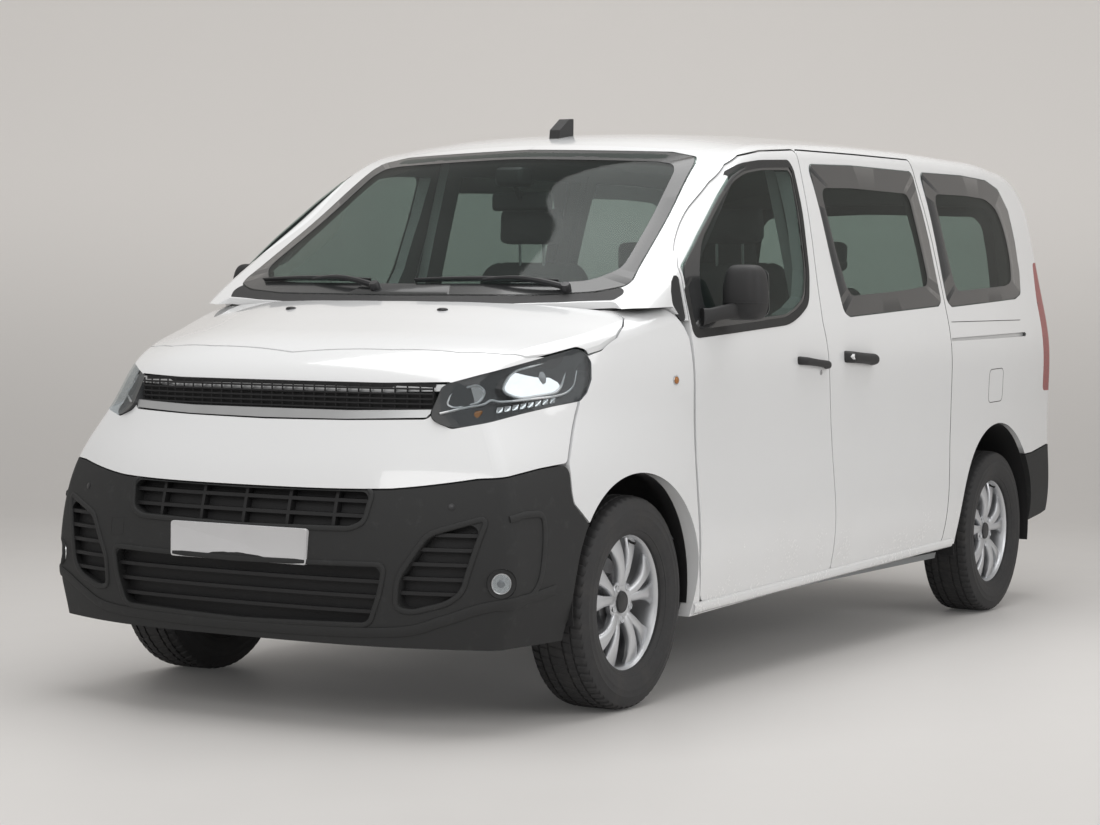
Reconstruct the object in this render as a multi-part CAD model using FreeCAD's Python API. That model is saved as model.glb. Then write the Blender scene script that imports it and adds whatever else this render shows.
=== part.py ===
import FreeCAD, Part
import math
import os
from BOPTools import SplitAPI

Vector = FreeCAD.Vector

# Overall size of the vehicle, in millimetres
LENGTH = 4959.0
WIDTH = 1920.0
HEIGHT = 1985.0
WHEELBASE = 3275.0
FRONT_OVERHANG = 881.0
TRACK = 1627.0
HALF = WIDTH / 2
FRONT_AXLE_X = LENGTH / 2 - FRONT_OVERHANG
REAR_AXLE_X = FRONT_AXLE_X - WHEELBASE
WHEEL_Y = TRACK / 2

# Tyres and wheels
TYRE_RADIUS = 345.0
TYRE_WIDTH = 215.0
RIM_RADIUS = 216.0
RIM_FLANGE = 17.0
RIM_WIDTH = 178.0
RIM_WALL = 9.0
HUB_BORE = 21.0
BRAKE_DISC_RADIUS = 142.0
BRAKE_DISC_THICKNESS = 26.0
RUNNING_GAP = 0.3

# Walls, glass and seams
DOOR_WALL = 60.0
ROOF_WALL = 40.0
GLASS = 6.0
SEAM = 6.0
FLANGE = 24.0
PANEL_CORNER = 26.0
GLASS_CORNER = 34.0
BODY_EDGE_RADIUS = 70.0
SHEET = 4.0
OVERRUN = 400.0
CLEARANCE = 6.0

# Wheel arches
FRONT_ARCH_RADIUS = 388.0
FRONT_ARCH_BACK = 8.0
FRONT_ARCH_HEIGHT = 375.0
REAR_ARCH_RADIUS = 455.0
REAR_ARCH_FORWARD = 60.0
REAR_ARCH_HEIGHT = 360.0
REAR_HOUSE_Y = 600.0

# Half widths of the side: height share, half-width share
SIDE_SHARES = (
    (0.0756, 0.9302), (0.1259, 0.9583), (0.1763, 0.9771), (0.2368, 0.9906), (0.2872, 0.9969),
    (0.3526, 0.9927), (0.4282, 0.9906), (0.5038, 0.9958), (0.5592, 0.9990), (0.6096, 0.9854),
    (0.6549, 0.9646), (0.7557, 0.9187), (0.8564, 0.8698), (0.9320, 0.8313), (1.0579, 0.7604),
)
# How much the side draws in towards the nose: height share, half-width share
TAPER_SHARES = (
    (0.0756, 0.0625), (0.2519, 0.0625), (0.4030, 0.1146), (0.5290, 0.2604), (0.6045, 0.3021),
    (0.7557, 0.3021), (1.0579, 0.3021),
)
TAPER_START_SHARE = -0.1008
TAPER_RUN_SHARE = 0.2117
TAPER_POWER = 1.9
TAIL_START_SHARE = -0.6050
TAIL_RUN_SHARE = 0.2017
TAIL_DRAW_SHARE = 0.0292

# Rows of the nose and of the cabin: place from the front axle, height, plan drop and its power,
# fall and its power, and reach. They are shares of the length, height and half width.
NOSE_SHARES = (
    (0.1654, 0.0504, 0.0383, 3.0, 0.0000, 3.0, 0.9688),
    (0.1690, 0.0907, 0.0403, 3.0, 0.0000, 3.0, 0.9688),
    (0.1734, 0.1310, 0.0434, 3.0, 0.0000, 3.0, 0.9688),
    (0.1775, 0.1763, 0.0454, 3.0, 0.0000, 3.0, 0.9688),
    (0.1777, 0.2519, 0.0454, 3.0, 0.0000, 3.0, 0.9688),
    (0.1758, 0.3073, 0.0454, 3.0, 0.0000, 3.0, 0.9688),
    (0.1690, 0.3728, 0.0454, 3.0, 0.0000, 3.0, 0.9688),
    (0.1593, 0.4282, 0.0474, 2.9, 0.0000, 3.0, 0.9688),
    (0.1488, 0.4786, 0.0504, 2.9, 0.0000, 3.0, 0.9688),
    (0.1391, 0.5264, 0.0534, 2.9, 0.0050, 3.0, 0.9688),
    (0.1301, 0.5567, 0.0544, 2.8, 0.0101, 3.0, 0.9688),
    (0.1149, 0.5834, 0.0544, 2.6, 0.0202, 3.0, 0.9688),
    (0.0867, 0.6076, 0.0524, 2.5, 0.0277, 3.0, 0.9688),
    (0.0504, 0.6338, 0.0484, 2.4, 0.0302, 3.0, 0.9688),
    (0.0161, 0.6569, 0.0403, 2.2, 0.0302, 3.0, 0.9688),
    (-0.0302, 0.6781, 0.0302, 2.0, 0.0302, 3.0, 0.9688),
    (-0.1008, 0.7003, 0.0202, 2.0, 0.0302, 3.0, 0.9688),
    (-0.2420, 0.7254, 0.0121, 2.0, 0.0302, 3.0, 0.9688),
)
CABIN_SHARES = (
    (0.1291, 0.4937, 0.0484, 2.0, 0.0000, 2.0, 0.8854),
    (0.0746, 0.5617, 0.0484, 2.0, 0.0000, 2.0, 0.8854),
    (0.0161, 0.6499, 0.0343, 2.0, 0.0000, 2.0, 0.8854),
    (-0.0797, 0.7950, 0.0282, 2.0, 0.0050, 2.0, 0.8542),
    (-0.1754, 0.9401, 0.0222, 2.0, 0.0151, 2.4, 0.8125),
    (-0.2138, 0.9662, 0.0121, 2.0, 0.0252, 2.6, 0.8125),
    (-0.2823, 0.9814, 0.0081, 2.0, 0.0292, 2.8, 0.8125),
    (-0.4436, 0.9955, 0.0000, 2.0, 0.0302, 3.0, 0.8125),
    (-0.6050, 0.9985, 0.0000, 2.0, 0.0302, 3.0, 0.8125),
    (-0.7159, 0.9914, 0.0000, 2.0, 0.0302, 3.0, 0.8125),
    (-0.7764, 0.9683, -0.0060, 2.0, 0.0302, 3.0, 0.8125),
    (-0.8016, 0.9270, -0.0141, 3.0, 0.0252, 3.0, 0.8333),
    (-0.8106, 0.8564, -0.0202, 4.0, 0.0151, 3.0, 0.8646),
    (-0.8151, 0.7053, -0.0242, 5.0, 0.0000, 3.0, 0.9167),
    (-0.8171, 0.5038, -0.0282, 6.0, 0.0000, 3.0, 0.9688),
    (-0.8187, 0.3829, -0.0302, 6.0, 0.0000, 3.0, 0.9688),
    (-0.8228, 0.2821, -0.0302, 6.0, 0.0000, 3.0, 0.9688),
    (-0.8207, 0.2015, -0.0302, 6.0, 0.0000, 3.0, 0.9688),
    (-0.8147, 0.1259, -0.0302, 6.0, 0.0000, 3.0, 0.9688),
    (-0.8106, 0.0504, -0.0302, 6.0, 0.0000, 3.0, 0.9688),
)
WRAP_REACH = 1.12
NOSE_BACK_SHARE = -0.2016
NOSE_TIP_SHARE = 0.2017
CABIN_FRONT_SHARE = 0.0302
CABIN_BACK_SHARE = -0.8470
LOW_SHARE = 0.1159
CORE_LOW_SHARE = 0.0756
NOSE_TOP_SHARE = 0.8564
CABIN_TOP_SHARE = 1.0579
PROBE_NOSE_SHARES = (0.0, 0.4030)
PROBE_CABIN_SHARES = (-0.4033, 0.4030)


def at_x(share):
    """Place along the vehicle, from a share of its length ahead of the front axle."""
    return FRONT_AXLE_X + LENGTH * share


def places(shares):
    """Points from shares: length ahead of the front axle and height."""
    return [(at_x(along), HEIGHT * up) for along, up in shares]


def hermite(table, x):
    """Smooth curve through a table of pairs, straight beyond its ends."""
    def slope(i):
        if i == 0:
            return (table[1][1] - table[0][1]) / (table[1][0] - table[0][0])
        if i == len(table) - 1:
            return (table[i][1] - table[i - 1][1]) / (table[i][0] - table[i - 1][0])
        before = table[i][0] - table[i - 1][0]
        after = table[i + 1][0] - table[i][0]
        rise_before = (table[i][1] - table[i - 1][1]) / before
        rise_after = (table[i + 1][1] - table[i][1]) / after
        return (rise_before * after + rise_after * before) / (before + after)

    if x <= table[0][0]:
        return table[0][1] + (x - table[0][0]) * slope(0)
    if x >= table[-1][0]:
        return table[-1][1] + (x - table[-1][0]) * slope(len(table) - 1)
    i = 0
    while table[i + 1][0] < x:
        i += 1
    run = table[i + 1][0] - table[i][0]
    t = (x - table[i][0]) / run
    return ((2 * t ** 3 - 3 * t ** 2 + 1) * table[i][1] + (t ** 3 - 2 * t ** 2 + t) * run * slope(i)
            + (3 * t ** 2 - 2 * t ** 3) * table[i + 1][1] + (t ** 3 - t ** 2) * run * slope(i + 1))


def side_y(x, z):
    """Half width of the body at a place and a height."""
    along = (x - FRONT_AXLE_X) / LENGTH
    share = hermite(SIDE_SHARES, z / HEIGHT)
    to_nose = max(0.0, (along - TAPER_START_SHARE) / TAPER_RUN_SHARE)
    share -= hermite(TAPER_SHARES, z / HEIGHT) * to_nose ** TAPER_POWER
    to_tail = max(0.0, (TAIL_START_SHARE - along) / TAIL_RUN_SHARE)
    share -= TAIL_DRAW_SHARE * to_tail ** 2
    return HALF * share


def even_rows(rows, count):
    """The rows of a wrap, taken again at even steps along its middle line."""
    stations = [0.0]
    for low, high in zip(rows, rows[1:]):
        step = math.hypot(LENGTH * (high[0] - low[0]), HEIGHT * (high[1] - low[1]))
        stations.append(stations[-1] + step)
    columns = [[(s, row[k]) for s, row in zip(stations, rows)] for k in range(len(rows[0]))]
    ends = [stations[-1] * i / (count - 1) for i in range(count)]
    return [tuple(hermite(column, s) for column in columns) for s in ends]


def wrap_grid(rows, inset, columns):
    """Points over the rows of a wrap, moved inwards by the inset."""
    grid = []
    for i, (along, up, drop, drop_power, fall, fall_power, reach) in enumerate(rows):
        low = rows[max(i - 1, 0)]
        high = rows[min(i + 1, len(rows) - 1)]
        run = LENGTH * (high[0] - low[0])
        rise = HEIGHT * (high[1] - low[1])
        size = math.hypot(run, rise)
        points = []
        for k in range(-columns, columns + 1):
            v = WRAP_REACH * k / columns
            x = at_x(along - drop * abs(v) ** drop_power) - inset * rise / size
            z = HEIGHT * (up - fall * abs(v) ** fall_power) + inset * run / size
            points.append(Vector(x, HALF * reach * v, z))
        grid.append(points)
    return grid


def wrap_face(shares, inset, mesh):
    """Smooth face over a wrap, moved inwards by the inset."""
    surface = Part.BSplineSurface()
    surface.interpolate(wrap_grid(even_rows(shares, mesh[0]), inset, mesh[1]))
    return surface.toShape()


def slab(x0, x1, z0, z1, inset, columns, rows):
    """Solid between the two sides of the body."""
    grid = []
    for i in range(columns + 1):
        x = x0 + (x1 - x0) * i / columns
        heights = [z0 + (z1 - z0) * j / rows for j in range(rows + 1)]
        grid.append([Vector(x, side_y(x, z) - inset, z) for z in heights])
    surface = Part.BSplineSurface()
    surface.interpolate(grid)
    left = surface.toShape().extrude(Vector(0, -2 * WIDTH, 0))
    return left.common(left.mirror(Vector(0, 0, 0), Vector(0, 1, 0)))


def solid_holding(shapes, probe):
    """The solid of a list that holds a point."""
    return [solid for solid in shapes if solid.isInside(probe, SHEET, True)][0]


def trimmed(block, face, probe_shares):
    """The side of a block, cut by a face, that holds the probe."""
    probe = Vector(at_x(probe_shares[0]), 0, HEIGHT * probe_shares[1])
    return solid_holding(SplitAPI.slice(block, [face], "Split").Solids, probe)


def curved(face):
    """Whether a face is one of the free-form ones."""
    return "BSpline" in face.Surface.TypeId


def free_edges(solid):
    """Edges where two free-form faces meet."""
    edges = []
    for edge in solid.Edges:
        faces = [f for f in solid.Faces if any(e.isSame(edge) for e in f.Edges)]
        if len(faces) == 2 and all(curved(f) for f in faces):
            edges.append(edge)
    return edges


def nose_form(side_inset, wrap_inset, edge_radius, low_share, mesh):
    """Closed form of the nose, from the bumper to under the windscreen, or one moved inwards."""
    block = slab(at_x(NOSE_BACK_SHARE), at_x(NOSE_TIP_SHARE), HEIGHT * low_share,
                 HEIGHT * NOSE_TOP_SHARE, side_inset, mesh[2], mesh[3])
    form = trimmed(block, wrap_face(NOSE_SHARES, wrap_inset, mesh), PROBE_NOSE_SHARES)
    if edge_radius > 0:
        form = form.makeFillet(edge_radius, free_edges(form))
    return form


def cabin_form(side_inset, wrap_inset, edge_radius, low_share, mesh):
    """Closed form of the cabin, from the windscreen to the tail, or one moved inwards."""
    block = slab(at_x(CABIN_BACK_SHARE), at_x(CABIN_FRONT_SHARE), HEIGHT * low_share,
                 HEIGHT * CABIN_TOP_SHARE, side_inset, mesh[2], mesh[3])
    form = trimmed(block, wrap_face(CABIN_SHARES, wrap_inset, mesh), PROBE_CABIN_SHARES)
    if edge_radius > 0:
        form = form.makeFillet(edge_radius, free_edges(form))
    return form


def turn_at(before, at, after):
    """Angle by which an outline turns at a point, or none at a repeated one."""
    if math.dist(before, at) < RUNNING_GAP:
        return 0.0
    turn = math.atan2(after[1] - at[1], after[0] - at[0]) - math.atan2(at[1] - before[1], at[0] - before[0])
    return abs(math.remainder(turn, 2 * math.pi))


def real_corners(points):
    """The points of an outline where it turns."""
    kept = [p for i, p in enumerate(points) if math.dist(p, points[i - 1]) > RUNNING_GAP]
    count = len(kept)
    return [p for i, p in enumerate(kept)
            if turn_at(kept[i - 1], p, kept[(i + 1) % count]) > LEAST_TURN]


def outline_wire(points, radius, place):
    """Closed wire of straight runs and tangent arcs, put in space by a function."""
    points = real_corners(points)
    count = len(points)
    trims = []
    for i, at in enumerate(points):
        before = points[i - 1]
        after = points[(i + 1) % count]
        turn = turn_at(before, at, after)
        run_in = math.dist(before, at)
        run_out = math.dist(at, after)
        size = min(radius, CORNER_RUN_SHARE * min(run_in, run_out) / math.tan(turn / 2))
        back = size * math.tan(turn / 2)
        start = [a + (b - a) * back / run_in for a, b in zip(at, before)]
        end = [a + (b - a) * back / run_out for a, b in zip(at, after)]
        mid = [(s + e) / 2 for s, e in zip(start, end)]
        sag = size * (1 - math.cos(turn / 2))
        peak = [m + (a - m) * sag / math.dist(mid, at) for m, a in zip(mid, at)]
        trims.append((start, peak, end))
    edges = []
    for i, (start, peak, end) in enumerate(trims):
        edges.append(Part.Arc(place(*start), place(*peak), place(*end)).toShape())
        edges.append(Part.LineSegment(place(*end), place(*trims[(i + 1) % count][0])).toShape())
    return Part.Wire(edges)


def side_plane(x, z):
    """Point of an outline seen from the side."""
    return Vector(x, 0, z)


def front_plane(y, z):
    """Point of an outline seen from the front."""
    return Vector(0, y, z)


def top_plane(x, y):
    """Point of an outline seen from above."""
    return Vector(x, y, 0)


def prism(points, radius, place, start, run, grow=0.0):
    """Solid under an outline, grown or shrunk by an amount, that starts at a vector and has a run."""
    face = Part.Face(outline_wire(points, radius, place))
    if grow:
        face = face.makeOffset2D(grow, 2)
    face.translate(start)
    return face.extrude(run)


def side_prism(shares, radius=PANEL_CORNER, grow=0.0, inner=None, outer=None):
    """Solid under an outline seen from the left side."""
    inner = SIDE_INNER_SHARE * HALF if inner is None else inner
    outer = HALF + OVERRUN if outer is None else outer
    return prism(places(shares), radius, side_plane, Vector(0, inner, 0), Vector(0, outer - inner, 0), grow)


def front_prism(shares, x0, x1, radius=PANEL_CORNER, grow=0.0):
    """Solid under an outline seen from the front, between two places."""
    points = [(HALF * y, HEIGHT * z) for y, z in shares]
    return prism(points, radius, front_plane, Vector(x0, 0, 0), Vector(x1 - x0, 0, 0), grow)


def top_prism(shares, z0, z1, radius=PANEL_CORNER, grow=0.0):
    """Solid under an outline seen from above, between two heights."""
    points = [(at_x(x), HALF * y) for x, y in shares]
    return prism(points, radius, top_plane, Vector(0, 0, z0), Vector(0, 0, z1 - z0), grow)


def both_sides(shares):
    """An outline given for its left half, closed with the right half."""
    return tuple(shares) + tuple((-y, z) for y, z in reversed(shares))


def both_sides_top(shares):
    """An outline from above given for its left half, closed with the right half."""
    return tuple(shares) + tuple((x, -y) for x, y in reversed(shares))


def box(x0, x1, y0, y1, z0, z1):
    """Box between two corners."""
    return Part.makeBox(x1 - x0, y1 - y0, z1 - z0, Vector(x0, y0, z0))


def cylinder_y(radius, x, z, y0, y1):
    """Cylinder along the vehicle's width."""
    return Part.makeCylinder(radius, y1 - y0, Vector(x, y0, z), Vector(0, 1, 0))


def rod(start, end, radius):
    """Round bar between two points."""
    run = end - start
    return Part.makeCylinder(radius, run.Length, start, run)


def mirrored(shape):
    """The same shape on the right side."""
    return shape.mirror(Vector(0, 0, 0), Vector(0, 1, 0))


def pair(shapes):
    """Shapes of the left side and their twins on the right."""
    return list(shapes) + [mirrored(shape) for shape in shapes]


def solids(shape, least=1.0):
    """Solids of a shape, without crumbs under a share of a sheet's cube."""
    return [solid for solid in shape.Solids if solid.Volume > least * SHEET ** 3 * CRUMB_COUNT]


def largest(shape):
    """The largest solid of a shape."""
    return max(shape.Solids, key=lambda solid: solid.Volume)


def revolve_y(points, x, y, z):
    """Ring turned about an axis along the width, from (radius, offset) points."""
    wire = Part.makePolygon([Vector(x + r, y + w, z) for r, w in points + points[:1]])
    return Part.Face(wire).revolve(Vector(x, y, z), Vector(0, 1, 0), 360)


CORNER_RUN_SHARE = 0.49
LEAST_TURN = 0.002
SIDE_INNER_SHARE = 0.755
CRUMB_COUNT = 40

# Outlines seen from the side: place from the front axle and height
FRONT_DOOR_SHARES = (
    (-0.0936, 0.1537), (-0.0887, 0.1662), (-0.0809, 0.2242), (-0.0760, 0.3264), (-0.0698, 0.4937),
    (-0.0661, 0.6015), (-0.0665, 0.6650), (-0.0682, 0.7159), (-0.0801, 0.7461), (-0.0899, 0.7627),
    (-0.1276, 0.8252), (-0.1557, 0.8705), (-0.1793, 0.9043), (-0.1996, 0.9234), (-0.2319, 0.9360),
    (-0.2934, 0.9471), (-0.2948, 0.9239), (-0.2884, 0.7748), (-0.2793, 0.6272), (-0.2863, 0.5139),
    (-0.2942, 0.4045), (-0.3005, 0.2821), (-0.3049, 0.1602),
)
SLIDING_DOOR_SHARES = (
    (-0.3049, 0.1602), (-0.3005, 0.2821), (-0.2942, 0.4045), (-0.2863, 0.5139), (-0.2793, 0.6272),
    (-0.2884, 0.7748), (-0.2948, 0.9239), (-0.2934, 0.9471), (-0.4033, 0.9537), (-0.5162, 0.9587),
    (-0.5213, 0.9370), (-0.5287, 0.7909), (-0.5308, 0.7053), (-0.5303, 0.5995), (-0.5334, 0.4217),
    (-0.5299, 0.2992), (-0.5267, 0.1753),
)
FRONT_WINDOW_SHARES = (
    (-0.0710, 0.6055), (-0.0698, 0.6650), (-0.0706, 0.7204), (-0.1014, 0.7758), (-0.1440, 0.8463),
    (-0.1702, 0.8846), (-0.1928, 0.9028), (-0.2244, 0.9128), (-0.2747, 0.9199), (-0.2791, 0.9068),
    (-0.2775, 0.8262), (-0.2702, 0.7184), (-0.2591, 0.6635), (-0.2380, 0.6408), (-0.2190, 0.6277),
    (-0.1391, 0.6156),
)
SAIL_SHARES = (
    (-0.0488, 0.6549), (-0.0504, 0.6776), (-0.0548, 0.6932), (-0.0645, 0.7123), (-0.0641, 0.6650),
    (-0.0637, 0.6121),
)
SLIDING_WINDOW_SHARES = (
    (-0.3093, 0.9229), (-0.3898, 0.9310), (-0.5126, 0.9350), (-0.5170, 0.9249), (-0.5227, 0.7909),
    (-0.5243, 0.6700), (-0.5154, 0.6589), (-0.3315, 0.6363), (-0.3218, 0.6448), (-0.3158, 0.7557),
)
QUARTER_WINDOW_SHARES = (
    (-0.5344, 0.9360), (-0.6269, 0.9411), (-0.6888, 0.9380), (-0.7179, 0.9219), (-0.7344, 0.8766),
    (-0.7350, 0.8060), (-0.7316, 0.7380), (-0.7229, 0.6892), (-0.7044, 0.6776), (-0.5445, 0.6579),
    (-0.5364, 0.6700), (-0.5364, 0.7909),
)
FENDER_SHARES = (
    (-0.0924, 0.1259), (-0.0875, 0.1662), (-0.0797, 0.2242), (-0.0748, 0.3264), (-0.0686, 0.4937),
    (-0.0649, 0.6015), (-0.0605, 0.6207), (-0.0490, 0.6509), (-0.0181, 0.6474), (0.0302, 0.6297),
    (0.0484, 0.6196), (0.0484, 0.4987), (0.0722, 0.4060), (0.0744, 0.3627), (0.0736, 0.3446),
    (0.0565, 0.3068), (0.0302, 0.2015), (-0.0403, 0.1259),
)
FASCIA_SHARES = (
    (0.2218, 0.3662), (0.1714, 0.3673), (0.1613, 0.3723), (0.1412, 0.3899), (0.1008, 0.4025),
    (0.0738, 0.4081), (0.0500, 0.4987), (0.0500, 0.6348), (0.2218, 0.6348),
)
FRONT_BUMPER_SHARES = (
    (0.2218, 0.3637), (0.1710, 0.3647), (0.1613, 0.3698), (0.1412, 0.3874), (0.1008, 0.4000),
    (0.0730, 0.4055), (0.0750, 0.3627), (0.0742, 0.3441), (0.0575, 0.3063), (0.0575, 0.2217),
    (0.0775, 0.1612), (0.0786, 0.0756), (0.2218, 0.0756),
)
UNDER_SHARES = (
    (0.2218, 0.1320), (0.0766, 0.1320), (-0.0202, 0.1320), (-0.0686, 0.1320), (-0.5545, 0.1662),
    (-0.6655, 0.1713), (-0.7260, 0.1824), (-0.7764, 0.1940), (-0.8469, 0.2217), (-0.8469, 0.0504),
    (0.2218, 0.0504),
)
REAR_BUMPER_SHARES = (
    (-0.7058, 0.3365), (-0.7340, 0.3385), (-0.7824, 0.3526), (-0.8469, 0.3552), (-0.8469, 0.1008),
    (-0.7058, 0.1008),
)
REAR_QUARTER_RAIL_SHARES = (
    (-0.5324, 0.5884), (-0.5324, 0.5945), (-0.7139, 0.6055), (-0.7171, 0.6010), (-0.7139, 0.5965),
)
TAIL_LAMP_SHARES = (
    (-0.7663, 0.4736), (-0.7643, 0.5844), (-0.7663, 0.6725), (-0.7764, 0.7607), (-0.8369, 0.7657),
    (-0.8369, 0.4736),
)

# Outlines seen from the front, left half: half-width share and height
WINDSCREEN_SHARES = (
    (0.0000, 0.6660), (0.5417, 0.6680), (0.7292, 0.6741), (0.8292, 0.6861), (0.8083, 0.7154),
    (0.7125, 0.9068), (0.6917, 0.9199), (0.5833, 0.9300), (0.0000, 0.9380),
)
TAILGATE_SHARES = (
    (0.0000, 0.2821), (0.6667, 0.2821), (0.7292, 0.3023), (0.8458, 0.3627), (0.8562, 0.5038),
    (0.8333, 0.6700), (0.8021, 0.7859), (0.7500, 0.9068), (0.7188, 0.9350), (0.5208, 0.9471),
    (0.0000, 0.9531),
)
REAR_WINDOW_SHARES = (
    (0.0000, 0.5945), (0.6250, 0.5995), (0.7188, 0.6247), (0.7042, 0.7456), (0.6667, 0.8665),
    (0.6250, 0.9018), (0.0000, 0.9118),
)
GRILLE_SHARES = (
    (0.0000, 0.5270), (0.3125, 0.5285), (0.6354, 0.5330), (0.6250, 0.5139), (0.5896, 0.4756),
    (0.3125, 0.4715), (0.0000, 0.4695),
)
UPPER_INTAKE_SHARES = (
    (0.0000, 0.3637), (0.4708, 0.3662), (0.4562, 0.3224), (0.4167, 0.3134), (0.0000, 0.3093),
)
LOWER_INTAKE_SHARES = (
    (0.0000, 0.2509), (0.5333, 0.2549), (0.5208, 0.2166), (0.4833, 0.1683), (0.0000, 0.1622),
)
SIDE_INTAKE_SHARES = (
    (0.5833, 0.1955), (0.5896, 0.2368), (0.6667, 0.2972), (0.6896, 0.3053), (0.8281, 0.3275),
    (0.7708, 0.2217), (0.7292, 0.2055), (0.6250, 0.1914),
)

# The space under the bonnet's edge, seen from the side
BONNET_UNDER_SHARES = (
    (0.1334, 0.5667), (0.0812, 0.5667), (0.0606, 0.5682), (0.0382, 0.5738), (0.0239, 0.5814),
    (0.0080, 0.5945), (-0.0027, 0.6081), (-0.0122, 0.6206), (-0.0299, 0.6307), (-0.0299, 0.4030),
    (0.1334, 0.4030),
)

# Outlines seen from above, left half: place from the front axle and half-width share
BONNET_SHARES = (
    (0.1212, 0.0000), (0.1176, 0.1323), (0.1121, 0.3625), (0.1010, 0.5875), (0.0946, 0.6500),
    (0.0887, 0.7188), (0.0811, 0.7729), (0.0605, 0.8229), (0.0383, 0.8646), (0.0240, 0.8844),
    (0.0081, 0.8979), (-0.0028, 0.8917), (-0.0121, 0.8677), (-0.0177, 0.8125), (-0.0040, 0.6250),
    (0.0081, 0.4167), (0.0141, 0.2083), (0.0157, 0.0000),
)
ROOF_SHARES = (
    (-0.1825, 0.0000), (-0.1839, 0.4167), (-0.1916, 0.6667), (-0.2037, 0.7188), (-0.2823, 0.7448),
    (-0.5243, 0.7521), (-0.7058, 0.7417), (-0.7643, 0.7188), (-0.7743, 0.6667), (-0.7800, 0.4167),
    (-0.7816, 0.0000),
)
COWL_SHARES = (
    (0.0145, 0.0000), (0.0129, 0.2083), (0.0069, 0.4167), (-0.0052, 0.6250), (-0.0190, 0.8073),
    (-0.0302, 0.8333), (-0.0343, 0.7292), (-0.0181, 0.5833), (-0.0040, 0.4167), (0.0020, 0.2083),
    (0.0032, 0.0000),
)

# The headlamp seen along its own facing direction: place across it and height
LAMP_FACING = 40.0
LAMP_SHARES = (
    (-0.0063, 0.4771), (0.0646, 0.4620), (0.1740, 0.4720), (0.2948, 0.4841), (0.4125, 0.4947),
    (0.5146, 0.5018), (0.5417, 0.5149), (0.5594, 0.5350), (0.5604, 0.5627), (0.5375, 0.5804),
    (0.5062, 0.5844), (0.4083, 0.5733), (0.3000, 0.5602), (0.1635, 0.5441), (0.0594, 0.5300),
    (0.0417, 0.5239),
)


# Outlines seen from the side, of trim and of what is inside
HANDLE_SHARES = (
    (-0.2299, 0.5637), (-0.2793, 0.5547), (-0.2801, 0.5456), (-0.2783, 0.5431), (-0.2299, 0.5526),
    (-0.2283, 0.5582),
)
SLIDE_HANDLE_SHARES = (
    (-0.3146, 0.5683), (-0.3642, 0.5612), (-0.3652, 0.5542), (-0.3630, 0.5506), (-0.3146, 0.5582),
    (-0.3130, 0.5632),
)
ANTENNA_SHARES = (
    (-0.2077, 0.9370), (-0.2097, 0.9798), (-0.2238, 1.0025), (-0.2299, 1.0035), (-0.2299, 0.9370),
)
FIREWALL_SHARES = (
    (-0.0831, 0.2015), (-0.0831, 0.4544), (-0.0307, 0.4544), (-0.0307, 0.5945), (-0.0294, 0.5945),
    (-0.0294, 0.4514), (-0.0819, 0.4514), (-0.0819, 0.2015),
)
DASH_SHARES = (
    (-0.0307, 0.4546), (-0.0307, 0.5945), (-0.0605, 0.6071), (-0.1129, 0.5894), (-0.1291, 0.5642),
    (-0.1311, 0.5340), (-0.1210, 0.4836), (-0.1049, 0.4546),
)
FRONT_SEAT_SHARES = (
    (-0.2117, 0.2017), (-0.2117, 0.3023), (-0.2077, 0.3627), (-0.2138, 0.3778), (-0.2904, 0.3728),
    (-0.3005, 0.4030), (-0.3206, 0.6549), (-0.3226, 0.7456), (-0.3166, 0.7708), (-0.3176, 0.8463),
    (-0.3247, 0.8564), (-0.3347, 0.8514), (-0.3368, 0.7708), (-0.3428, 0.7456), (-0.3408, 0.6549),
    (-0.3267, 0.4030), (-0.3226, 0.3224), (-0.3146, 0.2017),
)
BENCH_SHARES = (
    (-0.4033, 0.2017), (-0.4033, 0.2821), (-0.3973, 0.3526), (-0.4013, 0.3829), (-0.4699, 0.3778),
    (-0.4799, 0.4131), (-0.4981, 0.6297), (-0.5021, 0.7053), (-0.4981, 0.7254), (-0.5001, 0.7909),
    (-0.5062, 0.8010), (-0.5162, 0.7960), (-0.5182, 0.7254), (-0.5243, 0.7053), (-0.5203, 0.6297),
    (-0.5041, 0.3829), (-0.5001, 0.3123), (-0.5001, 0.2017),
)
ENGINE_SHARES = (
    (0.0867, 0.2116), (0.0867, 0.4332), (0.0766, 0.4685), (-0.0202, 0.4736), (-0.0202, 0.4332),
    (-0.0323, 0.4030), (-0.0323, 0.2116),
)
FOG_PLACE_SHARES = (
    (0.1432, 0.2338),
)
TANK_SHARES = (
    (-0.3025, 0.1862), (-0.3025, 0.1360), (-0.3146, 0.1209), (-0.4396, 0.1209), (-0.4517, 0.1360),
    (-0.4517, 0.1862),
)

# Straight-edged blocks: two places from the front axle, two half-width shares and two heights
RAIL_BLOCK_SHARES = (-0.08181, 0.14116, 0.43750, 0.51042, 0.23678, 0.28212)
APRON_BLOCK_SHARES = (-0.08181, 0.12099, 0.51042, 0.51667, 0.23678, 0.44786)
UPPER_RAIL_BLOCK_SHARES = (-0.02938, 0.09478, 0.51667, 1.00000, 0.42821, 0.45592)
TOWER_BLOCK_SHARES = (-0.01412, 0.01412, 0.51667, 0.68750, 0.39798, 0.42821)
BONNET_LOCK_BLOCK_SHARES = (0.10083, 0.10889, 0.00000, 0.03125, 0.35264, 0.70529)
BONNET_LOCK_BAR_BLOCK_SHARES = (0.10083, 0.12906, 0.00000, 0.03125, 0.35264, 0.38287)
HINGE_BLOCK_SHARES = (
    (-0.08308, -0.07350, 0.77083, 1.00000, 0.26196, 0.28212),
    (-0.08308, -0.07350, 0.77083, 1.00000, 0.43325, 0.44786),
)
BEAM_BLOCK_SHARES = (0.12906, 0.20165, 0.00000, 0.56250, 0.26448, 0.30126)
SUPPORT_BLOCK_SHARES = (0.12906, 0.20165, 0.00000, 0.58333, 0.38287, 0.45340)
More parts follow.
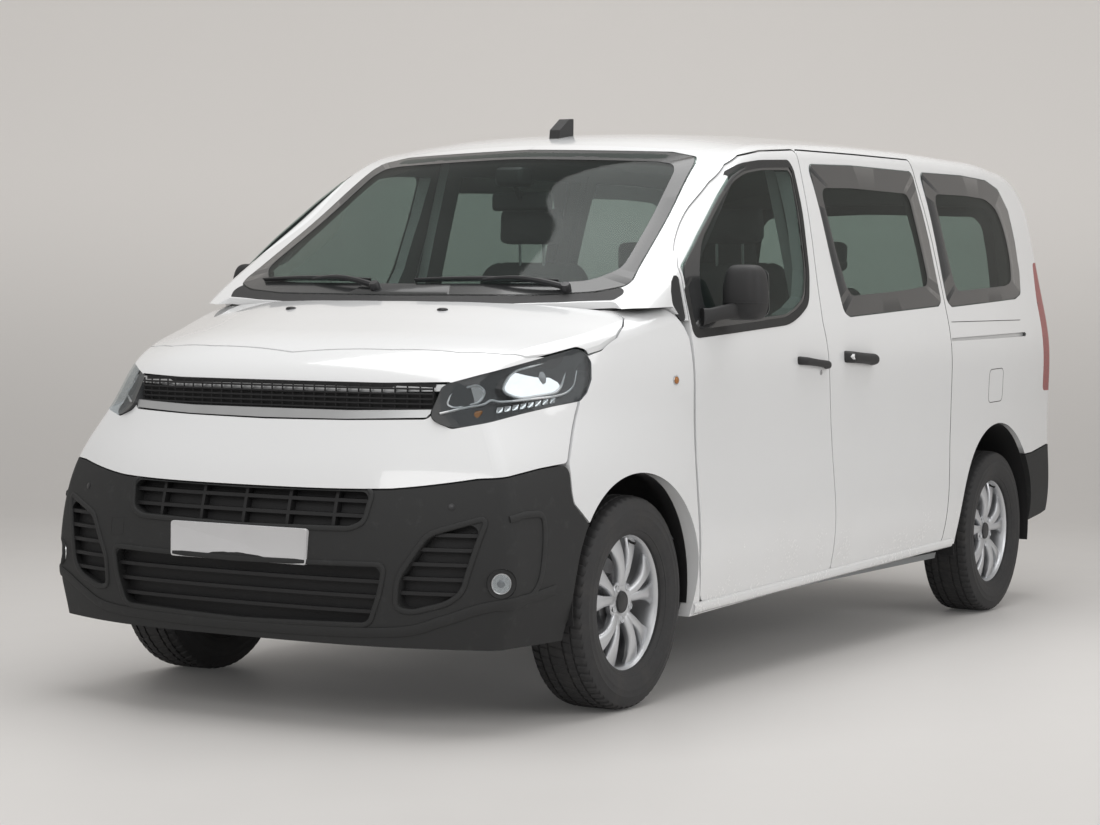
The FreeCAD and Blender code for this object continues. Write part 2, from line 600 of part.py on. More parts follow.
SUPPORT_POST_BLOCK_SHARES = (0.12906, 0.14116, 0.43750, 0.58333, 0.28212, 0.45340)
FLOOR_BLOCK_SHARES = (-0.78242, -0.08187, 0.00000, 1.00000, 0.18640, 0.20151)
LIP_BLOCK_SHARES = (-0.54446, -0.09679, 0.79167, 1.00000, 0.13703, 0.14912)
TAIL_BEAM_BLOCK_SHARES = (-0.84694, -0.74612, 0.00000, 0.72917, 0.20151, 0.22670)
TAIL_LOCK_BLOCK_SHARES = (-0.84694, -0.79855, 0.00000, 0.04167, 0.22670, 0.39295)
ROLLER_BLOCK_SHARES = (
    (-0.34684, -0.33474, 0.86458, 1.00000, 0.20166, 0.21662),
    (-0.50010, -0.48800, 0.86458, 1.00000, 0.20166, 0.21662),
)
STRIKER_BLOCK_SHARES = (
    (-0.28736, -0.28131, 0.77083, 1.00000, 0.45340, 0.47859),
    (-0.30147, -0.29542, 0.77083, 1.00000, 0.45340, 0.47859),
)
SILL_BLOCK_SHARES = (-0.42347, -0.09679, 0.79167, 0.84583, 0.13703, 0.20151)
SUBFRAME_BLOCK_SHARES = (-0.05041, 0.05041, 0.31250, 0.47917, 0.16625, 0.21144)
SUBFRAME_BAR_BLOCK_SHARES = (-0.05041, -0.02621, 0.00000, 0.43750, 0.16625, 0.21144)
SUBFRAME_TIE_BLOCK_SHARES = (-0.04033, -0.02420, 0.43750, 0.47917, 0.16625, 0.23662)
PLATE_BLOCK_SHARES = (0.17141, 0.17867, 0.00000, 0.27083, 0.25088, 0.30831)
REAR_PLATE_BLOCK_SHARES = (-0.81952, -0.79653, 0.00000, 0.27083, 0.40302, 0.45945)

FRONT_SEAT_Y_SHARES = (0.1875, 0.7292)
BENCH_Y_SHARES = (0.0000, 0.6458)
UPPER_SLAT_SHARES = (0.3264, 0.3486)
UPPER_RIB_SHARES = (-0.3438, -0.1719, 0.0000, 0.1719, 0.3438)
LOWER_SLAT_SHARES = (0.1824, 0.2055, 0.2287)
SIDE_SLAT_SHARES = (0.2136, 0.2358, 0.2579, 0.2801, 0.3023)
STEERING_SHARES = ((-0.13309, 0.46875, 0.50882),)
COLUMN_SHARES = ((-0.10083, 0.46875, 0.46851),)
STRUT_LOW_SHARES = ((0.00000, 0.69583, 0.24534),)
STRUT_TOP_SHARES = ((0.00000, 0.61521, 0.42065),)
KINGPIN_TOP_SHARES = ((0.00000, 0.60938, 0.43325),)
ARM_BALL_SHARES = ((0.00000, 0.74583, 0.12897),)
ARM_BALL_TOP_SHARES = ((0.00000, 0.74583, 0.13839),)
ARM_BACK_SHARE = -0.0383
ARM_FRONT_SHARE = 0.0343
ARM_FACE_SHARES = (
    (0.4583, 0.1683), (0.4583, 0.1824), (0.6250, 0.1572), (0.7292, 0.1350), (0.7646, 0.1350),
    (0.7646, 0.1239), (0.7188, 0.1239), (0.6146, 0.1441),
)
ARM_TOP_SHARES = (
    (-0.0371, 0.4479), (0.0331, 0.4479), (0.0302, 0.4896), (0.0048, 0.7646), (-0.0048, 0.7646),
    (-0.0343, 0.4896),
)
MIRROR_SHARES = ((-0.11293, 1.06875, 0.67758),)
MIRROR_FOOT_SHARES = ((-0.08469, 0.96875, 0.63879),)
MIRROR_ARM_SHARES = ((-0.10990, 1.05208, 0.64736),)

# Sizes of trim and running gear
HANDLE_STAND = 32.0
HANDLE_DEPTH = 16.0
HANDLE_FOOT = 26.0
MIRROR_LENGTH = 120.0
MIRROR_WIDTH = 152.0
MIRROR_HEIGHT = 190.0
MIRROR_CORNER = 34.0
MIRROR_ARM_RADIUS = 20.0
STEERING_RADIUS = 185.0
STEERING_TUBE = 15.0
STEERING_BACK = 200.0
STEERING_COLUMN_RADIUS = 24.0
STEERING_SPOKE_RADIUS = 12.0
FOG_RADIUS = 45.0
FOG_FACING = 48.0
FOG_RECESS = 10.0
FOG_REACH = 160.0
LAMP_LENS = 8.0
SLAT = 11.0
SLAT_RECESS = 14.0
RAIL_DEPTH = 14.0
SPINDLE_RADIUS = HUB_BORE - RUNNING_GAP
SPINDLE_OUT = 38.0
KNUCKLE_IN = 56.0
KNUCKLE_PLATE = 24.0
KNUCKLE_RADIUS = 70.0
STRUT_RADIUS = 24.0
HUB_RADIUS = 78.0
HUB_FACE = 52.0
SPOKE_COUNT = 5
SPOKE_SPREAD = 19.0
SPOKE_WIDTH = 22.0
SPOKE_DEPTH = 26.0
SPOKE_OUT = 62.0
CAP_RADIUS = 32.0
CAP_THICKNESS = 8.0
AXLE_RADIUS = 24.0
ARM_RADIUS = 9.0
ARM_CORNER = 6.0
FLOOR_GAP = 14.0
HOUSE_SHEET = 4.0
PILLAR_WIDTH = 110.0
PILLAR_DEPTH = 40.0
PILLAR_GAP = 16.0
PILLAR_STEPS = 8

# Tyre section: radius as a share of the tyre's, offset as a share of its half width
TYRE_SHARES = (
    (0.6270, -0.7420), (0.6768, -0.7420), (0.7900, -1.0000), (0.9200, -0.9700), (1.0000, -0.7900),
    (1.0000, 0.7900), (0.9200, 0.9700), (0.7900, 1.0000), (0.6768, 0.7420), (0.6270, 0.7420),
)


def at(shares):
    """Point in space, from shares of the length, the half width and the height."""
    along, across, up = shares[0]
    return Vector(at_x(along), HALF * across, HEIGHT * up)


def block(shares, sides=False):
    """Block between two corners given in shares, over both sides or on the left only."""
    x0, x1, y0, y1, z0, z1 = shares
    low = -HALF * y1 if sides else HALF * y0
    return box(at_x(x0), at_x(x1), low, HALF * y1, HEIGHT * z0, HEIGHT * z1)


def arch_cut(x, z, radius):
    """Cutter for a pair of wheel arches."""
    return cylinder_y(radius, x, z, -HALF - OVERRUN, HALF + OVERRUN)


FRONT_ARCH = (FRONT_AXLE_X - FRONT_ARCH_BACK, FRONT_ARCH_HEIGHT, FRONT_ARCH_RADIUS)
REAR_ARCH = (REAR_AXLE_X + REAR_ARCH_FORWARD, REAR_ARCH_HEIGHT, REAR_ARCH_RADIUS)


def left_of(shape, inner=0.0):
    """The part of a shape on the left of a plane."""
    return shape.common(box(-LENGTH, LENGTH, inner, WIDTH, -HEIGHT, 2 * HEIGHT))


def side_layer(shares, radius, grow, out, depth):
    """Layer of the left side under an outline, from out of the surface to a depth."""
    xs = [at_x(p[0]) for p in shares]
    zs = [HEIGHT * p[1] for p in shares]
    x0, x1 = min(xs) - FLANGE, max(xs) + FLANGE
    z0, z1 = min(zs) - FLANGE, max(zs) + FLANGE
    grid = []
    for i in range(LAYER_STEPS + 1):
        x = x0 + (x1 - x0) * i / LAYER_STEPS
        heights = [z0 + (z1 - z0) * j / LAYER_STEPS for j in range(LAYER_STEPS + 1)]
        grid.append([Vector(x, side_y(x, z) + out, z) for z in heights])
    surface = Part.BSplineSurface()
    surface.interpolate(grid)
    layer = surface.toShape().extrude(Vector(0, -out - depth, 0))
    return largest(layer.common(side_prism(shares, radius, grow)))


def wrap_layer(rows, outward, out, depth, cutter):
    """Layer of the cabin's wrap inside a cutter, from out of the surface to a depth."""
    surface = Part.BSplineSurface()
    surface.interpolate(wrap_grid(rows, 0.0, FINE_CABIN[1]))
    face = surface.toShape()
    face.translate(outward * out)
    return largest(face.extrude(outward * (-out - depth)).common(cutter))


def side_pane(shares):
    """Glass pane of a side window, with the cutters of its seat and its opening."""
    glass = side_layer(shares, GLASS_CORNER, -RUNNING_GAP, 0.0, GLASS)
    seat = side_layer(shares, GLASS_CORNER, 0.0, FLANGE, GLASS)
    return glass, [seat, side_prism(shares, GLASS_CORNER, -FLANGE)]


def screen_pane(shares, rows, outward, x0, x1):
    """Glass pane across the front or the rear, with the cutters of its seat and its opening."""
    outline = both_sides(shares)
    glass = wrap_layer(rows, outward, 0.0, GLASS, front_prism(outline, x0, x1, GLASS_CORNER, -RUNNING_GAP))
    seat = wrap_layer(rows, outward, FLANGE, GLASS, front_prism(outline, x0, x1, GLASS_CORNER))
    return glass, [seat, front_prism(outline, x0, x1, GLASS_CORNER, -FLANGE)]


def make_forms():
    """Walls and cores of the nose and of the cabin."""
    under = side_prism(UNDER_SHARES, PANEL_CORNER, 0.0, -WIDTH, WIDTH)
    cutters = [under, arch_cut(*FRONT_ARCH), arch_cut(*REAR_ARCH)]
    nose = nose_form(0.0, 0.0, BODY_EDGE_RADIUS, LOW_SHARE, FINE_NOSE)
    nose_core = nose_form(DOOR_WALL, ROOF_WALL, 0.0, CORE_LOW_SHARE, COARSE)
    nose_inner = nose_form(DOOR_WALL + RUNNING_GAP, ROOF_WALL + RUNNING_GAP, 0.0, CORE_LOW_SHARE, COARSE)
    cabin = cabin_form(0.0, 0.0, BODY_EDGE_RADIUS, LOW_SHARE, FINE_CABIN)
    cabin_core, cabin_inner, cabin_near = [
        cabin_form(DOOR_WALL + gap, ROOF_WALL + gap, 0.0, CORE_LOW_SHARE, COARSE_CABIN)
        for gap in (0.0, FLOOR_GAP, RUNNING_GAP)]
    return {"nose_wall": nose.cut(nose_core).cut(cutters), "nose_inner": nose_inner, "nose": nose,
            "cabin_wall": cabin.cut(cabin_core).cut(cutters), "cabin_inner": cabin_inner,
            "cabin_near": cabin_near, "cabin": cabin}


def make_doors(wall):
    """Front and sliding doors of the left side, with their glass."""
    front_glass, front_cut = side_pane(FRONT_WINDOW_SHARES)
    slide_glass, slide_cut = side_pane(SLIDING_WINDOW_SHARES)
    front = largest(wall.common(side_prism(FRONT_DOOR_SHARES, PANEL_CORNER, -SEAM / 2)).cut(front_cut))
    slide = largest(wall.common(side_prism(SLIDING_DOOR_SHARES, PANEL_CORNER, -SEAM / 2)).cut(slide_cut))
    return front, front_glass, slide, slide_glass


def make_pillar(near):
    """Inner post between the front door and the sliding door, with their strikers."""
    x = at_x(PILLAR_SHARE)
    foot = HEIGHT * PILLAR_FOOT_SHARE
    heights = [foot + (HEIGHT - foot) * i / PILLAR_STEPS for i in range(PILLAR_STEPS + 1)]
    gap = DOOR_WALL + PILLAR_GAP
    outer = [(side_y(x, z) - gap, z) for z in heights]
    inner = [(side_y(x, z) - gap - PILLAR_DEPTH, z) for z in reversed(heights)]
    wire = Part.makePolygon([Vector(x, y, z) for y, z in outer + inner + outer[:1]])
    post = Part.Face(wire).extrude(Vector(-PILLAR_WIDTH, 0, 0))
    strikers = [block(shares) for shares in STRIKER_BLOCK_SHARES]
    return largest(post.fuse(strikers).common(near))


def make_shell(wall):
    """Roof, windscreen, tailgate, body side and rear bumper."""
    rows = even_rows(CABIN_SHARES, FINE_CABIN[0])
    back = at_x(CABIN_BACK_SHARE) - OVERRUN
    tail_x = at_x(TAIL_CUT_SHARE)
    slope = math.radians(SCREEN_FACING)
    screen, screen_cut = screen_pane(WINDSCREEN_SHARES, [r for r in rows if r[0] > SCREEN_BACK_SHARE],
                                     Vector(math.cos(slope), 0, math.sin(slope)),
                                     at_x(SCREEN_BACK_SHARE), at_x(NOSE_TIP_SHARE))
    rear_glass, rear_cut = screen_pane(REAR_WINDOW_SHARES, [r for r in rows if r[0] < TAIL_CUT_SHARE],
                                       Vector(-1, 0, 0), back, tail_x)
    bumper_cut = side_prism(REAR_BUMPER_SHARES, PANEL_CORNER, 0.0, -WIDTH, WIDTH)
    gate_x = at_x(GATE_CUT_SHARE)
    gate = wall.common(front_prism(both_sides(TAILGATE_SHARES), back, gate_x, PANEL_CORNER, -SEAM / 2))
    gate = largest(gate.cut(rear_cut + [bumper_cut]))
    gate_cut = front_prism(both_sides(TAILGATE_SHARES), back, gate_x + SEAM, PANEL_CORNER, SEAM / 2)
    bumper = wall.common(side_prism(REAR_BUMPER_SHARES, PANEL_CORNER, -SEAM, -WIDTH, WIDTH))
    roof_low = HEIGHT * ROOF_CUT_SHARE
    roof = wall.common(top_prism(both_sides_top(ROOF_SHARES), roof_low, 2 * HEIGHT, PANEL_CORNER,
                                 -RUNNING_GAP))
    roof_cut = top_prism(both_sides_top(ROOF_SHARES), roof_low, 2 * HEIGHT, PANEL_CORNER)
    quarter_glass, quarter_cut = side_pane(QUARTER_WINDOW_SHARES)
    sail, sail_cut = side_pane(SAIL_SHARES)
    cowl = wall.common(top_prism(both_sides_top(COWL_SHARES), HEIGHT * COWL_LOW_SHARE,
                                 HEIGHT * COWL_TOP_SHARE, PANEL_CORNER, -RUNNING_GAP)).cut(screen_cut[0])
    cowl_cut = top_prism(both_sides_top(COWL_SHARES), HEIGHT * COWL_LOW_SHARE, HEIGHT * COWL_TOP_SHARE)
    fender_cut = side_prism(FENDER_SHARES, PANEL_CORNER, SEAM / 2, -WIDTH, WIDTH)
    bonnet_cut = top_prism(both_sides_top(BONNET_SHARES), HEIGHT * BONNET_CUT_SHARE, 2 * HEIGHT,
                           PANEL_CORNER, SEAM / 2)
    ahead = box(at_x(FENDER_SHARES[0][0]), LENGTH, -WIDTH, WIDTH, -HEIGHT, HEIGHT * SCREEN_BASE_SHARE)
    lamp = side_prism(TAIL_LAMP_SHARES, PANEL_CORNER, 0.0, HALF * LAMP_INNER_SHARE)
    lamp_cut = side_prism(TAIL_LAMP_SHARES, PANEL_CORNER, RUNNING_GAP, HALF * LAMP_INNER_SHARE)
    cuts = [side_prism(FRONT_DOOR_SHARES, PANEL_CORNER, SEAM / 2),
            side_prism(SLIDING_DOOR_SHARES, PANEL_CORNER, SEAM / 2), lamp_cut, gate_cut, bumper_cut,
            roof_cut, fender_cut, ahead, cowl_cut, bonnet_cut,
            side_layer(REAR_QUARTER_RAIL_SHARES, SHEET, 0.0, FLANGE, RAIL_DEPTH)]
    cuts += screen_cut + quarter_cut + sail_cut[:1]
    side = largest(left_of(wall, RUNNING_GAP).cut(cuts))
    tail_lamp = largest(left_of(wall).common(lamp).cut(gate_cut))
    return {"windscreen": screen, "rear_glass": rear_glass, "gate": gate, "rear_bumper": largest(bumper),
            "roof": largest(roof), "quarter_glass": quarter_glass, "side": side, "tail_lamp": tail_lamp,
            "sail": sail, "cowl": largest(cowl)}


def lamp_place(across, up):
    """Point of the headlamp's outline."""
    turn = math.radians(LAMP_FACING)
    return Vector(FRONT_AXLE_X - across * math.sin(turn), across * math.cos(turn), up)


def lamp_run():
    """Direction in which the headlamp faces."""
    turn = math.radians(LAMP_FACING)
    return Vector(math.cos(turn), math.sin(turn), 0)


def lamp_prism(grow, depth):
    """Solid under the headlamp's outline, along its facing direction."""
    run = lamp_run()
    points = [(HALF * a, HEIGHT * z) for a, z in LAMP_SHARES]
    return prism(points, PANEL_CORNER, lamp_place, run * depth, run * OVERRUN * 4, grow)


def behind(inner, shares, grow):
    """Block behind an opening of the nose, up to the inside of its wall."""
    return largest(inner.common(front_prism(shares, at_x(BEHIND_SHARE), at_x(NOSE_TIP_SHARE),
                                            PANEL_CORNER, grow)))


def slatted(mesh, form, shares, heights, ribs=()):
    """A mesh block with level slats and upright ribs in front of it, inside its opening."""
    plug = largest(form.common(front_prism(shares, at_x(BEHIND_SHARE), at_x(NOSE_TIP_SHARE),
                                           PANEL_CORNER, -RUNNING_GAP)))
    bands = [box(FRONT_AXLE_X, LENGTH, -WIDTH, WIDTH, HEIGHT * z, HEIGHT * z + SLAT) for z in heights]
    bands += [box(FRONT_AXLE_X, LENGTH, HALF * y - SLAT / 2, HALF * y + SLAT / 2, 0, HEIGHT) for y in ribs]
    bars = plug.common(bands[0].fuse(bands[1:]))
    return largest(mesh.fuse(bars))


def under_bonnet(drop):
    """Solid below the bonnet's edge, lower by a drop."""
    return moved(side_prism(BONNET_UNDER_SHARES, SHEET, 0.0, -WIDTH, WIDTH), 0, 0, -drop)


def bonnet_space():
    """Cutter for the bonnet's place, with its seam."""
    space = top_prism(both_sides_top(BONNET_SHARES), HEIGHT * BONNET_CUT_SHARE, 2 * HEIGHT,
                      PANEL_CORNER, SEAM / 2)
    return space.cut(under_bonnet(SEAM))


def make_nose(forms):
    """Bonnet, fender, fascia, bumper, grille and lamps."""
    wall = forms["nose_wall"]
    inner = forms["nose_inner"]
    low = HEIGHT * BONNET_CUT_SHARE
    tip = at_x(NOSE_TIP_SHARE)
    lamp_cut = lamp_prism(RUNNING_GAP, 0.0)
    lamp_cuts = [lamp_cut, mirrored(lamp_cut)]
    grille_cut = front_prism(both_sides(GRILLE_SHARES), FRONT_AXLE_X, tip)
    bonnet_outline = both_sides_top(BONNET_SHARES)
    bonnet = wall.common(top_prism(bonnet_outline, low, 2 * HEIGHT, PANEL_CORNER, -SEAM / 2))
    bonnet = largest(bonnet.cut([lamp_prism(SEAM, 0.0), mirrored(lamp_prism(SEAM, 0.0)), under_bonnet(0)]))
    bonnet_cut = bonnet_space()
    fascia = wall.common(side_prism(FASCIA_SHARES, PANEL_CORNER, -RUNNING_GAP, -WIDTH, WIDTH))
    fascia = solids(fascia.cut(lamp_cuts + [grille_cut, bonnet_cut]))
    bumper_cuts = [front_prism(both_sides(UPPER_INTAKE_SHARES), FRONT_AXLE_X, tip),
                   front_prism(both_sides(LOWER_INTAKE_SHARES), FRONT_AXLE_X, tip)]
    side_intake = front_prism(SIDE_INTAKE_SHARES, FRONT_AXLE_X, tip)
    fog_place = Vector(at_x(FOG_PLACE_SHARES[0][0]), HALF * FOG_Y_SHARE, HEIGHT * FOG_PLACE_SHARES[0][1])
    facing = math.radians(FOG_FACING)
    fog_run = Vector(math.cos(facing), math.sin(facing), 0)
    fog_hole = rod(fog_place - fog_run * FOG_REACH, fog_place + fog_run * FOG_REACH,
                   FOG_RADIUS + RUNNING_GAP)
    fog = rod(fog_place - fog_run * DOOR_WALL, fog_place - fog_run * FOG_RECESS, FOG_RADIUS)
    bumper_cuts += [side_intake, mirrored(side_intake), fog_hole, mirrored(fog_hole)]
    bumper = largest(wall.common(side_prism(FRONT_BUMPER_SHARES, PANEL_CORNER, 0.0, -WIDTH, WIDTH))
                     .cut(bumper_cuts))
    fender = left_of(wall, HALF * FENDER_INNER_SHARE).common(side_prism(
        FENDER_SHARES, PANEL_CORNER, -SEAM / 2, 0.0))
    cowl_cut = top_prism(both_sides_top(COWL_SHARES), HEIGHT * COWL_LOW_SHARE, HEIGHT * COWL_TOP_SHARE,
                         PANEL_CORNER, SEAM / 2)
    fender = largest(fender.cut([bonnet_cut, cowl_cut] + lamp_cuts))
    lamp = largest(forms["nose"].common(lamp_prism(-RUNNING_GAP, at_x(LAMP_BACK_SHARE) - FRONT_AXLE_X)))
    lamp_core = forms["nose"].copy()
    lamp_core.translate(lamp_run() * -LAMP_LENS)
    lens = largest(lamp.cut(lamp_core))
    housing = lamp.common(lamp_core)
    form = nose_form(SLAT_RECESS, SLAT_RECESS, 0.0, CORE_LOW_SHARE, COARSE)
    mesh = [behind(inner, both_sides(GRILLE_SHARES), FLANGE / 2)]
    for shares, heights, ribs in ((both_sides(UPPER_INTAKE_SHARES), UPPER_SLAT_SHARES, UPPER_RIB_SHARES),
                                  (both_sides(LOWER_INTAKE_SHARES), LOWER_SLAT_SHARES, ())):
        mesh.append(slatted(behind(inner, shares, FLANGE / 2), form, shares, heights, ribs))
    side_mesh = slatted(behind(inner, SIDE_INTAKE_SHARES, FLANGE / 2), form, SIDE_INTAKE_SHARES,
                        SIDE_SLAT_SHARES)
    bars = [largest(wall.common(front_prism(both_sides(bar), FRONT_AXLE_X, tip, SHEET)).cut(lamp_cuts))
            for bar in (GRILLE_TOP_SHARES, GRILLE_LOW_SHARES)]
    return {"bonnet": bonnet, "fascia": fascia, "front_bumper": bumper, "fender": fender, "lens": lens,
            "housing": largest(housing), "mesh": mesh + pair([side_mesh]), "bars": bars, "fog": fog}


def make_front_frame(inner):
    """Rails, aprons, strut towers and beams that carry the panels of the nose."""
    beam = inner.common(block(BEAM_BLOCK_SHARES, True))
    support = inner.common(block(SUPPORT_BLOCK_SHARES, True))
    lock_post = block(BONNET_LOCK_BLOCK_SHARES, True)
    lock = inner.common(lock_post.fuse(block(BONNET_LOCK_BAR_BLOCK_SHARES, True)))
    upper = largest(inner.common(block(UPPER_RAIL_BLOCK_SHARES)))
    post = largest(inner.common(block(SUPPORT_POST_BLOCK_SHARES)))
    tower = block(TOWER_BLOCK_SHARES).cut(rod(at(STRUT_LOW_SHARES), at(KINGPIN_TOP_SHARES),
                                              STRUT_RADIUS + RUNNING_GAP))
    left = [block(RAIL_BLOCK_SHARES), block(APRON_BLOCK_SHARES), upper, post, tower]
    return largest(beam.fuse([support, lock] + pair(left)))


def make_floor(forms):
    """Floor with its sills, firewall, hinge posts, rear wheel houses and tail beam."""
    inner = forms["cabin_inner"]
    near = forms["cabin_near"]
    plate = inner.common(block(FLOOR_BLOCK_SHARES, True))
    lip = largest(near.common(block(LIP_BLOCK_SHARES)))
    half = HALF * FIREWALL_Y_SHARE
    firewall = side_prism(FIREWALL_SHARES, SHEET, 0.0, -half, half)
    hinges = [largest(near.common(forms["nose_inner"]).common(block(shares)))
              for shares in HINGE_BLOCK_SHARES]
    tail = near.common(block(TAIL_BEAM_BLOCK_SHARES, True).fuse(block(TAIL_LOCK_BLOCK_SHARES, True)))
    house_x = REAR_ARCH[0]
    house_z = REAR_ARCH[1]
    hole = cylinder_y(REAR_ARCH_RADIUS, house_x, house_z, REAR_HOUSE_Y, WIDTH)
    outer = inner.common(cylinder_y(REAR_ARCH_RADIUS + HOUSE_SHEET, house_x, house_z,
                                    REAR_HOUSE_Y - HOUSE_SHEET, HALF))
    under = box(-LENGTH, LENGTH, -WIDTH, WIDTH, -HEIGHT, HEIGHT * FLOOR_BLOCK_SHARES[4])
    left = [block(SILL_BLOCK_SHARES), lip, outer.cut(under)] + hinges
    return largest(plate.fuse(pair(left) + [firewall, tail]).cut(pair([hole])))


def make_tyre():
    """Tyre about the origin."""
    points = [(TYRE_RADIUS * r, TYRE_WIDTH / 2 * w) for r, w in TYRE_SHARES]
    return revolve_y(points, 0, 0, 0)


def make_rim():
    """Wheel with its spokes, hub and brake disc about the origin, its outer face towards the left."""
    half = RIM_WIDTH / 2
    inner = RIM_RADIUS - RIM_WALL
    edge = half - RIM_WALL
    profile = [(inner, -half), (RIM_RADIUS + RIM_FLANGE, -half), (RIM_RADIUS + RIM_FLANGE, -edge),
               (RIM_RADIUS, -edge), (RIM_RADIUS, edge), (RIM_RADIUS + RIM_FLANGE, edge),
               (RIM_RADIUS + RIM_FLANGE, half), (inner, half)]
    barrel = revolve_y(profile, 0, 0, 0)
    disc = [(HUB_BORE, -BRAKE_DISC_BACK), (BRAKE_DISC_RADIUS, -BRAKE_DISC_BACK),
            (BRAKE_DISC_RADIUS, BRAKE_DISC_THICKNESS - BRAKE_DISC_BACK),
            (HUB_RADIUS, BRAKE_DISC_THICKNESS - BRAKE_DISC_BACK), (HUB_RADIUS, HUB_FACE),
            (HUB_BORE, HUB_FACE)]
    hub = revolve_y(disc, 0, 0, 0)
    spokes = []
    for i in range(SPOKE_COUNT):
        middle = FULL_TURN * i / SPOKE_COUNT + FULL_TURN / 4
        for side in (-1, 1):
            angle = math.radians(middle + side * SPOKE_SPREAD / 2)
            foot = math.radians(middle + side * SPOKE_SPREAD)
            a = Vector(math.cos(foot), 0, math.sin(foot)) * (HUB_RADIUS - SPOKE_WIDTH)
            b = Vector(math.cos(angle), 0, math.sin(angle)) * (inner + RIM_WALL / 2)
            along = b - a
            across = Vector(-along.z, 0, along.x).normalize() * (SPOKE_WIDTH / 2)
            low = Vector(0, HUB_FACE - SPOKE_DEPTH, 0)
            high = Vector(0, SPOKE_OUT - SPOKE_DEPTH, 0)
            points = [a + across + low, b + across + high, b - across + high, a - across + low]
            face = Part.Face(Part.makePolygon(points + points[:1]))
            spokes.append(face.extrude(Vector(0, SPOKE_DEPTH, 0)))
    rim = barrel.fuse([hub] + spokes)
    cap = Part.makeCylinder(CAP_RADIUS, CAP_THICKNESS, Vector(0, HUB_FACE, 0), Vector(0, 1, 0))
    return rim.fuse(cap)


def moved(shape, x, y, z):
    """A copy of a shape, moved."""
    copy = shape.copy()
    copy.translate(Vector(x, y, z))
    return copy


def make_knuckle():
    """Left steering knuckle with its spindle and strut."""
    back = WHEEL_Y - BRAKE_DISC_BACK - CLEARANCE
    spindle = cylinder_y(SPINDLE_RADIUS, FRONT_AXLE_X, TYRE_RADIUS, back - KNUCKLE_PLATE,
                         WHEEL_Y + SPINDLE_OUT)
    plate = cylinder_y(KNUCKLE_RADIUS, FRONT_AXLE_X, TYRE_RADIUS, back - KNUCKLE_IN, back)
    low = at(STRUT_LOW_SHARES)
    top = at(STRUT_TOP_SHARES)
    strut = rod(low, top, STRUT_RADIUS)
    arm = rod(Vector(FRONT_AXLE_X, back - KNUCKLE_IN / 2, TYRE_RADIUS), low, STRUT_RADIUS)
    return spindle.fuse([plate, strut, arm])


def make_seat(shares, y0, y1):
    """Seat between two places across the vehicle."""
    return side_prism(shares, PANEL_CORNER, 0.0, y0, y1)


def make_mirror():
    """Left door mirror with its arm and foot."""
    centre = at(MIRROR_SHARES)
    half = Vector(MIRROR_LENGTH / 2, MIRROR_WIDTH / 2, MIRROR_HEIGHT / 2)
    low = centre - half
    head = Part.makeBox(MIRROR_LENGTH, MIRROR_WIDTH, MIRROR_HEIGHT, low)
    head = head.makeFillet(MIRROR_CORNER, head.Edges)
    return head.fuse(rod(at(MIRROR_FOOT_SHARES), at(MIRROR_ARM_SHARES), MIRROR_ARM_RADIUS))


def make_handle(shares, panel):
    """Pull handle of a door, on two feet that end on its panel."""
    bar = side_layer(shares, SHEET, 0.0, HANDLE_STAND, HANDLE_DEPTH - HANDLE_STAND)
    xs = [at_x(p[0]) for p in shares]
    feet = []
    for x0 in (min(xs) + SHEET, max(xs) - SHEET - HANDLE_FOOT):
        foot = side_layer(shares, SHEET, -SHEET, HANDLE_STAND - SHEET, CLEARANCE)
        feet.append(foot.common(box(x0, x0 + HANDLE_FOOT, 0, WIDTH, 0, HEIGHT)))
    return largest(bar.fuse(feet).cut(panel))


def make_steering():
    """Steering wheel with its column."""
    centre = at(STEERING_SHARES)
    foot = at(COLUMN_SHARES)
    axis = (centre - foot).normalize()
    ring = Part.makeTorus(STEERING_RADIUS, STEERING_TUBE, centre + axis * STEERING_BACK, axis)
    hub_place = centre + axis * STEERING_BACK
    across = rod(hub_place - Vector(0, STEERING_RADIUS, 0), hub_place + Vector(0, STEERING_RADIUS, 0),
                 STEERING_SPOKE_RADIUS)
    column = rod(foot, hub_place, STEERING_COLUMN_RADIUS)
    return ring.fuse([across, column])


FINE_NOSE = (18, 4, 8, 10)
FINE_CABIN = (32, 4, 8, 10)
COARSE = (14, 2, 4, 5)
COARSE_CABIN = (28, 2, 4, 5)
LAYER_STEPS = 6
TAIL_CUT_SHARE = -0.7461
GATE_CUT_SHARE = -0.7848
SCREEN_BACK_SHARE = -0.2521
SCREEN_FACING = 59.0
FULL_TURN = 360.0
ROOF_CUT_SHARE = 0.8967
SCREEN_BASE_SHARE = 0.6297
COWL_LOW_SHARE = 0.5793
COWL_TOP_SHARE = 0.7557
LAMP_INNER_SHARE = 0.8125
LAMP_BACK_SHARE = 0.1129
BONNET_CUT_SHARE = 0.5390
FENDER_INNER_SHARE = 0.5833
FIREWALL_Y_SHARE = 0.7917
FOG_Y_SHARE = 0.8865
BEHIND_SHARE = 0.1412
PILLAR_SHARE = -0.2803
PILLAR_FOOT_SHARE = 0.2017
BRAKE_DISC_BACK = 44.0
GRILLE_TOP_SHARES = (
    (0.0000, 0.5254), (0.3125, 0.5259), (0.6312, 0.5290), (0.6208, 0.5189), (0.3125, 0.5128),
    (0.0000, 0.5118),
)
GRILLE_LOW_SHARES = (
    (0.0000, 0.4866), (0.3125, 0.4866), (0.6000, 0.4907), (0.5813, 0.4786), (0.3125, 0.4736),
    (0.0000, 0.4720),
)


def write(name, *shapes):
    """Write one node as a file of its own."""
    Part.makeCompound([solid for shape in shapes for solid in shape.Solids]).exportStep(
        os.path.join("parts", name + ".step"))


def write_pair(name, shape):
    """Write the left and right twins of a shape as two nodes."""
    write(name + "_left", shape)
    write(name + "_right", mirrored(shape))


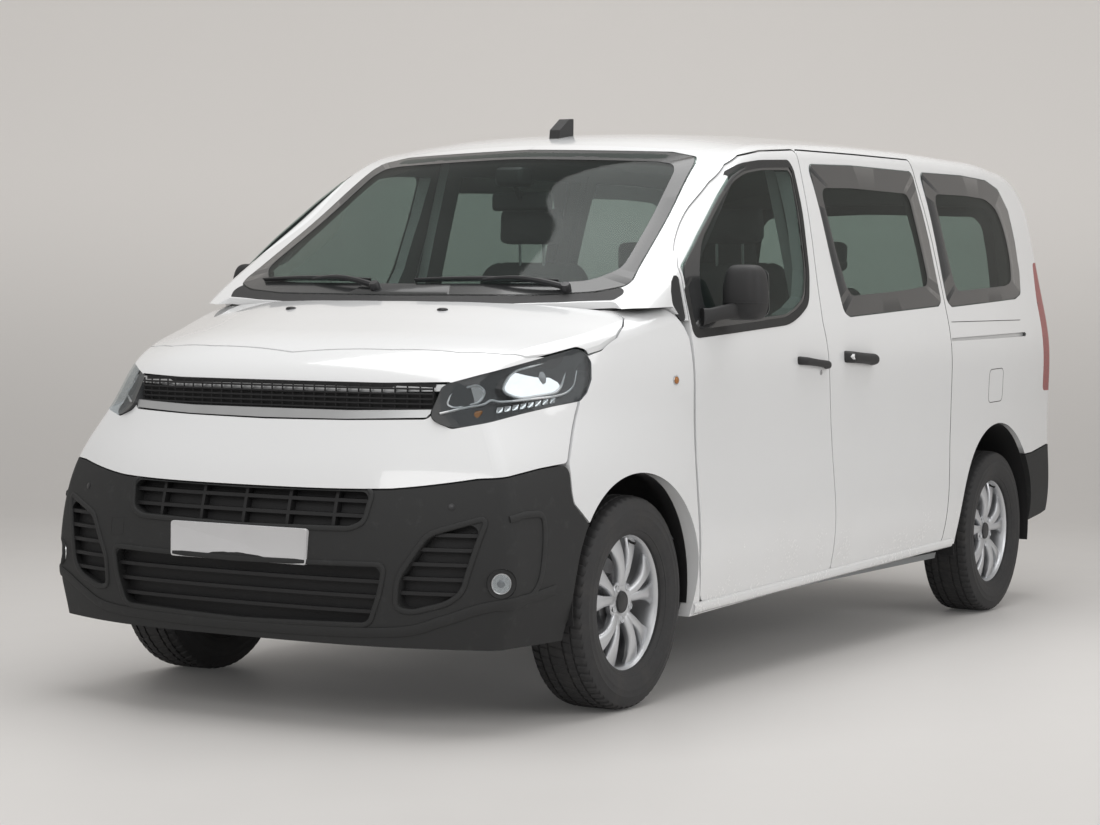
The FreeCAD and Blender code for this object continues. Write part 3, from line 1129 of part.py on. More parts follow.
def main():
    """Build every node and write it."""
    os.makedirs("parts", exist_ok=True)
    forms = make_forms()
    wall = forms["cabin_wall"]
    door, door_glass, slide, slide_glass = make_doors(left_of(wall, HALF * SIDE_INNER_SHARE))
    shell = make_shell(wall)
    nose = make_nose(forms)
    pillar = make_pillar(forms["cabin_near"])
    write_pair("body_side", Part.makeCompound([shell["side"], pillar]))
    write("roof_panel", shell["roof"])
    write("windscreen_glass", shell["windscreen"])
    write("tailgate_panel", shell["gate"])
    write("tailgate_glass", shell["rear_glass"])
    write("rear_bumper", shell["rear_bumper"])
    write("tail_lamps", *pair([shell["tail_lamp"]]))
    rollers = [largest(forms["cabin_near"].common(block(shares))) for shares in ROLLER_BLOCK_SHARES]
    write("sliding_doors", *pair([slide, make_handle(SLIDE_HANDLE_SHARES, slide)] + rollers))
    write("side_glass", *pair([slide_glass, shell["quarter_glass"]]))
    write_pair("front_door_panel", door)
    write_pair("front_door_glass", door_glass)
    mirror = make_mirror().cut(door).cut(door_glass)
    write_pair("front_door_trim", Part.makeCompound([largest(mirror), make_handle(HANDLE_SHARES, door)]))
    antenna = side_prism(ANTENNA_SHARES, SHEET, 0.0, -ANTENNA_HALF, ANTENNA_HALF).cut(shell["roof"])
    write("exterior_trim", shell["cowl"], *pair([shell["sail"]]), highest(antenna))
    write("bonnet", nose["bonnet"])
    write("front_fascia", *nose["fascia"])
    write("front_bumper", nose["front_bumper"])
    write("front_fenders", *pair([nose["fender"]]))
    write("headlamp_lenses", *pair([nose["lens"]]))
    write("headlamp_housings", *pair([nose["housing"]]))
    write("fog_lamps", *pair([nose["fog"]]))
    write("intake_mesh", *nose["mesh"])
    write("grille_bars", *nose["bars"])
    write("front_frame", make_front_frame(forms["nose_inner"]))
    write("floor_pan", make_floor(forms))
    plate = foremost(block(PLATE_BLOCK_SHARES, True).cut(nose["front_bumper"]))
    rear_plate = foremost(block(REAR_PLATE_BLOCK_SHARES, True).cut(shell["gate"]), -1)
    write("number_plate_front", moved(plate, RUNNING_GAP, 0, 0))
    write("number_plate_rear", moved(rear_plate, -RUNNING_GAP, 0, 0))
    half = HALF * FIREWALL_Y_SHARE
    write("dashboard", side_prism(DASH_SHARES, PANEL_CORNER, 0.0, -half, half).fuse(make_steering()))
    seat = [HALF * y for y in FRONT_SEAT_Y_SHARES]
    write("front_seats", *pair([make_seat(FRONT_SEAT_SHARES, *seat)]))
    bench = [HALF * y for y in BENCH_Y_SHARES]
    write("rear_seats", make_seat(BENCH_SHARES, -bench[1], bench[1]))
    write("engine_block", side_prism(ENGINE_SHARES, PANEL_CORNER, 0.0, -HALF * ENGINE_Y_SHARE,
                                     HALF * ENGINE_Y_SHARE))
    write("front_subframe", make_subframe())
    write("fuel_tank", side_prism(TANK_SHARES, PANEL_CORNER, 0.0, -HALF * TANK_Y_SHARE,
                                  HALF * TANK_Y_SHARE))
    write("rear_axle", make_rear_axle())
    write_pair("knuckle", make_knuckle())
    tyre = make_tyre()
    rim = make_rim()
    for end, x in (("front", FRONT_AXLE_X), ("rear", REAR_AXLE_X)):
        write_pair(end + "_tyre", moved(tyre, x, WHEEL_Y, TYRE_RADIUS))
        write_pair(end + "_wheel", moved(rim, x, WHEEL_Y, TYRE_RADIUS))


def highest(shape):
    """The solid of a shape whose middle is highest."""
    return max(shape.Solids, key=lambda solid: solid.CenterOfMass.z)


def foremost(shape, sign=1):
    """The solid of a shape whose middle is foremost, or rearmost."""
    return max(shape.Solids, key=lambda solid: sign * solid.CenterOfMass.x)


def make_subframe():
    """Frame under the engine, between the side rails, with its lower arms."""
    bars = block(SUBFRAME_BAR_BLOCK_SHARES, True)
    arm = front_prism(ARM_FACE_SHARES, at_x(ARM_BACK_SHARE), at_x(ARM_FRONT_SHARE), ARM_CORNER)
    arm = arm.common(top_prism(ARM_TOP_SHARES, 0, TYRE_RADIUS * 2, ARM_CORNER))
    ball = rod(at(ARM_BALL_SHARES), at(ARM_BALL_TOP_SHARES), ARM_RADIUS)
    left = [block(SUBFRAME_BLOCK_SHARES), block(SUBFRAME_TIE_BLOCK_SHARES), arm, ball]
    return largest(bars.fuse(pair(left)))


def make_rear_axle():
    """Beam between the rear wheels, with its spindles and spring seats."""
    half = WHEEL_Y - BRAKE_DISC_BACK - CLEARANCE
    beam = cylinder_y(AXLE_RADIUS, REAR_AXLE_X, TYRE_RADIUS, -half, half)
    spindles = cylinder_y(SPINDLE_RADIUS, REAR_AXLE_X, TYRE_RADIUS, -WHEEL_Y - SPINDLE_OUT,
                          WHEEL_Y + SPINDLE_OUT)
    seats = pair([block(SPRING_BLOCK_SHARES)])
    return beam.fuse([spindles] + seats)


ANTENNA_HALF = 22.0
ENGINE_Y_SHARE = 0.4167
TANK_Y_SHARE = 0.4375
SPRING_BLOCK_SHARES = (-0.67050, -0.65033, 0.50000, 0.58333, 0.16625, 0.18625)


if __name__ == "__main__":
    main()
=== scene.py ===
"""Looks of the minibus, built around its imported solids. Metres, x forward, y left, z up."""

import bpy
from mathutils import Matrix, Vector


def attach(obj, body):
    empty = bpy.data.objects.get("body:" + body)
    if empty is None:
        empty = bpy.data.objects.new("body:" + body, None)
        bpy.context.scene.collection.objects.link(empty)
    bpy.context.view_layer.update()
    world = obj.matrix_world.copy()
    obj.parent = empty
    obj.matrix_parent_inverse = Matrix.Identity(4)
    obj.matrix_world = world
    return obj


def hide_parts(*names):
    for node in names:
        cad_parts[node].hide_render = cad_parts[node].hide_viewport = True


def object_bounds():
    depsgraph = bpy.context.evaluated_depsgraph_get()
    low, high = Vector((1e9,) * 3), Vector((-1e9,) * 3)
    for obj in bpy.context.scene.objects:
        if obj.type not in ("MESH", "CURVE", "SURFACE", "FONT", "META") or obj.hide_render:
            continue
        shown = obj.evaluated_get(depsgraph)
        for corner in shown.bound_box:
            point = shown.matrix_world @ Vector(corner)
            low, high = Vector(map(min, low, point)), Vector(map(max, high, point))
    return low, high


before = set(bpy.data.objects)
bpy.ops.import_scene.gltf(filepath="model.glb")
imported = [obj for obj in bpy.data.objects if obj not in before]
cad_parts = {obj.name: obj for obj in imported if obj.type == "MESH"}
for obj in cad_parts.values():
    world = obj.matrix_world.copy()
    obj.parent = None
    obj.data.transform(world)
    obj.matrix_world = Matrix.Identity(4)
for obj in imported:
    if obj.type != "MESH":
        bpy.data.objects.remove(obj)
CAD_BOX = [list(corner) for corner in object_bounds()]

import logging
import math
from dataclasses import dataclass
from enum import Enum
from typing import Any, Callable, Optional, Sequence, Union

import bmesh
import bpy
import numpy as np
from mathutils import Matrix, Vector
from mathutils.bvhtree import BVHTree

LOG = logging.getLogger("minibus")
AXLE_X = 1.5985
REAR_AXLE_X = -1.6765
WHEEL_Y = 0.8135
WHEEL_Z = 0.345
Number = Union[int, float, "Sock"]
Colour = tuple[float, float, float]
Point2 = tuple[float, float]
Spot = tuple[Vector, Vector]
Look = Callable[[float, float], Optional[Spot]]


class Body(Enum):
    """The moving bodies that pieces ride on."""

    ROOT = "root"
    BONNET = "bonnet"
    TAILGATE = "tailgate"
    DOOR_LEFT = "front_door_left"
    DOOR_RIGHT = "front_door_right"
    FRONT_WHEEL_LEFT = "front_wheel_left"
    FRONT_WHEEL_RIGHT = "front_wheel_right"
    REAR_WHEEL_LEFT = "rear_wheel_left"
    REAR_WHEEL_RIGHT = "rear_wheel_right"


class Side(Enum):
    """The two sides of the vehicle, by the sign of y."""

    LEFT = 1
    RIGHT = -1

    @property
    def word(self) -> str:
        """The side's name in piece names."""
        return self.name.lower()

    @property
    def door(self) -> Body:
        """The body of the front door on this side."""
        return Body.DOOR_LEFT if self is Side.LEFT else Body.DOOR_RIGHT


class Sock:
    """A value or colour inside a material; Python's operators on values add Math nodes."""

    def __init__(self, shader: "Shader", socket: Any) -> None:
        """Keeps the shader and the socket that it wraps."""
        self.shader = shader
        self.socket = socket

    def _with(self, operation: str, other: Number, swap: bool = False) -> "Sock":
        """Adds one Math node.

        Args:
            operation: The Math node's operation.
            other: The second value.
            swap: Whether the other value comes first.

        Returns:
            The node's result.
        """
        pair = (other, self) if swap else (self, other)
        return self.shader.node("ShaderNodeMath", {"operation": operation}, {0: pair[0], 1: pair[1]})

    def __add__(self, other: Number) -> "Sock":
        """Sum."""
        return self._with("ADD", other)

    def __radd__(self, other: Number) -> "Sock":
        """Sum with the other value first."""
        return self._with("ADD", other, True)

    def __sub__(self, other: Number) -> "Sock":
        """Difference."""
        return self._with("SUBTRACT", other)

    def __rsub__(self, other: Number) -> "Sock":
        """Difference from the other value."""
        return self._with("SUBTRACT", other, True)

    def __mul__(self, other: Number) -> "Sock":
        """Product."""
        return self._with("MULTIPLY", other)

    def __rmul__(self, other: Number) -> "Sock":
        """Product with the other value first."""
        return self._with("MULTIPLY", other, True)

    def __truediv__(self, other: Number) -> "Sock":
        """Quotient."""
        return self._with("DIVIDE", other)

    def __rtruediv__(self, other: Number) -> "Sock":
        """The other value divided by this one."""
        return self._with("DIVIDE", other, True)

    def __pow__(self, other: Number) -> "Sock":
        """Power."""
        return self._with("POWER", other)

    def __gt__(self, other: Number) -> "Sock":
        """1 where this value is larger."""
        return self._with("GREATER_THAN", other)

    def __lt__(self, other: Number) -> "Sock":
        """1 where this value is smaller."""
        return self._with("LESS_THAN", other)

    def lower(self, other: Number) -> "Sock":
        """The smaller of two values."""
        return self._with("MINIMUM", other)

    def higher(self, other: Number) -> "Sock":
        """The larger of two values."""
        return self._with("MAXIMUM", other)

    def sine(self) -> "Sock":
        """The value's sine."""
        return self.shader.node("ShaderNodeMath", {"operation": "SINE"}, {0: self})

    def step(self, low: float, high: float) -> "Sock":
        """Smooth change from 0 at low to 1 at high.

        Args:
            low: The value where it starts.
            high: The value where it ends.

        Returns:
            The share.
        """
        return self.shader.node(
            "ShaderNodeMapRange",
            {"interpolation_type": "SMOOTHSTEP"},
            {"Value": self, "From Min": low, "From Max": high, "To Min": 0.0, "To Max": 1.0},
        )


class Shader:
    """One procedural material under construction."""

    def __init__(self, name: str) -> None:
        """Starts a material with an empty tree.

        Args:
            name: The material's name.
        """
        self.material = bpy.data.materials.new(name)
        self.material.use_nodes = True
        self.tree = self.material.node_tree
        self.tree.nodes.clear()
        self._places: dict[str, Sock] = {}

    def node(
        self, kind: str, settings: dict[str, Any], values: dict[Any, Any], out: Union[int, str] = 0
    ) -> Sock:
        """Adds a node.

        Args:
            kind: The node's type.
            settings: Its settings, set first; stops gives a ramp's stops.
            values: The values or links of its sockets, by name or number.
            out: The output to give back.

        Returns:
            The chosen output.
        """
        made = self.tree.nodes.new(kind)
        for key, value in settings.items():
            if key == "stops":
                ramp = made.color_ramp
                while len(ramp.elements) > 1:
                    ramp.elements.remove(ramp.elements[0])
                for i, (at, colour) in enumerate(value):
                    element = ramp.elements[0] if i == 0 else ramp.elements.new(at)
                    element.position = at
                    element.color = (*colour, 1.0)
            else:
                setattr(made, key, value)
        for key, value in values.items():
            target = made.inputs[key]
            if isinstance(value, Sock):
                self.tree.links.new(value.socket, target)
            elif isinstance(value, tuple) and len(value) == 3 and target.type == "RGBA":
                target.default_value = (*value, 1.0)
            else:
                target.default_value = value
        return Sock(self, made.outputs[out])

    def place(self) -> Sock:
        """The point on the piece, in its own resting frame."""
        if "place" not in self._places:
            self._places["place"] = self.node("ShaderNodeTexCoord", {}, {}, "Object")
        return self._places["place"]

    def facing(self) -> Sock:
        """The surface's direction, in the piece's own frame."""
        if "facing" not in self._places:
            self._places["facing"] = self.node("ShaderNodeTexCoord", {}, {}, "Normal")
        return self._places["facing"]

    def part(self, vector: Sock, axis: str) -> Sock:
        """One coordinate of a vector, by its letter."""
        return self.node("ShaderNodeSeparateXYZ", {}, {0: vector}, axis)

    def stretched(self, x: float, y: float, z: float) -> Sock:
        """The point, stretched by a share along each axis."""
        return self.node("ShaderNodeMapping", {}, {"Vector": self.place(), "Scale": (x, y, z)})

    def noise(
        self, scale: float, detail: float = 3.0, rough: float = 0.5, where: Optional[Sock] = None
    ) -> Sock:
        """Noise from 0 to 1.

        Args:
            scale: Its scale, for each metre.
            detail: Its octaves.
            rough: How strong the fine ones are.
            where: The point, if not the piece's own.

        Returns:
            The value.
        """
        values = {"Vector": where or self.place(), "Scale": scale, "Detail": detail, "Roughness": rough}
        return self.node("ShaderNodeTexNoise", {}, values)

    def cells(self, scale: float, where: Optional[Sock] = None) -> Sock:
        """Distance to the nearest cell centre, from 0."""
        return self.node("ShaderNodeTexVoronoi", {}, {"Vector": where or self.place(), "Scale": scale})

    def mix(self, share: Number, first: Any, second: Any) -> Sock:
        """Mixes two colours by a share."""
        settings = {"data_type": "RGBA", "clamp_factor": True}
        return self.node("ShaderNodeMix", settings, {0: share, 6: first, 7: second}, 2)

    def bump(self, height: Sock, depth: float, strength: float = 1.0, base: Optional[Sock] = None) -> Sock:
        """Turns a height into a surface direction.

        Args:
            height: The height from 0 to 1.
            depth: What 1 stands for, in metres.
            strength: How much of it shows.
            base: A direction to add to.

        Returns:
            The direction.
        """
        values: dict[Any, Any] = {"Height": height, "Distance": depth, "Strength": strength}
        if base is not None:
            values["Normal"] = base
        return self.node("ShaderNodeBump", {}, values)

    def finish(self, surface: Sock) -> bpy.types.Material:
        """Links the surface to the output and gives back the material."""
        output = self.tree.nodes.new("ShaderNodeOutputMaterial")
        self.tree.links.new(surface.socket, output.inputs["Surface"])
        return self.material

    def skin(self, base: Any, rough: Any, **values: Any) -> Sock:
        """A Principled surface.

        Args:
            base: Its colour.
            rough: Its roughness.
            **values: Its other sockets, with _ for each space.

        Returns:
            The surface.
        """
        sockets = {"Base Color": base, "Roughness": rough}
        sockets.update({key.replace("_", " "): value for key, value in values.items()})
        return self.node("ShaderNodeBsdfPrincipled", {}, sockets)


@dataclass(frozen=True)
class Finish:
    """A finish with a name; each kind builds its own material once."""

    name: str
    slot: str

    def build(self) -> bpy.types.Material:
        """Makes the material's nodes."""
        raise NotImplementedError

    def material(self) -> bpy.types.Material:
        """The finish's material, made when first asked for."""
        found = bpy.data.materials.get(self.name)
        return found if found is not None else self.build()


@dataclass(frozen=True)
class GlossPaint(Finish):
    """Solid body paint under clear lacquer, with trim on the sides that face the cabin."""

    colour: Colour = (0.80, 0.81, 0.82)
    dust: Colour = (0.62, 0.60, 0.57)
    inside: Colour = (0.13, 0.135, 0.135)
    peel: float = 0.00006
    lined: bool = False
    heart: tuple[float, float, float] = (-0.3, 0.0, 1.05)

    def build(self) -> bpy.types.Material:
        """Makes the material's nodes."""
        s = Shader(self.name)
        place = s.place()
        z = s.part(place, "Z")
        cloud = s.noise(1.6, 3.0)
        low = 1.0 - z.step(0.25, 0.75)
        specks = s.noise(90.0, 2.0).step(0.52, 0.72)
        grime = low * (0.10 + specks * 0.22) * s.noise(7.0, 3.0).step(0.3, 0.75)
        shade = s.mix(cloud * 0.5, self.colour, tuple(c * 0.975 for c in self.colour))
        colour = s.mix(grime, shade, self.dust)
        rough = 0.16 + grime * 0.9 + s.noise(35.0, 3.0) * 0.05
        coat = 1.0 - grime.lower(0.9)
        height = s.noise(260.0, 2.0) * 0.6 + s.noise(900.0, 1.0) * 0.4
        if self.lined:
            facing = s.facing()
            away = s.node(
                "ShaderNodeVectorMath", {"operation": "SUBTRACT"}, {0: place, 1: self.heart}, "Vector"
            )
            unit = s.node("ShaderNodeVectorMath", {"operation": "NORMALIZE"}, {0: away}, "Vector")
            turn = s.node("ShaderNodeVectorMath", {"operation": "DOT_PRODUCT"}, {0: unit, 1: facing}, "Value")
            cabin = 1.0 - turn.step(0.02, 0.12)
            high = z.step(1.14, 1.18)
            low_side = (z < 1.16) * (1.0 - turn.step(-0.5, -0.4))
            trim = (cabin * high).higher(low_side)
            grain = s.noise(420.0, 2.0)
            lining = s.mix(grain * 0.6, self.inside, tuple(c * 1.6 for c in self.inside))
            colour = s.mix(trim, colour, lining)
            rough = rough * (1.0 - trim) + trim * 0.75
            coat = coat * (1.0 - trim)
        normal = s.bump(height, self.peel)
        surface = s.skin(
            colour, rough, Normal=normal, Coat_Weight=coat, Coat_Roughness=0.03, Coat_IOR=1.5, IOR=1.45
        )
        return s.finish(surface)


@dataclass(frozen=True)
class Grained(Finish):
    """Moulded plastic with a fine leather-like grain, paler where it is scuffed."""

    colour: Colour = (0.017, 0.0175, 0.018)
    rough: float = 0.62
    grain: float = 900.0
    depth: float = 0.00022
    scuff: float = 0.35

    def build(self) -> bpy.types.Material:
        """Makes the material's nodes."""
        s = Shader(self.name)
        grain = s.cells(self.grain)
        cloud = s.noise(2.3, 4.0)
        worn = s.noise(24.0, 5.0, 0.65).step(0.56, 0.74) * self.scuff
        base = s.mix(cloud, tuple(c * 0.86 for c in self.colour), tuple(c * 1.18 for c in self.colour))
        colour = s.mix(worn, base, tuple(min(1.0, c * 1.5 + 0.012) for c in self.colour))
        rough = self.rough + cloud * 0.08 + grain * 0.10 - worn * 0.12
        height = grain * 0.7 + s.noise(self.grain * 2.2, 2.0) * 0.3
        return s.finish(s.skin(colour, rough, Normal=s.bump(height, self.depth, 0.8)))


@dataclass(frozen=True)
class SmoothPlastic(Finish):
    """Plain plastic with faint mould flow and fine scratches."""

    colour: Colour = (0.018, 0.018, 0.020)
    rough: float = 0.32
    coat: float = 0.0

    def build(self) -> bpy.types.Material:
        """Makes the material's nodes."""
        s = Shader(self.name)
        flow = s.noise(5.0, 3.0, 0.5, s.stretched(1.0, 1.0, 3.0))
        scratch = s.noise(60.0, 4.0, 0.7, s.stretched(1.0, 1.0, 9.0)).step(0.6, 0.8)
        colour = s.mix(
            flow, tuple(c * 0.85 for c in self.colour), tuple(c * 1.2 + 0.001 for c in self.colour)
        )
        rough = self.rough + flow * 0.07 + scratch * 0.10
        normal = s.bump(s.noise(350.0, 2.0), 0.00004)
        return s.finish(s.skin(colour, rough, Normal=normal, Coat_Weight=self.coat, Coat_Roughness=0.05))


@dataclass(frozen=True)
class Glazing(Finish):
    """Tinted safety glass: clear when seen square on, mirror-like at a slant, with faint dust."""

    tint: Colour = (0.80, 0.87, 0.845)
    dust: float = 0.02

    def build(self) -> bpy.types.Material:
        """Makes the material's nodes."""
        s = Shader(self.name)
        smear = s.noise(3.0, 4.0, 0.6, s.stretched(1.0, 1.0, 2.0))
        dust = smear.step(0.45, 0.85) * self.dust
        colour = s.mix(dust, tuple(c * 0.03 for c in self.tint), (0.45, 0.46, 0.46))
        pane = s.skin(colour, 0.02 + smear * 0.03 + dust, IOR=1.6)
        through = s.node("ShaderNodeBsdfTransparent", {}, {"Color": self.tint})
        slant = s.node("ShaderNodeLayerWeight", {}, {"Blend": 0.35}, "Facing")
        share = 0.88 - dust - slant * slant * 0.75
        return s.finish(s.node("ShaderNodeMixShader", {}, {0: share, 1: pane, 2: through}))


@dataclass(frozen=True)
class Metal(Finish):
    """Metal with fine flow, brushed or cast."""

    colour: Colour = (0.62, 0.63, 0.65)
    rough: float = 0.28
    grain: float = 300.0
    depth: float = 0.00004
    metallic: float = 1.0
    soot: float = 0.0

    def build(self) -> bpy.types.Material:
        """Makes the material's nodes."""
        s = Shader(self.name)
        cloud = s.noise(9.0, 4.0)
        grain = s.noise(self.grain, 3.0, 0.6)
        dirt = s.noise(22.0, 5.0, 0.6).step(0.45, 0.75) * self.soot
        base = s.mix(
            cloud, tuple(c * 0.92 for c in self.colour), tuple(min(1.0, c * 1.05) for c in self.colour)
        )
        colour = s.mix(dirt, base, (0.06, 0.055, 0.05))
        rough = self.rough + cloud * 0.08 + grain * 0.05 + dirt * 0.4
        metallic = self.metallic - dirt * self.metallic
        return s.finish(s.skin(colour, rough, Metallic=metallic, Normal=s.bump(grain, self.depth)))


@dataclass(frozen=True)
class WheelPaint(Finish):
    """Silver wheel paint with metal flakes under lacquer and patches of brake dust."""

    colour: Colour = (0.66, 0.67, 0.68)

    def build(self) -> bpy.types.Material:
        """Makes the material's nodes."""
        s = Shader(self.name)
        flake = s.cells(2600.0)
        dust = s.noise(30.0, 4.0).step(0.5, 0.8) * 0.12
        base = s.mix(flake, self.colour, tuple(c * 0.80 for c in self.colour))
        colour = s.mix(dust, base, (0.20, 0.18, 0.16))
        rough = 0.34 + flake * 0.10 + dust
        surface = s.skin(
            colour, rough, Metallic=0.55, Normal=s.bump(flake, 0.00003), Coat_Weight=0.7, Coat_Roughness=0.06
        )
        return s.finish(surface)


@dataclass(frozen=True)
class Rubber(Finish):
    """Tyre or seal rubber with fine ribs and road dust."""

    colour: Colour = (0.022, 0.022, 0.023)
    dust: float = 0.22

    def build(self) -> bpy.types.Material:
        """Makes the material's nodes."""
        s = Shader(self.name)
        cloud = s.noise(11.0, 5.0, 0.6)
        dust = cloud.step(0.45, 0.8) * self.dust
        base = s.mix(s.noise(60.0, 3.0), self.colour, tuple(c * 1.6 for c in self.colour))
        colour = s.mix(dust, base, (0.13, 0.12, 0.11))
        rough = 0.62 + dust * 0.8 + s.noise(160.0, 2.0) * 0.12
        height = s.noise(700.0, 3.0)
        return s.finish(s.skin(colour, rough, Normal=s.bump(height, 0.00012)))


@dataclass(frozen=True)
class Cloth(Finish):
    """Woven seat cloth with warp and weft, a fleck and a soft sheen."""

    colour: Colour = (0.030, 0.032, 0.036)
    fleck: Colour = (0.10, 0.105, 0.11)
    threads: float = 2400.0

    def build(self) -> bpy.types.Material:
        """Makes the material's nodes."""
        s = Shader(self.name)
        place = s.place()
        across = (s.part(place, "Y") * self.threads).sine()
        along = ((s.part(place, "Z") + s.part(place, "X") * 0.7) * self.threads).sine()
        weave = (across * along) * 0.5 + 0.5
        fleck = s.noise(500.0, 2.0).step(0.62, 0.72) * 0.5
        base = s.mix(s.noise(6.0, 3.0), self.colour, tuple(c * 1.5 for c in self.colour))
        colour = s.mix(fleck, base, self.fleck)
        rough = 0.85 + weave * 0.10
        surface = s.skin(colour, rough, Normal=s.bump(weave, 0.0004), Sheen_Weight=0.25, Sheen_Roughness=0.5)
        return s.finish(surface)


@dataclass(frozen=True)
class LampGlass(Finish):
    """Clear or coloured lamp cover with fine flutes."""

    tint: Colour = (0.93, 0.95, 0.96)
    clear: float = 0.90
    milk: float = 0.06
    flutes: float = 0.0

    def build(self) -> bpy.types.Material:
        """Makes the material's nodes."""
        s = Shader(self.name)
        smear = s.noise(14.0, 3.0)
        height = s.noise(40.0, 2.0)
        if self.flutes:
            height = (s.part(s.place(), "Z") * self.flutes).sine() * 0.5 + 0.5
        colour = s.mix(
            smear, tuple(c * self.milk for c in self.tint), tuple(c * self.milk * 1.3 for c in self.tint)
        )
        rough = 0.03 + smear * 0.05
        cover = s.skin(colour, rough, IOR=1.55, Normal=s.bump(height, 0.0003, 0.5), Coat_Weight=1.0)
        through = s.node("ShaderNodeBsdfTransparent", {}, {"Color": self.tint})
        share = self.clear - smear * 0.05
        return s.finish(s.node("ShaderNodeMixShader", {}, {0: share, 1: cover, 2: through}))


@dataclass(frozen=True)
class PlateSheet(Finish):
    """Blank number plate: pale reflective sheet with fine beads."""

    colour: Colour = (0.60, 0.60, 0.61)

    def build(self) -> bpy.types.Material:
        """Makes the material's nodes."""
        s = Shader(self.name)
        beads = s.cells(1500.0)
        base = s.mix(s.noise(12.0, 3.0), self.colour, tuple(c * 0.93 for c in self.colour))
        normal = s.bump(beads, 0.00005)
        return s.finish(s.skin(base, 0.30 + beads * 0.10, Normal=normal, Coat_Weight=0.4, Coat_Roughness=0.1))


@dataclass(frozen=True)
class StudioFloor(Finish):
    """Seamless pale studio paper for the floor and backdrop, painted paler up the backdrop and with a painted
    glow that grows with height, in place of light falling on it.
    """

    colour: Colour = (0.62, 0.605, 0.59)
    # Painted light: the backdrop's tone, paler than the floor's to stand in for light on the paper.
    wall: Colour = (0.76, 0.745, 0.73)
    # Colour of the painted glow high on the backdrop; the floor glows only faintly.
    glow: Colour = (0.140, 0.132, 0.124)
    rough: float = 0.42

    def build(self) -> bpy.types.Material:
        """Makes the material's nodes."""
        s = Shader(self.name)
        cloud = s.noise(0.35, 3.0)
        # Share of the way up from the floor to the backdrop; it blends in the painted paler tone and the
        # painted glow.
        height = s.part(s.place(), "Z").step(0.0, 2.4)
        colour = s.mix(height, self.colour, self.wall)
        base = s.mix(
            cloud, colour,
            s.mix(height, tuple(c * 0.96 for c in self.colour), tuple(c * 0.96 for c in self.wall)),
        )
        # Painted glow: the paper emits light, faintly on the floor and more up the backdrop.
        glow = s.mix(height, (0.03, 0.03, 0.03), self.glow)
        rough = self.rough + s.noise(3.0, 3.0) * 0.12
        return s.finish(
            s.skin(base, rough, Specular_IOR_Level=0.35, Emission_Color=glow, Emission_Strength=1.0)
        )


class Finishes:
    """The finishes of the minibus, by what they cover."""

    PAINT = GlossPaint("white_paint", "body_white")
    PAINT_LINED = GlossPaint("white_paint_lined", "body_white", lined=True)
    BUMPER = Grained("bumper_plastic", "bumper_grey")
    TRIM = SmoothPlastic("black_trim", "trim_black")
    TRIM_GRAIN = Grained(
        "black_grained_trim", "trim_black", (0.020, 0.020, 0.021), 0.50, 1400.0, 0.00012, 0.2
    )
    GLASS = Glazing("tinted_glass", "glass_green")
    FRIT = SmoothPlastic("black_glass_border", "glass_green", (0.030, 0.031, 0.032), 0.16, 0.4)
    LAMP_COVER = LampGlass("lamp_cover", "lamp_clear")
    LAMP_RED = LampGlass("tail_lamp_cover", "lamp_red", (0.60, 0.035, 0.03), 0.35, 0.6, 900.0)
    LAMP_BODY = SmoothPlastic("lamp_body", "lamp_housing", (0.035, 0.036, 0.038), 0.25)
    REFLECTOR = Metal("lamp_reflector", "satin_chrome", (0.88, 0.89, 0.90), 0.07, 120.0, 0.0003)
    AMBER = LampGlass("amber_cover", "lamp_clear", (0.75, 0.30, 0.06), 0.30, 0.6, 1200.0)
    CHROME = Metal("satin_bar", "satin_chrome", (0.60, 0.61, 0.62), 0.26, 500.0, 0.00003)
    MESH = Grained("black_mesh", "mesh_black", (0.010, 0.010, 0.011), 0.60, 800.0, 0.0002, 0.2)
    PLATE = PlateSheet("plate_sheet", "plate_grey")
    TYRE = Rubber("tyre_rubber", "tyre")
    SEAL = Rubber("seal_rubber", "trim_black", (0.012, 0.012, 0.012), 0.05)
    WHEEL = WheelPaint("wheel_silver", "wheel_silver")
    CLOTH = Cloth("seat_cloth", "seat_cloth")
    INTERIOR = Grained("interior_plastic", "interior_dark", (0.030, 0.031, 0.033), 0.70, 1100.0, 0.0002, 0.2)
    FLOOR = SmoothPlastic("floor_paint", "floor_paint", (0.10, 0.105, 0.11), 0.55)
    UNDER = SmoothPlastic("frame_paint", "frame_paint", (0.018, 0.018, 0.020), 0.5)
    CAST = Metal("cast_metal", "cast_metal", (0.30, 0.30, 0.31), 0.55, 160.0, 0.0004, 0.8, 0.6)
    STEEL = Metal("brake_steel", "cast_metal", (0.42, 0.42, 0.43), 0.35, 700.0, 0.00005, 1.0, 0.25)
    MIRROR = Metal("mirror_glass", "satin_chrome", (0.80, 0.82, 0.83), 0.02, 40.0, 0.00001)
    CABIN_TRIM = Grained("pale_cabin_trim", "interior_dark", (0.13, 0.135, 0.135), 0.75, 900.0, 0.0001, 0.1)


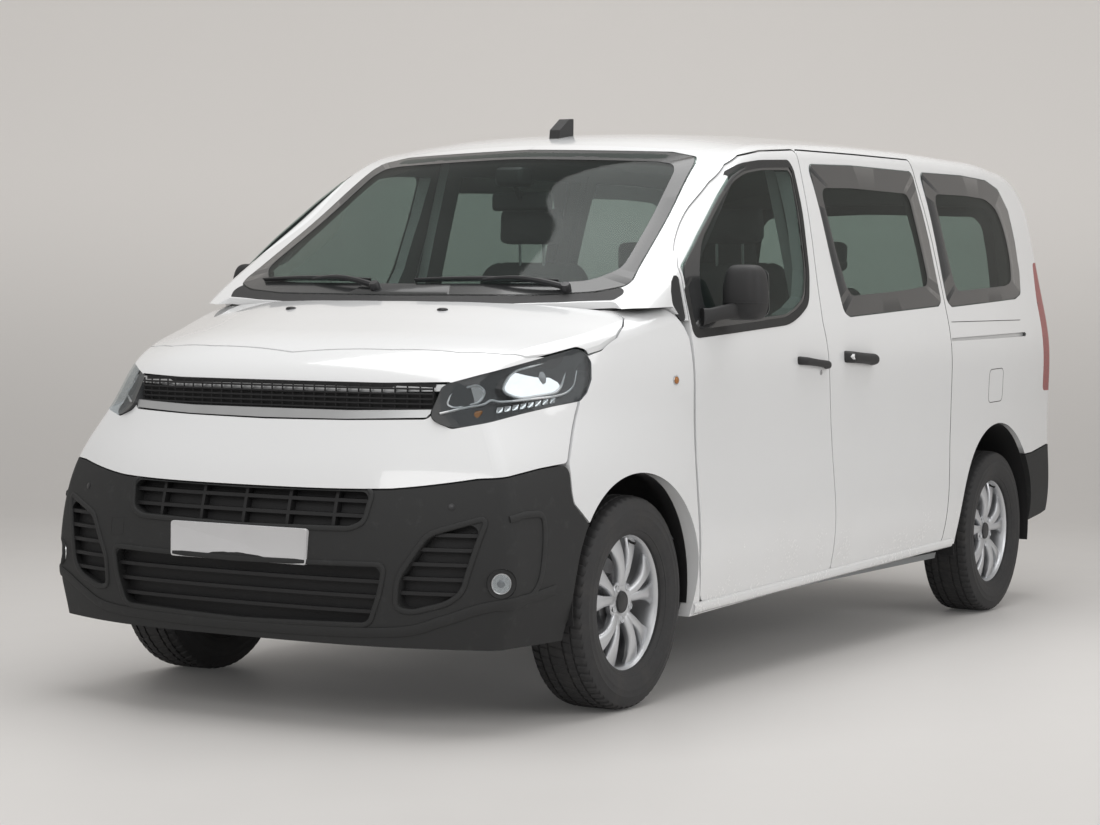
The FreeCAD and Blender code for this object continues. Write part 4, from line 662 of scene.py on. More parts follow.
class Maker:
    """Makes meshes in the shared frame and puts them on their bodies."""

    @staticmethod
    def mesh(
        name: str, points: Sequence[Sequence[float]], faces: Sequence[Sequence[int]]
    ) -> bpy.types.Object:
        """Makes an object from points and faces.

        Args:
            name: The piece's name.
            points: Its vertices, in metres.
            faces: Its faces, as vertex numbers.

        Returns:
            The object, with its faces all turned outwards.
        """
        data = bpy.data.meshes.new(name)
        data.from_pydata([tuple(p) for p in points], [], [tuple(f) for f in faces])
        bm = bmesh.new()
        bm.from_mesh(data)
        bmesh.ops.remove_doubles(bm, verts=bm.verts, dist=1e-6)
        bmesh.ops.recalc_face_normals(bm, faces=bm.faces)
        bm.to_mesh(data)
        bm.free()
        made = bpy.data.objects.new(name, data)
        bpy.context.scene.collection.objects.link(made)
        return made

    @staticmethod
    def join(name: str, parts: Sequence[bpy.types.Object]) -> bpy.types.Object:
        """Joins objects into one of that name, keeping their materials.

        Args:
            name: The joined piece's name.
            parts: The objects, which are used up.

        Returns:
            The joined object.
        """
        bm = bmesh.new()
        finishes: list[Any] = []
        for part in parts:
            own = [m for m in part.data.materials] or [None]
            numbers = []
            for m in own:
                if m not in finishes:
                    finishes.append(m)
                numbers.append(finishes.index(m))
            first = len(bm.faces)
            bm.from_mesh(part.data)
            bm.faces.ensure_lookup_table()
            for face in bm.faces[first:]:
                face.material_index = numbers[min(face.material_index, len(numbers) - 1)]
        data = bpy.data.meshes.new(name)
        bm.to_mesh(data)
        bm.free()
        for part in parts:
            bpy.data.objects.remove(part)
        for m in finishes:
            if m is not None:
                data.materials.append(m)
        made = bpy.data.objects.new(name, data)
        bpy.context.scene.collection.objects.link(made)
        return made

    @staticmethod
    def apply(made: bpy.types.Object, kind: str, **settings: Any) -> bpy.types.Object:
        """Applies one modifier to a mesh.

        Args:
            made: The object.
            kind: The modifier's type.
            **settings: Its settings.

        Returns:
            The same object.
        """
        modifier = made.modifiers.new(kind, kind)
        for key, value in settings.items():
            setattr(modifier, key, value)
        bpy.context.view_layer.update()
        graph = bpy.context.evaluated_depsgraph_get()
        data = bpy.data.meshes.new_from_object(made.evaluated_get(graph))
        made.modifiers.clear()
        made.data = data
        return made

    @classmethod
    def bevelled(
        cls, made: bpy.types.Object, width: float, segments: int = 2, angle: float = 35.0
    ) -> bpy.types.Object:
        """Rounds the sharp edges of a mesh by a width."""
        limit = math.radians(angle)
        return cls.apply(
            made, "BEVEL", width=width, segments=segments, limit_method="ANGLE", angle_limit=limit
        )

    @classmethod
    def smoothed(cls, made: bpy.types.Object, levels: int = 2) -> bpy.types.Object:
        """Subdivides a mesh into a smooth form."""
        return cls.apply(made, "SUBSURF", levels=levels, render_levels=levels)

    @staticmethod
    def paint(made: bpy.types.Object, finish: Finish) -> bpy.types.Object:
        """Gives a mesh one finish."""
        made.data.materials.clear()
        made.data.materials.append(finish.material())
        return made

    @staticmethod
    def settle(
        made: bpy.types.Object, body: Body, finish: Optional[Finish], angle: float = 38.0
    ) -> bpy.types.Object:
        """Shades a piece, gives it its finish and body.

        Args:
            made: The piece.
            body: The body that it rides on.
            finish: Its finish, or None where it has its own.
            angle: The sharpest angle, in degrees, that still shades smooth.

        Returns:
            The piece.
        """
        if finish is not None:
            Maker.paint(made, finish)
        for vertex in made.data.vertices:
            vertex.co.x = min(vertex.co.x, CAD_BOX[1][0])
        made.data.shade_smooth()
        made.data.set_sharp_from_angle(angle=math.radians(angle))
        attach(made, body.value)
        LOG.info("%s: %d faces", made.name, len(made.data.polygons))
        return made

    @classmethod
    def joined(
        cls, name: str, parts: Sequence[bpy.types.Object], body: Body, finish: Finish, angle: float = 38.0
    ) -> bpy.types.Object:
        """Joins objects into one piece, and settles it as settle() does.

        Args:
            name: The piece's name.
            parts: The objects, which are used up.
            body: The body that it rides on.
            finish: Its finish.
            angle: The sharpest angle, in degrees, that still shades smooth.

        Returns:
            The piece.
        """
        return cls.settle(cls.join(name, parts), body, finish, angle)

    @classmethod
    def rings(
        cls, name: str, rings: Sequence[Sequence[Vector]], closed: bool = False, caps: bool = True
    ) -> bpy.types.Object:
        """Skins a row of rings of as many points each.

        Args:
            name: The piece's name.
            rings: The rings, in order.
            closed: Whether the last ring joins the first.
            caps: Whether the ends are closed.

        Returns:
            The object.
        """
        count = len(rings[0])
        points = [p for ring in rings for p in ring]
        faces: list[Sequence[int]] = []
        last = len(rings) if closed else len(rings) - 1
        for i in range(last):
            a, b = i * count, (i + 1) % len(rings) * count
            faces += [(a + k, a + (k + 1) % count, b + (k + 1) % count, b + k) for k in range(count)]
        if caps and not closed:
            faces += [tuple(range(count)), tuple(range((len(rings) - 1) * count, len(rings) * count))]
        return cls.mesh(name, points, faces)

    @classmethod
    def lathe(
        cls, name: str, outline: Sequence[Point2], centre: Vector, axis: Vector, steps: int = 48
    ) -> bpy.types.Object:
        """Turns an outline of (radius, along) points about an axis.

        Args:
            name: The piece's name.
            outline: The outline, closed where it starts and ends on the axis.
            centre: The axis's foot.
            axis: Its direction.
            steps: How many flats a turn has.

        Returns:
            The object.
        """
        axis = axis.normalized()
        out = axis.orthogonal().normalized()
        up = axis.cross(out)
        rings = []
        for radius, along in outline:
            turn = [math.tau * k / steps for k in range(steps)]
            rings.append(
                [
                    centre + axis * along + (out * math.cos(t) + up * math.sin(t)) * max(radius, 1e-5)
                    for t in turn
                ]
            )
        return cls.rings(name, rings, caps=True)

    @classmethod
    def tube(
        cls, name: str, path: Sequence[Vector], radius: Union[float, Sequence[float]], sides: int = 10,
        closed: bool = False,
    ) -> bpy.types.Object:
        """A round bar along a path.

        Args:
            name: The piece's name.
            path: The points that it follows.
            radius: Its radius, or one for each point.
            sides: How many flats it has.
            closed: Whether it is a loop.

        Returns:
            The object.
        """
        count = len(path)
        sizes = [radius] * count if isinstance(radius, (int, float)) else list(radius)
        rings = []
        normal: Optional[Vector] = None
        for i, p in enumerate(path):
            before = path[(i - 1) % count] if closed or i > 0 else p
            after = path[(i + 1) % count] if closed or i < count - 1 else p
            run = (after - before).normalized()
            normal = run.orthogonal() if normal is None else normal - run * normal.dot(run)
            normal.normalize()
            side = run.cross(normal)
            turn = [math.tau * k / sides for k in range(sides)]
            rings.append([p + (normal * math.cos(t) + side * math.sin(t)) * sizes[i] for t in turn])
        return cls.rings(name, rings, closed)

    @classmethod
    def plate(cls, name: str, outline: Sequence[Vector], depth: Vector) -> bpy.types.Object:
        """A flat-sided plate under an outline, as deep as a vector."""
        low = list(outline)
        return cls.rings(name, [low, [p + depth for p in low]])

    @classmethod
    def block(
        cls, name: str, low: Sequence[float], high: Sequence[float], edge: float = 0.004, segments: int = 3
    ) -> bpy.types.Object:
        """A box with rounded edges, between two corners.

        Args:
            name: The piece's name.
            low: The corner with the smallest values.
            high: The corner with the largest.
            edge: How wide its edges are rounded.
            segments: How many flats an edge gets.

        Returns:
            The box.
        """
        x0, y0, z0 = low
        x1, y1, z1 = high
        ring = [Vector((x0, y0, z0)), Vector((x1, y0, z0)), Vector((x1, y1, z0)), Vector((x0, y1, z0))]
        made = cls.plate(name, ring, Vector((0, 0, z1 - z0)))
        return cls.bevelled(made, edge, segments)

    @staticmethod
    def squared(value: float, power: float) -> float:
        """A sine or cosine raised to a power with its sign kept, which squares a circle's corners."""
        return math.copysign(abs(value) ** power, value)

    @staticmethod
    def sheet(rows: int, count: int) -> list[Sequence[int]]:
        """The faces of a sheet, from its number of rows and how many points each has."""
        cells = [(r * count + k, (r + 1) * count + k) for r in range(rows - 1) for k in range(count - 1)]
        return [(a, a + 1, b + 1, b) for a, b in cells]

    @staticmethod
    def rounded(corners: Sequence[Point2], radius: float, steps: int = 6) -> list[Point2]:
        """Rounds the corners of a flat outline.

        Args:
            corners: Its corners, in order.
            radius: The size of each round corner.
            steps: How many points each gets.

        Returns:
            The rounded outline.
        """
        made: list[Point2] = []
        count = len(corners)
        for i, here in enumerate(corners):
            at = Vector(here)
            back = Vector(corners[i - 1]) - at
            on = Vector(corners[(i + 1) % count]) - at
            reach = min(radius, 0.45 * back.length, 0.45 * on.length)
            a = at + back.normalized() * reach
            b = at + on.normalized() * reach
            for k in range(steps + 1):
                t = k / steps
                p = a * (1 - t) ** 2 + at * 2 * t * (1 - t) + b * t * t
                made.append((p.x, p.y))
        return made

    @staticmethod
    def dense(points: Sequence[Point2], gap: float, closed: bool = True) -> list[Point2]:
        """Adds points to an outline so that none are further apart than a gap.

        Args:
            points: The outline.
            gap: The largest distance.
            closed: Whether its last point joins the first.

        Returns:
            The denser outline.
        """
        made: list[Point2] = []
        count = len(points)
        for i in range(count if closed else count - 1):
            a = Vector(points[i])
            b = Vector(points[(i + 1) % count])
            steps = max(1, math.ceil((b - a).length / gap))
            made += [tuple(a.lerp(b, k / steps)) for k in range(steps)]
        if not closed:
            made.append(tuple(points[-1]))
        return made

    @staticmethod
    def curve(points: Sequence[Sequence[float]], steps: int = 8) -> list[Vector]:
        """A smooth line through points, with that many steps between each two.

        Args:
            points: The points.
            steps: The steps between two of them.

        Returns:
            The points of the smooth line.
        """
        at = [Vector(p) for p in points]
        at = [at[0] * 2 - at[1]] + at + [at[-1] * 2 - at[-2]]
        made = []
        for i in range(1, len(at) - 2):
            a, b, c, d = at[i - 1 : i + 3]
            for k in range(steps):
                t = k / steps
                made.append(
                    (
                        b * 2 + (c - a) * t + (a * 2 - b * 5 + c * 4 - d) * t**2 + (
                            b * 3 - a - c * 3 + d
                        ) * t**3
                    ) * 0.5
                )
        return made + [at[-2].copy()]


class Skin:
    """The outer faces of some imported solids, on which pieces are laid."""

    AHEAD = 3.2
    BESIDE_ALL = 1.6
    ABOVE = 2.6

    def __init__(self, *nodes: str) -> None:
        """Gathers the solids' faces."""
        points: list[Vector] = []
        faces: list[list[int]] = []
        for name in nodes:
            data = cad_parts[name].data
            first = len(points)
            points += [v.co.copy() for v in data.vertices]
            faces += [[first + k for k in p.vertices] for p in data.polygons]
        self.tree = BVHTree.FromPolygons(points, faces)

    def hit(self, start: Vector, run: Vector) -> Optional[Spot]:
        """Where a line first meets the skin.

        Args:
            start: Where the line starts.
            run: Its direction.

        Returns:
            The point and the face's direction towards the start, or None.
        """
        point, normal, _, _ = self.tree.ray_cast(start, run)
        if point is None:
            return None
        return point, normal if normal.dot(run) < 0 else -normal

    def side(self, x: float, z: float, side: Side = Side.LEFT) -> Optional[Spot]:
        """The outermost point of one side at a length and a height."""
        return self.hit(Vector((x, self.BESIDE_ALL * side.value, z)), Vector((0, -side.value, 0)))

    def front(self, y: float, z: float) -> Optional[Spot]:
        """The foremost point at a width and a height."""
        return self.hit(Vector((self.AHEAD, y, z)), Vector((-1, 0, 0)))

    def back(self, y: float, z: float) -> Optional[Spot]:
        """The rearmost point at a width and a height."""
        return self.hit(Vector((-self.AHEAD, y, z)), Vector((1, 0, 0)))

    def top(self, x: float, y: float) -> Optional[Spot]:
        """The highest point at a length and a width."""
        return self.hit(Vector((x, y, self.ABOVE)), Vector((0, 0, -1)))

    def on(self, side: Side) -> Look:
        """The search for a point of one side, by its length and height."""
        return lambda x, z: self.side(x, z, side)

    def band(
        self, name: str, outer: Sequence[Point2], inner: Sequence[Point2], look: Look, low: float,
        high: float,
    ) -> bpy.types.Object:
        """A flat ring on the skin between two outlines with as many points each.

        Args:
            name: The piece's name.
            outer: The outer outline.
            inner: The inner outline.
            look: The method that finds each point on the skin.
            low: How far above the skin its foot lies.
            high: How far above the skin its face lies.

        Returns:
            The ring.
        """
        rings = []
        for (a, b), (c, d) in zip(outer, inner):
            o, i = look(a, b), look(c, d)
            if o is None or i is None:
                continue
            lip = min(0.3, 0.0015 / max((o[0] - i[0]).length, 0.002))
            m = o[0].lerp(i[0], lip)
            rings.append([o[0] + o[1] * low, m + o[1] * high, i[0] + i[1] * high, i[0] + i[1] * low])
        return Maker.rings(name, rings, closed=True)

    def strip(
        self, name: str, line: Sequence[Point2], look: Look, width: float, high: float, low: float = -0.002,
        closed: bool = False,
    ) -> bpy.types.Object:
        """A raised strip that follows a line on the skin.

        Args:
            name: The piece's name.
            line: The flat points of its middle.
            look: The method that finds each on the skin.
            width: Its width.
            high: How far it stands up.
            low: Where its foot lies.
            closed: Whether the line is a loop.

        Returns:
            The strip.
        """
        spots = [found for a, b in line if (found := look(a, b)) is not None]
        count = len(spots)
        rings = []
        for i, (point, normal) in enumerate(spots):
            before = spots[(i - 1) % count][0] if closed or i > 0 else point
            after = spots[(i + 1) % count][0] if closed or i < count - 1 else point
            run = (after - before).normalized()
            side = run.cross(normal).normalized() * width / 2
            rings.append([
                point - side + normal * low,
                point - side + normal * high * 0.55,
                point - side * 0.6 + normal * high,
                point + side * 0.6 + normal * high,
                point + side + normal * high * 0.55,
                point + side + normal * low,
            ])
        return Maker.rings(name, rings, closed)


@dataclass(frozen=True)
class SoftBox:
    """One soft lamp: where it is, what it aims at, its size in metres and its power in watts."""

    name: str
    place: tuple[float, float, float]
    aim: tuple[float, float, float]
    size: Point2
    power: float

    def build(self) -> None:
        """Makes the lamp."""
        data = bpy.data.lights.new(self.name, "AREA")
        data.shape = "RECTANGLE"
        data.size, data.size_y = self.size
        data.energy = self.power
        made = bpy.data.objects.new(self.name, data)
        made.location = self.place
        made.rotation_euler = (Vector(self.aim) - Vector(self.place)).to_track_quat("-Z", "Y").to_euler()
        bpy.context.scene.collection.objects.link(made)


@dataclass
class Studio:
    """Pale studio with the camera at the photograph's place, and its lamps."""

    eye: tuple[float, float, float] = (8.7955, 4.7816, 1.2918)
    yaw: float = 210.1756
    pitch: float = -2.378
    roll: float = 0.639
    lens: float = 83.73
    floor_start: float = -14.0
    floor_end: float = 5.5
    bend: float = 3.5
    top: float = 9.0
    places: Sequence[float] = (-16, -5, 0, 5, 16)
    world_colour: Colour = (1.0, 0.98, 0.955)
    world_strength: float = 0.50
    lamps: Sequence[SoftBox] = (
        SoftBox("top_box", (0.2, 0.4, 5.2), (0.0, 0.0, 0.6), (6.5, 4.2), 205.0),
        SoftBox("front_box", (6.8, 1.2, 3.4), (1.6, 0.2, 0.7), (4.2, 2.6), 74.0),
        SoftBox("side_box", (1.2, 6.6, 3.2), (-0.2, 0.8, 0.9), (6.0, 2.4), 90.0),
    )

    def _sweep(self, name: str, finish: Finish) -> bpy.types.Object:
        """The floor that rises into a backdrop behind the vehicle.

        Args:
            name: The sweep's name.
            finish: Its finish.

        Returns:
            The sweep.
        """
        back = Vector((math.cos(math.radians(self.yaw)), math.sin(math.radians(self.yaw)), 0))
        across = Vector((-back.y, back.x, 0))
        line = [(self.floor_start, 0.0), (self.floor_end, 0.0)]
        for a in (math.radians(4 * k) for k in range(1, 23)):
            line.append((self.floor_end + self.bend * math.sin(a), self.bend - self.bend * math.cos(a)))
        line.append((self.floor_end + self.bend, self.top))
        points = [back * x + across * side + Vector((0, 0, up)) for side in self.places for x, up in line]
        data = bpy.data.meshes.new(name)
        data.from_pydata([tuple(p) for p in points], [], Maker.sheet(len(self.places), len(line)))
        made = bpy.data.objects.new(name, data)
        bpy.context.scene.collection.objects.link(made)
        data.shade_smooth()
        Maker.paint(made, finish)
        return made

    def _camera(self) -> None:
        """The camera, from the solved place and turn."""
        yaw, pitch, roll = (math.radians(a) for a in (self.yaw, self.pitch, self.roll))
        ahead = Vector((math.cos(yaw) * math.cos(pitch), math.sin(yaw) * math.cos(pitch), math.sin(pitch)))
        right = Vector((math.sin(yaw), -math.cos(yaw), 0.0))
        up = right.cross(ahead)
        right, up = right * math.cos(roll) + up * math.sin(roll), up * math.cos(roll) - right * math.sin(roll)
        data = bpy.data.cameras.new("view")
        data.lens = self.lens
        data.sensor_width = 36.0
        data.clip_end = 200.0
        made = bpy.data.objects.new("view", data)
        turn = Matrix((right, up, -ahead)).transposed().to_4x4()
        made.matrix_world = Matrix.Translation(Vector(self.eye)) @ turn
        bpy.context.scene.collection.objects.link(made)
        bpy.context.scene.camera = made

    def build(self) -> None:
        """Makes the backdrop, the light and the camera."""
        scene = bpy.context.scene
        scene.view_settings.view_transform = "Standard"
        self._sweep("studio_sweep", StudioFloor("studio_paper", ""))
        world = bpy.data.worlds.new("studio")
        scene.world = world
        world.use_nodes = True
        shade = world.node_tree.nodes["Background"]
        shade.inputs["Color"].default_value = (*self.world_colour, 1.0)
        shade.inputs["Strength"].default_value = self.world_strength
        for lamp in self.lamps:
            lamp.build()
        self._camera()


@dataclass
class Dressing:
    """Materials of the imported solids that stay."""

    finishes: Sequence[tuple[Finish, Sequence[str]]] = (
        (
            Finishes.PAINT_LINED,
            (
                "body_side_left", "body_side_right", "roof_panel", "front_door_panel_left",
                "front_door_panel_right", "tailgate_panel", "sliding_doors",
            ),
        ),
        (Finishes.PAINT, ("front_fascia", "front_fenders", "bonnet")),
        (Finishes.BUMPER, ("front_bumper", "rear_bumper")),
        (
            Finishes.GLASS,
            (
                "windscreen_glass", "side_glass", "front_door_glass_left", "front_door_glass_right",
                "tailgate_glass",
            ),
        ),
        (Finishes.TRIM_GRAIN, ("front_door_trim_left", "front_door_trim_right", "exterior_trim")),
        (Finishes.LAMP_COVER, ("headlamp_lenses",)),
        (Finishes.LAMP_BODY, ("headlamp_housings",)),
        (Finishes.REFLECTOR, ("fog_lamps",)),
        (Finishes.MESH, ("intake_mesh",)),
        (Finishes.CHROME, ("grille_bars",)),
        (Finishes.LAMP_RED, ("tail_lamps",)),
        (Finishes.UNDER, ("front_frame", "front_subframe", "fuel_tank", "rear_axle")),
        (Finishes.FLOOR, ("floor_pan",)),
        (Finishes.PLATE, ("number_plate_front", "number_plate_rear")),
        (Finishes.INTERIOR, ("dashboard",)),
        (Finishes.CLOTH, ("front_seats", "rear_seats")),
        (Finishes.CAST, ("engine_block", "knuckle_left", "knuckle_right")),
        (Finishes.TYRE, ("front_tyre_left", "front_tyre_right", "rear_tyre_left", "rear_tyre_right")),
        (Finishes.WHEEL, ("front_wheel_left", "front_wheel_right", "rear_wheel_left", "rear_wheel_right")),
    )

    def build(self) -> None:
        """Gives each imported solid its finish."""
        for name, finish in ((name, finish) for finish, names in self.finishes for name in names):
            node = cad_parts[name]
            if not node.data.materials:
                node.data.materials.append(None)
            for i in range(len(node.data.materials)):
                node.data.materials[i] = finish.material()
            LOG.info("%s: %s", name, finish.name)


class Outline:
    """Flat outlines of windows and openings, and what is worked out from them."""

    @staticmethod
    def both(half: Sequence[Point2]) -> list[Point2]:
        """The whole outline from its left half, which starts and ends on the middle."""
        return list(half) + [(-y, z) for y, z in reversed(half) if abs(y) > 1e-6]

    @staticmethod
    def reach(outline: Sequence[Point2], middle: Point2, angle: float) -> Point2:
        """Where a line from the middle at an angle leaves an outline.

        Args:
            outline: The outline.
            middle: The middle.
            angle: The line's angle.

        Returns:
            The farthest crossing.
        """
        run = Vector((math.cos(angle), math.sin(angle)))
        best, at = 0.0, middle
        for i, here in enumerate(outline):
            a = Vector(outline[i - 1]) - Vector(middle)
            b = Vector(here) - Vector(middle)
            edge = b - a
            cross = run.x * edge.y - run.y * edge.x
            if abs(cross) < 1e-12:
                continue
            far = (a.x * edge.y - a.y * edge.x) / cross
            share = (a.x * run.y - a.y * run.x) / cross
            if -1e-9 <= share <= 1 + 1e-9 and far > best:
                best, at = far, (middle[0] + run.x * far, middle[1] + run.y * far)
        return at

    @classmethod
    def matched(
        cls, outer: Sequence[Point2], inner: Sequence[Point2], steps: int = 200
    ) -> tuple[list[Point2], list[Point2]]:
        """Two outlines with as many points, at the same angles about their middle.

        Args:
            outer: The outer outline.
            inner: The inner outline.
            steps: How many even angles there are.

        Returns:
            The points of the outer and of the inner outline.
        """
        middle = (sum(p[0] for p in inner) / len(inner), sum(p[1] for p in inner) / len(inner))
        angles = {math.tau * k / steps - math.pi for k in range(steps)}
        for p in list(outer) + list(inner):
            angles.add(math.atan2(p[1] - middle[1], p[0] - middle[0]))
        order = sorted(angles)
        return [cls.reach(outer, middle, a) for a in order], [cls.reach(inner, middle, a) for a in order]

    @staticmethod
    def grown(outline: Sequence[Point2], by: float) -> list[Point2]:
        """An outline moved outwards by a distance, or inwards where it is below 0.

        Args:
            outline: The outline.
            by: The distance.

        Returns:
            The moved outline.
        """
        count = len(outline)
        area = sum(outline[i - 1][0] * p[1] - p[0] * outline[i - 1][1] for i, p in enumerate(outline))
        sign = 1.0 if area > 0 else -1.0
        made = []
        for i, here in enumerate(outline):
            a, b, c = Vector(outline[i - 1]), Vector(here), Vector(outline[(i + 1) % count])
            first, second = (b - a).normalized(), (c - b).normalized()
            n1, n2 = Vector((first.y, -first.x)) * sign, Vector((second.y, -second.x)) * sign
            n = (n1 + n2).normalized()
            made.append(tuple(b + n * by / max(0.55, n.dot(n1))))
        return made


@dataclass
class SideWindows:
    """Seals, black borders and channels of the windows along one side."""

    side: Side
    front: Sequence[Point2] = (
        (1.246, 1.202), (1.252, 1.320), (1.248, 1.430), (1.096, 1.540), (0.884, 1.680), (0.754, 1.756),
        (0.642, 1.792), (0.486, 1.812), (0.236, 1.826), (0.214, 1.800), (0.222, 1.640), (0.259, 1.426),
        (0.314, 1.317), (0.418, 1.272), (0.512, 1.246), (0.909, 1.222),
    )
    front_clear: Sequence[Point2] = (
        (1.150, 1.262), (1.150, 1.395), (1.085, 1.518), (0.880, 1.655), (0.750, 1.731), (0.640, 1.767),
        (0.486, 1.787), (0.262, 1.798), (0.240, 1.776), (0.248, 1.645), (0.284, 1.440), (0.332, 1.342),
        (0.424, 1.298), (0.516, 1.272), (0.909, 1.250),
    )
    slide: Sequence[Point2] = (
        (0.065, 1.832), (-0.335, 1.848), (-0.943, 1.856), (-0.965, 1.836), (-0.994, 1.570), (-1.002, 1.330),
        (-0.957, 1.308), (-0.045, 1.263), (0.003, 1.280), (0.032, 1.500),
    )
    slide_clear: Sequence[Point2] = (
        (0.000, 1.745), (-0.300, 1.757), (-0.870, 1.760), (-0.886, 1.560), (-0.896, 1.392), (-0.600, 1.368),
        (-0.075, 1.342), (-0.030, 1.500),
    )
    quarter: Sequence[Point2] = (
        (-1.052, 1.858), (-1.510, 1.868), (-1.817, 1.862), (-1.962, 1.830), (-2.043, 1.740), (-2.046, 1.600),
        (-2.030, 1.465), (-1.986, 1.368), (-1.895, 1.345), (-1.102, 1.306), (-1.062, 1.330), (-1.062, 1.570),
    )
    quarter_clear: Sequence[Point2] = (
        (-1.150, 1.772), (-1.510, 1.780), (-1.760, 1.776), (-1.880, 1.735), (-1.925, 1.640), (-1.925, 1.520),
        (-1.885, 1.420), (-1.800, 1.402), (-1.185, 1.372), (-1.160, 1.560),
    )

    def _border(
        self, name: str, skin: Skin, outer: Sequence[Point2], inner: Sequence[Point2], body: Body,
        finish: Finish, high: float,
    ) -> None:
        """One ring on the glass between two rounded outlines.

        Args:
            name: The piece's name.
            skin: The glass.
            outer: The outer outline.
            inner: The inner outline.
            body: The body that it rides on.
            finish: Its finish.
            high: How far it stands above the glass.
        """
        out, clear = Outline.matched(Maker.rounded(outer, 0.035), Maker.rounded(inner, 0.055, 8))
        ring = skin.band(name, out, clear, skin.on(self.side), -0.0005, high)
        Maker.settle(ring, body, finish, 50)

    def build(self) -> None:
        """Makes the seals and borders."""
        word = self.side.word
        door = Skin(f"front_door_panel_{word}", f"front_door_glass_{word}")
        glass = Skin("side_glass")
        seal = Outline.grown(self.front, 0.012)
        outer = Maker.rounded(seal, 0.045)
        out, inner = Outline.matched(outer, Maker.rounded(Outline.grown(self.front, -0.016), 0.04))
        rubber = door.band(f"door_window_seal_{word}", out, inner, door.on(self.side), -0.002, 0.0028)
        Maker.settle(rubber, self.side.door, Finishes.SEAL, 50)
        pane = Skin(f"front_door_glass_{word}")
        self._border(
            f"door_glass_border_{word}", pane, Outline.grown(self.front, -0.006), self.front_clear,
            self.side.door, Finishes.FRIT, 0.0012,
        )
        self._border(
            f"sliding_glass_border_{word}", glass, Outline.grown(self.slide, -0.003), self.slide_clear,
            Body.ROOT, Finishes.FRIT, 0.0012,
        )
        self._border(
            f"quarter_glass_border_{word}", glass, Outline.grown(self.quarter, -0.003), self.quarter_clear,
            Body.ROOT, Finishes.FRIT, 0.0012,
        )


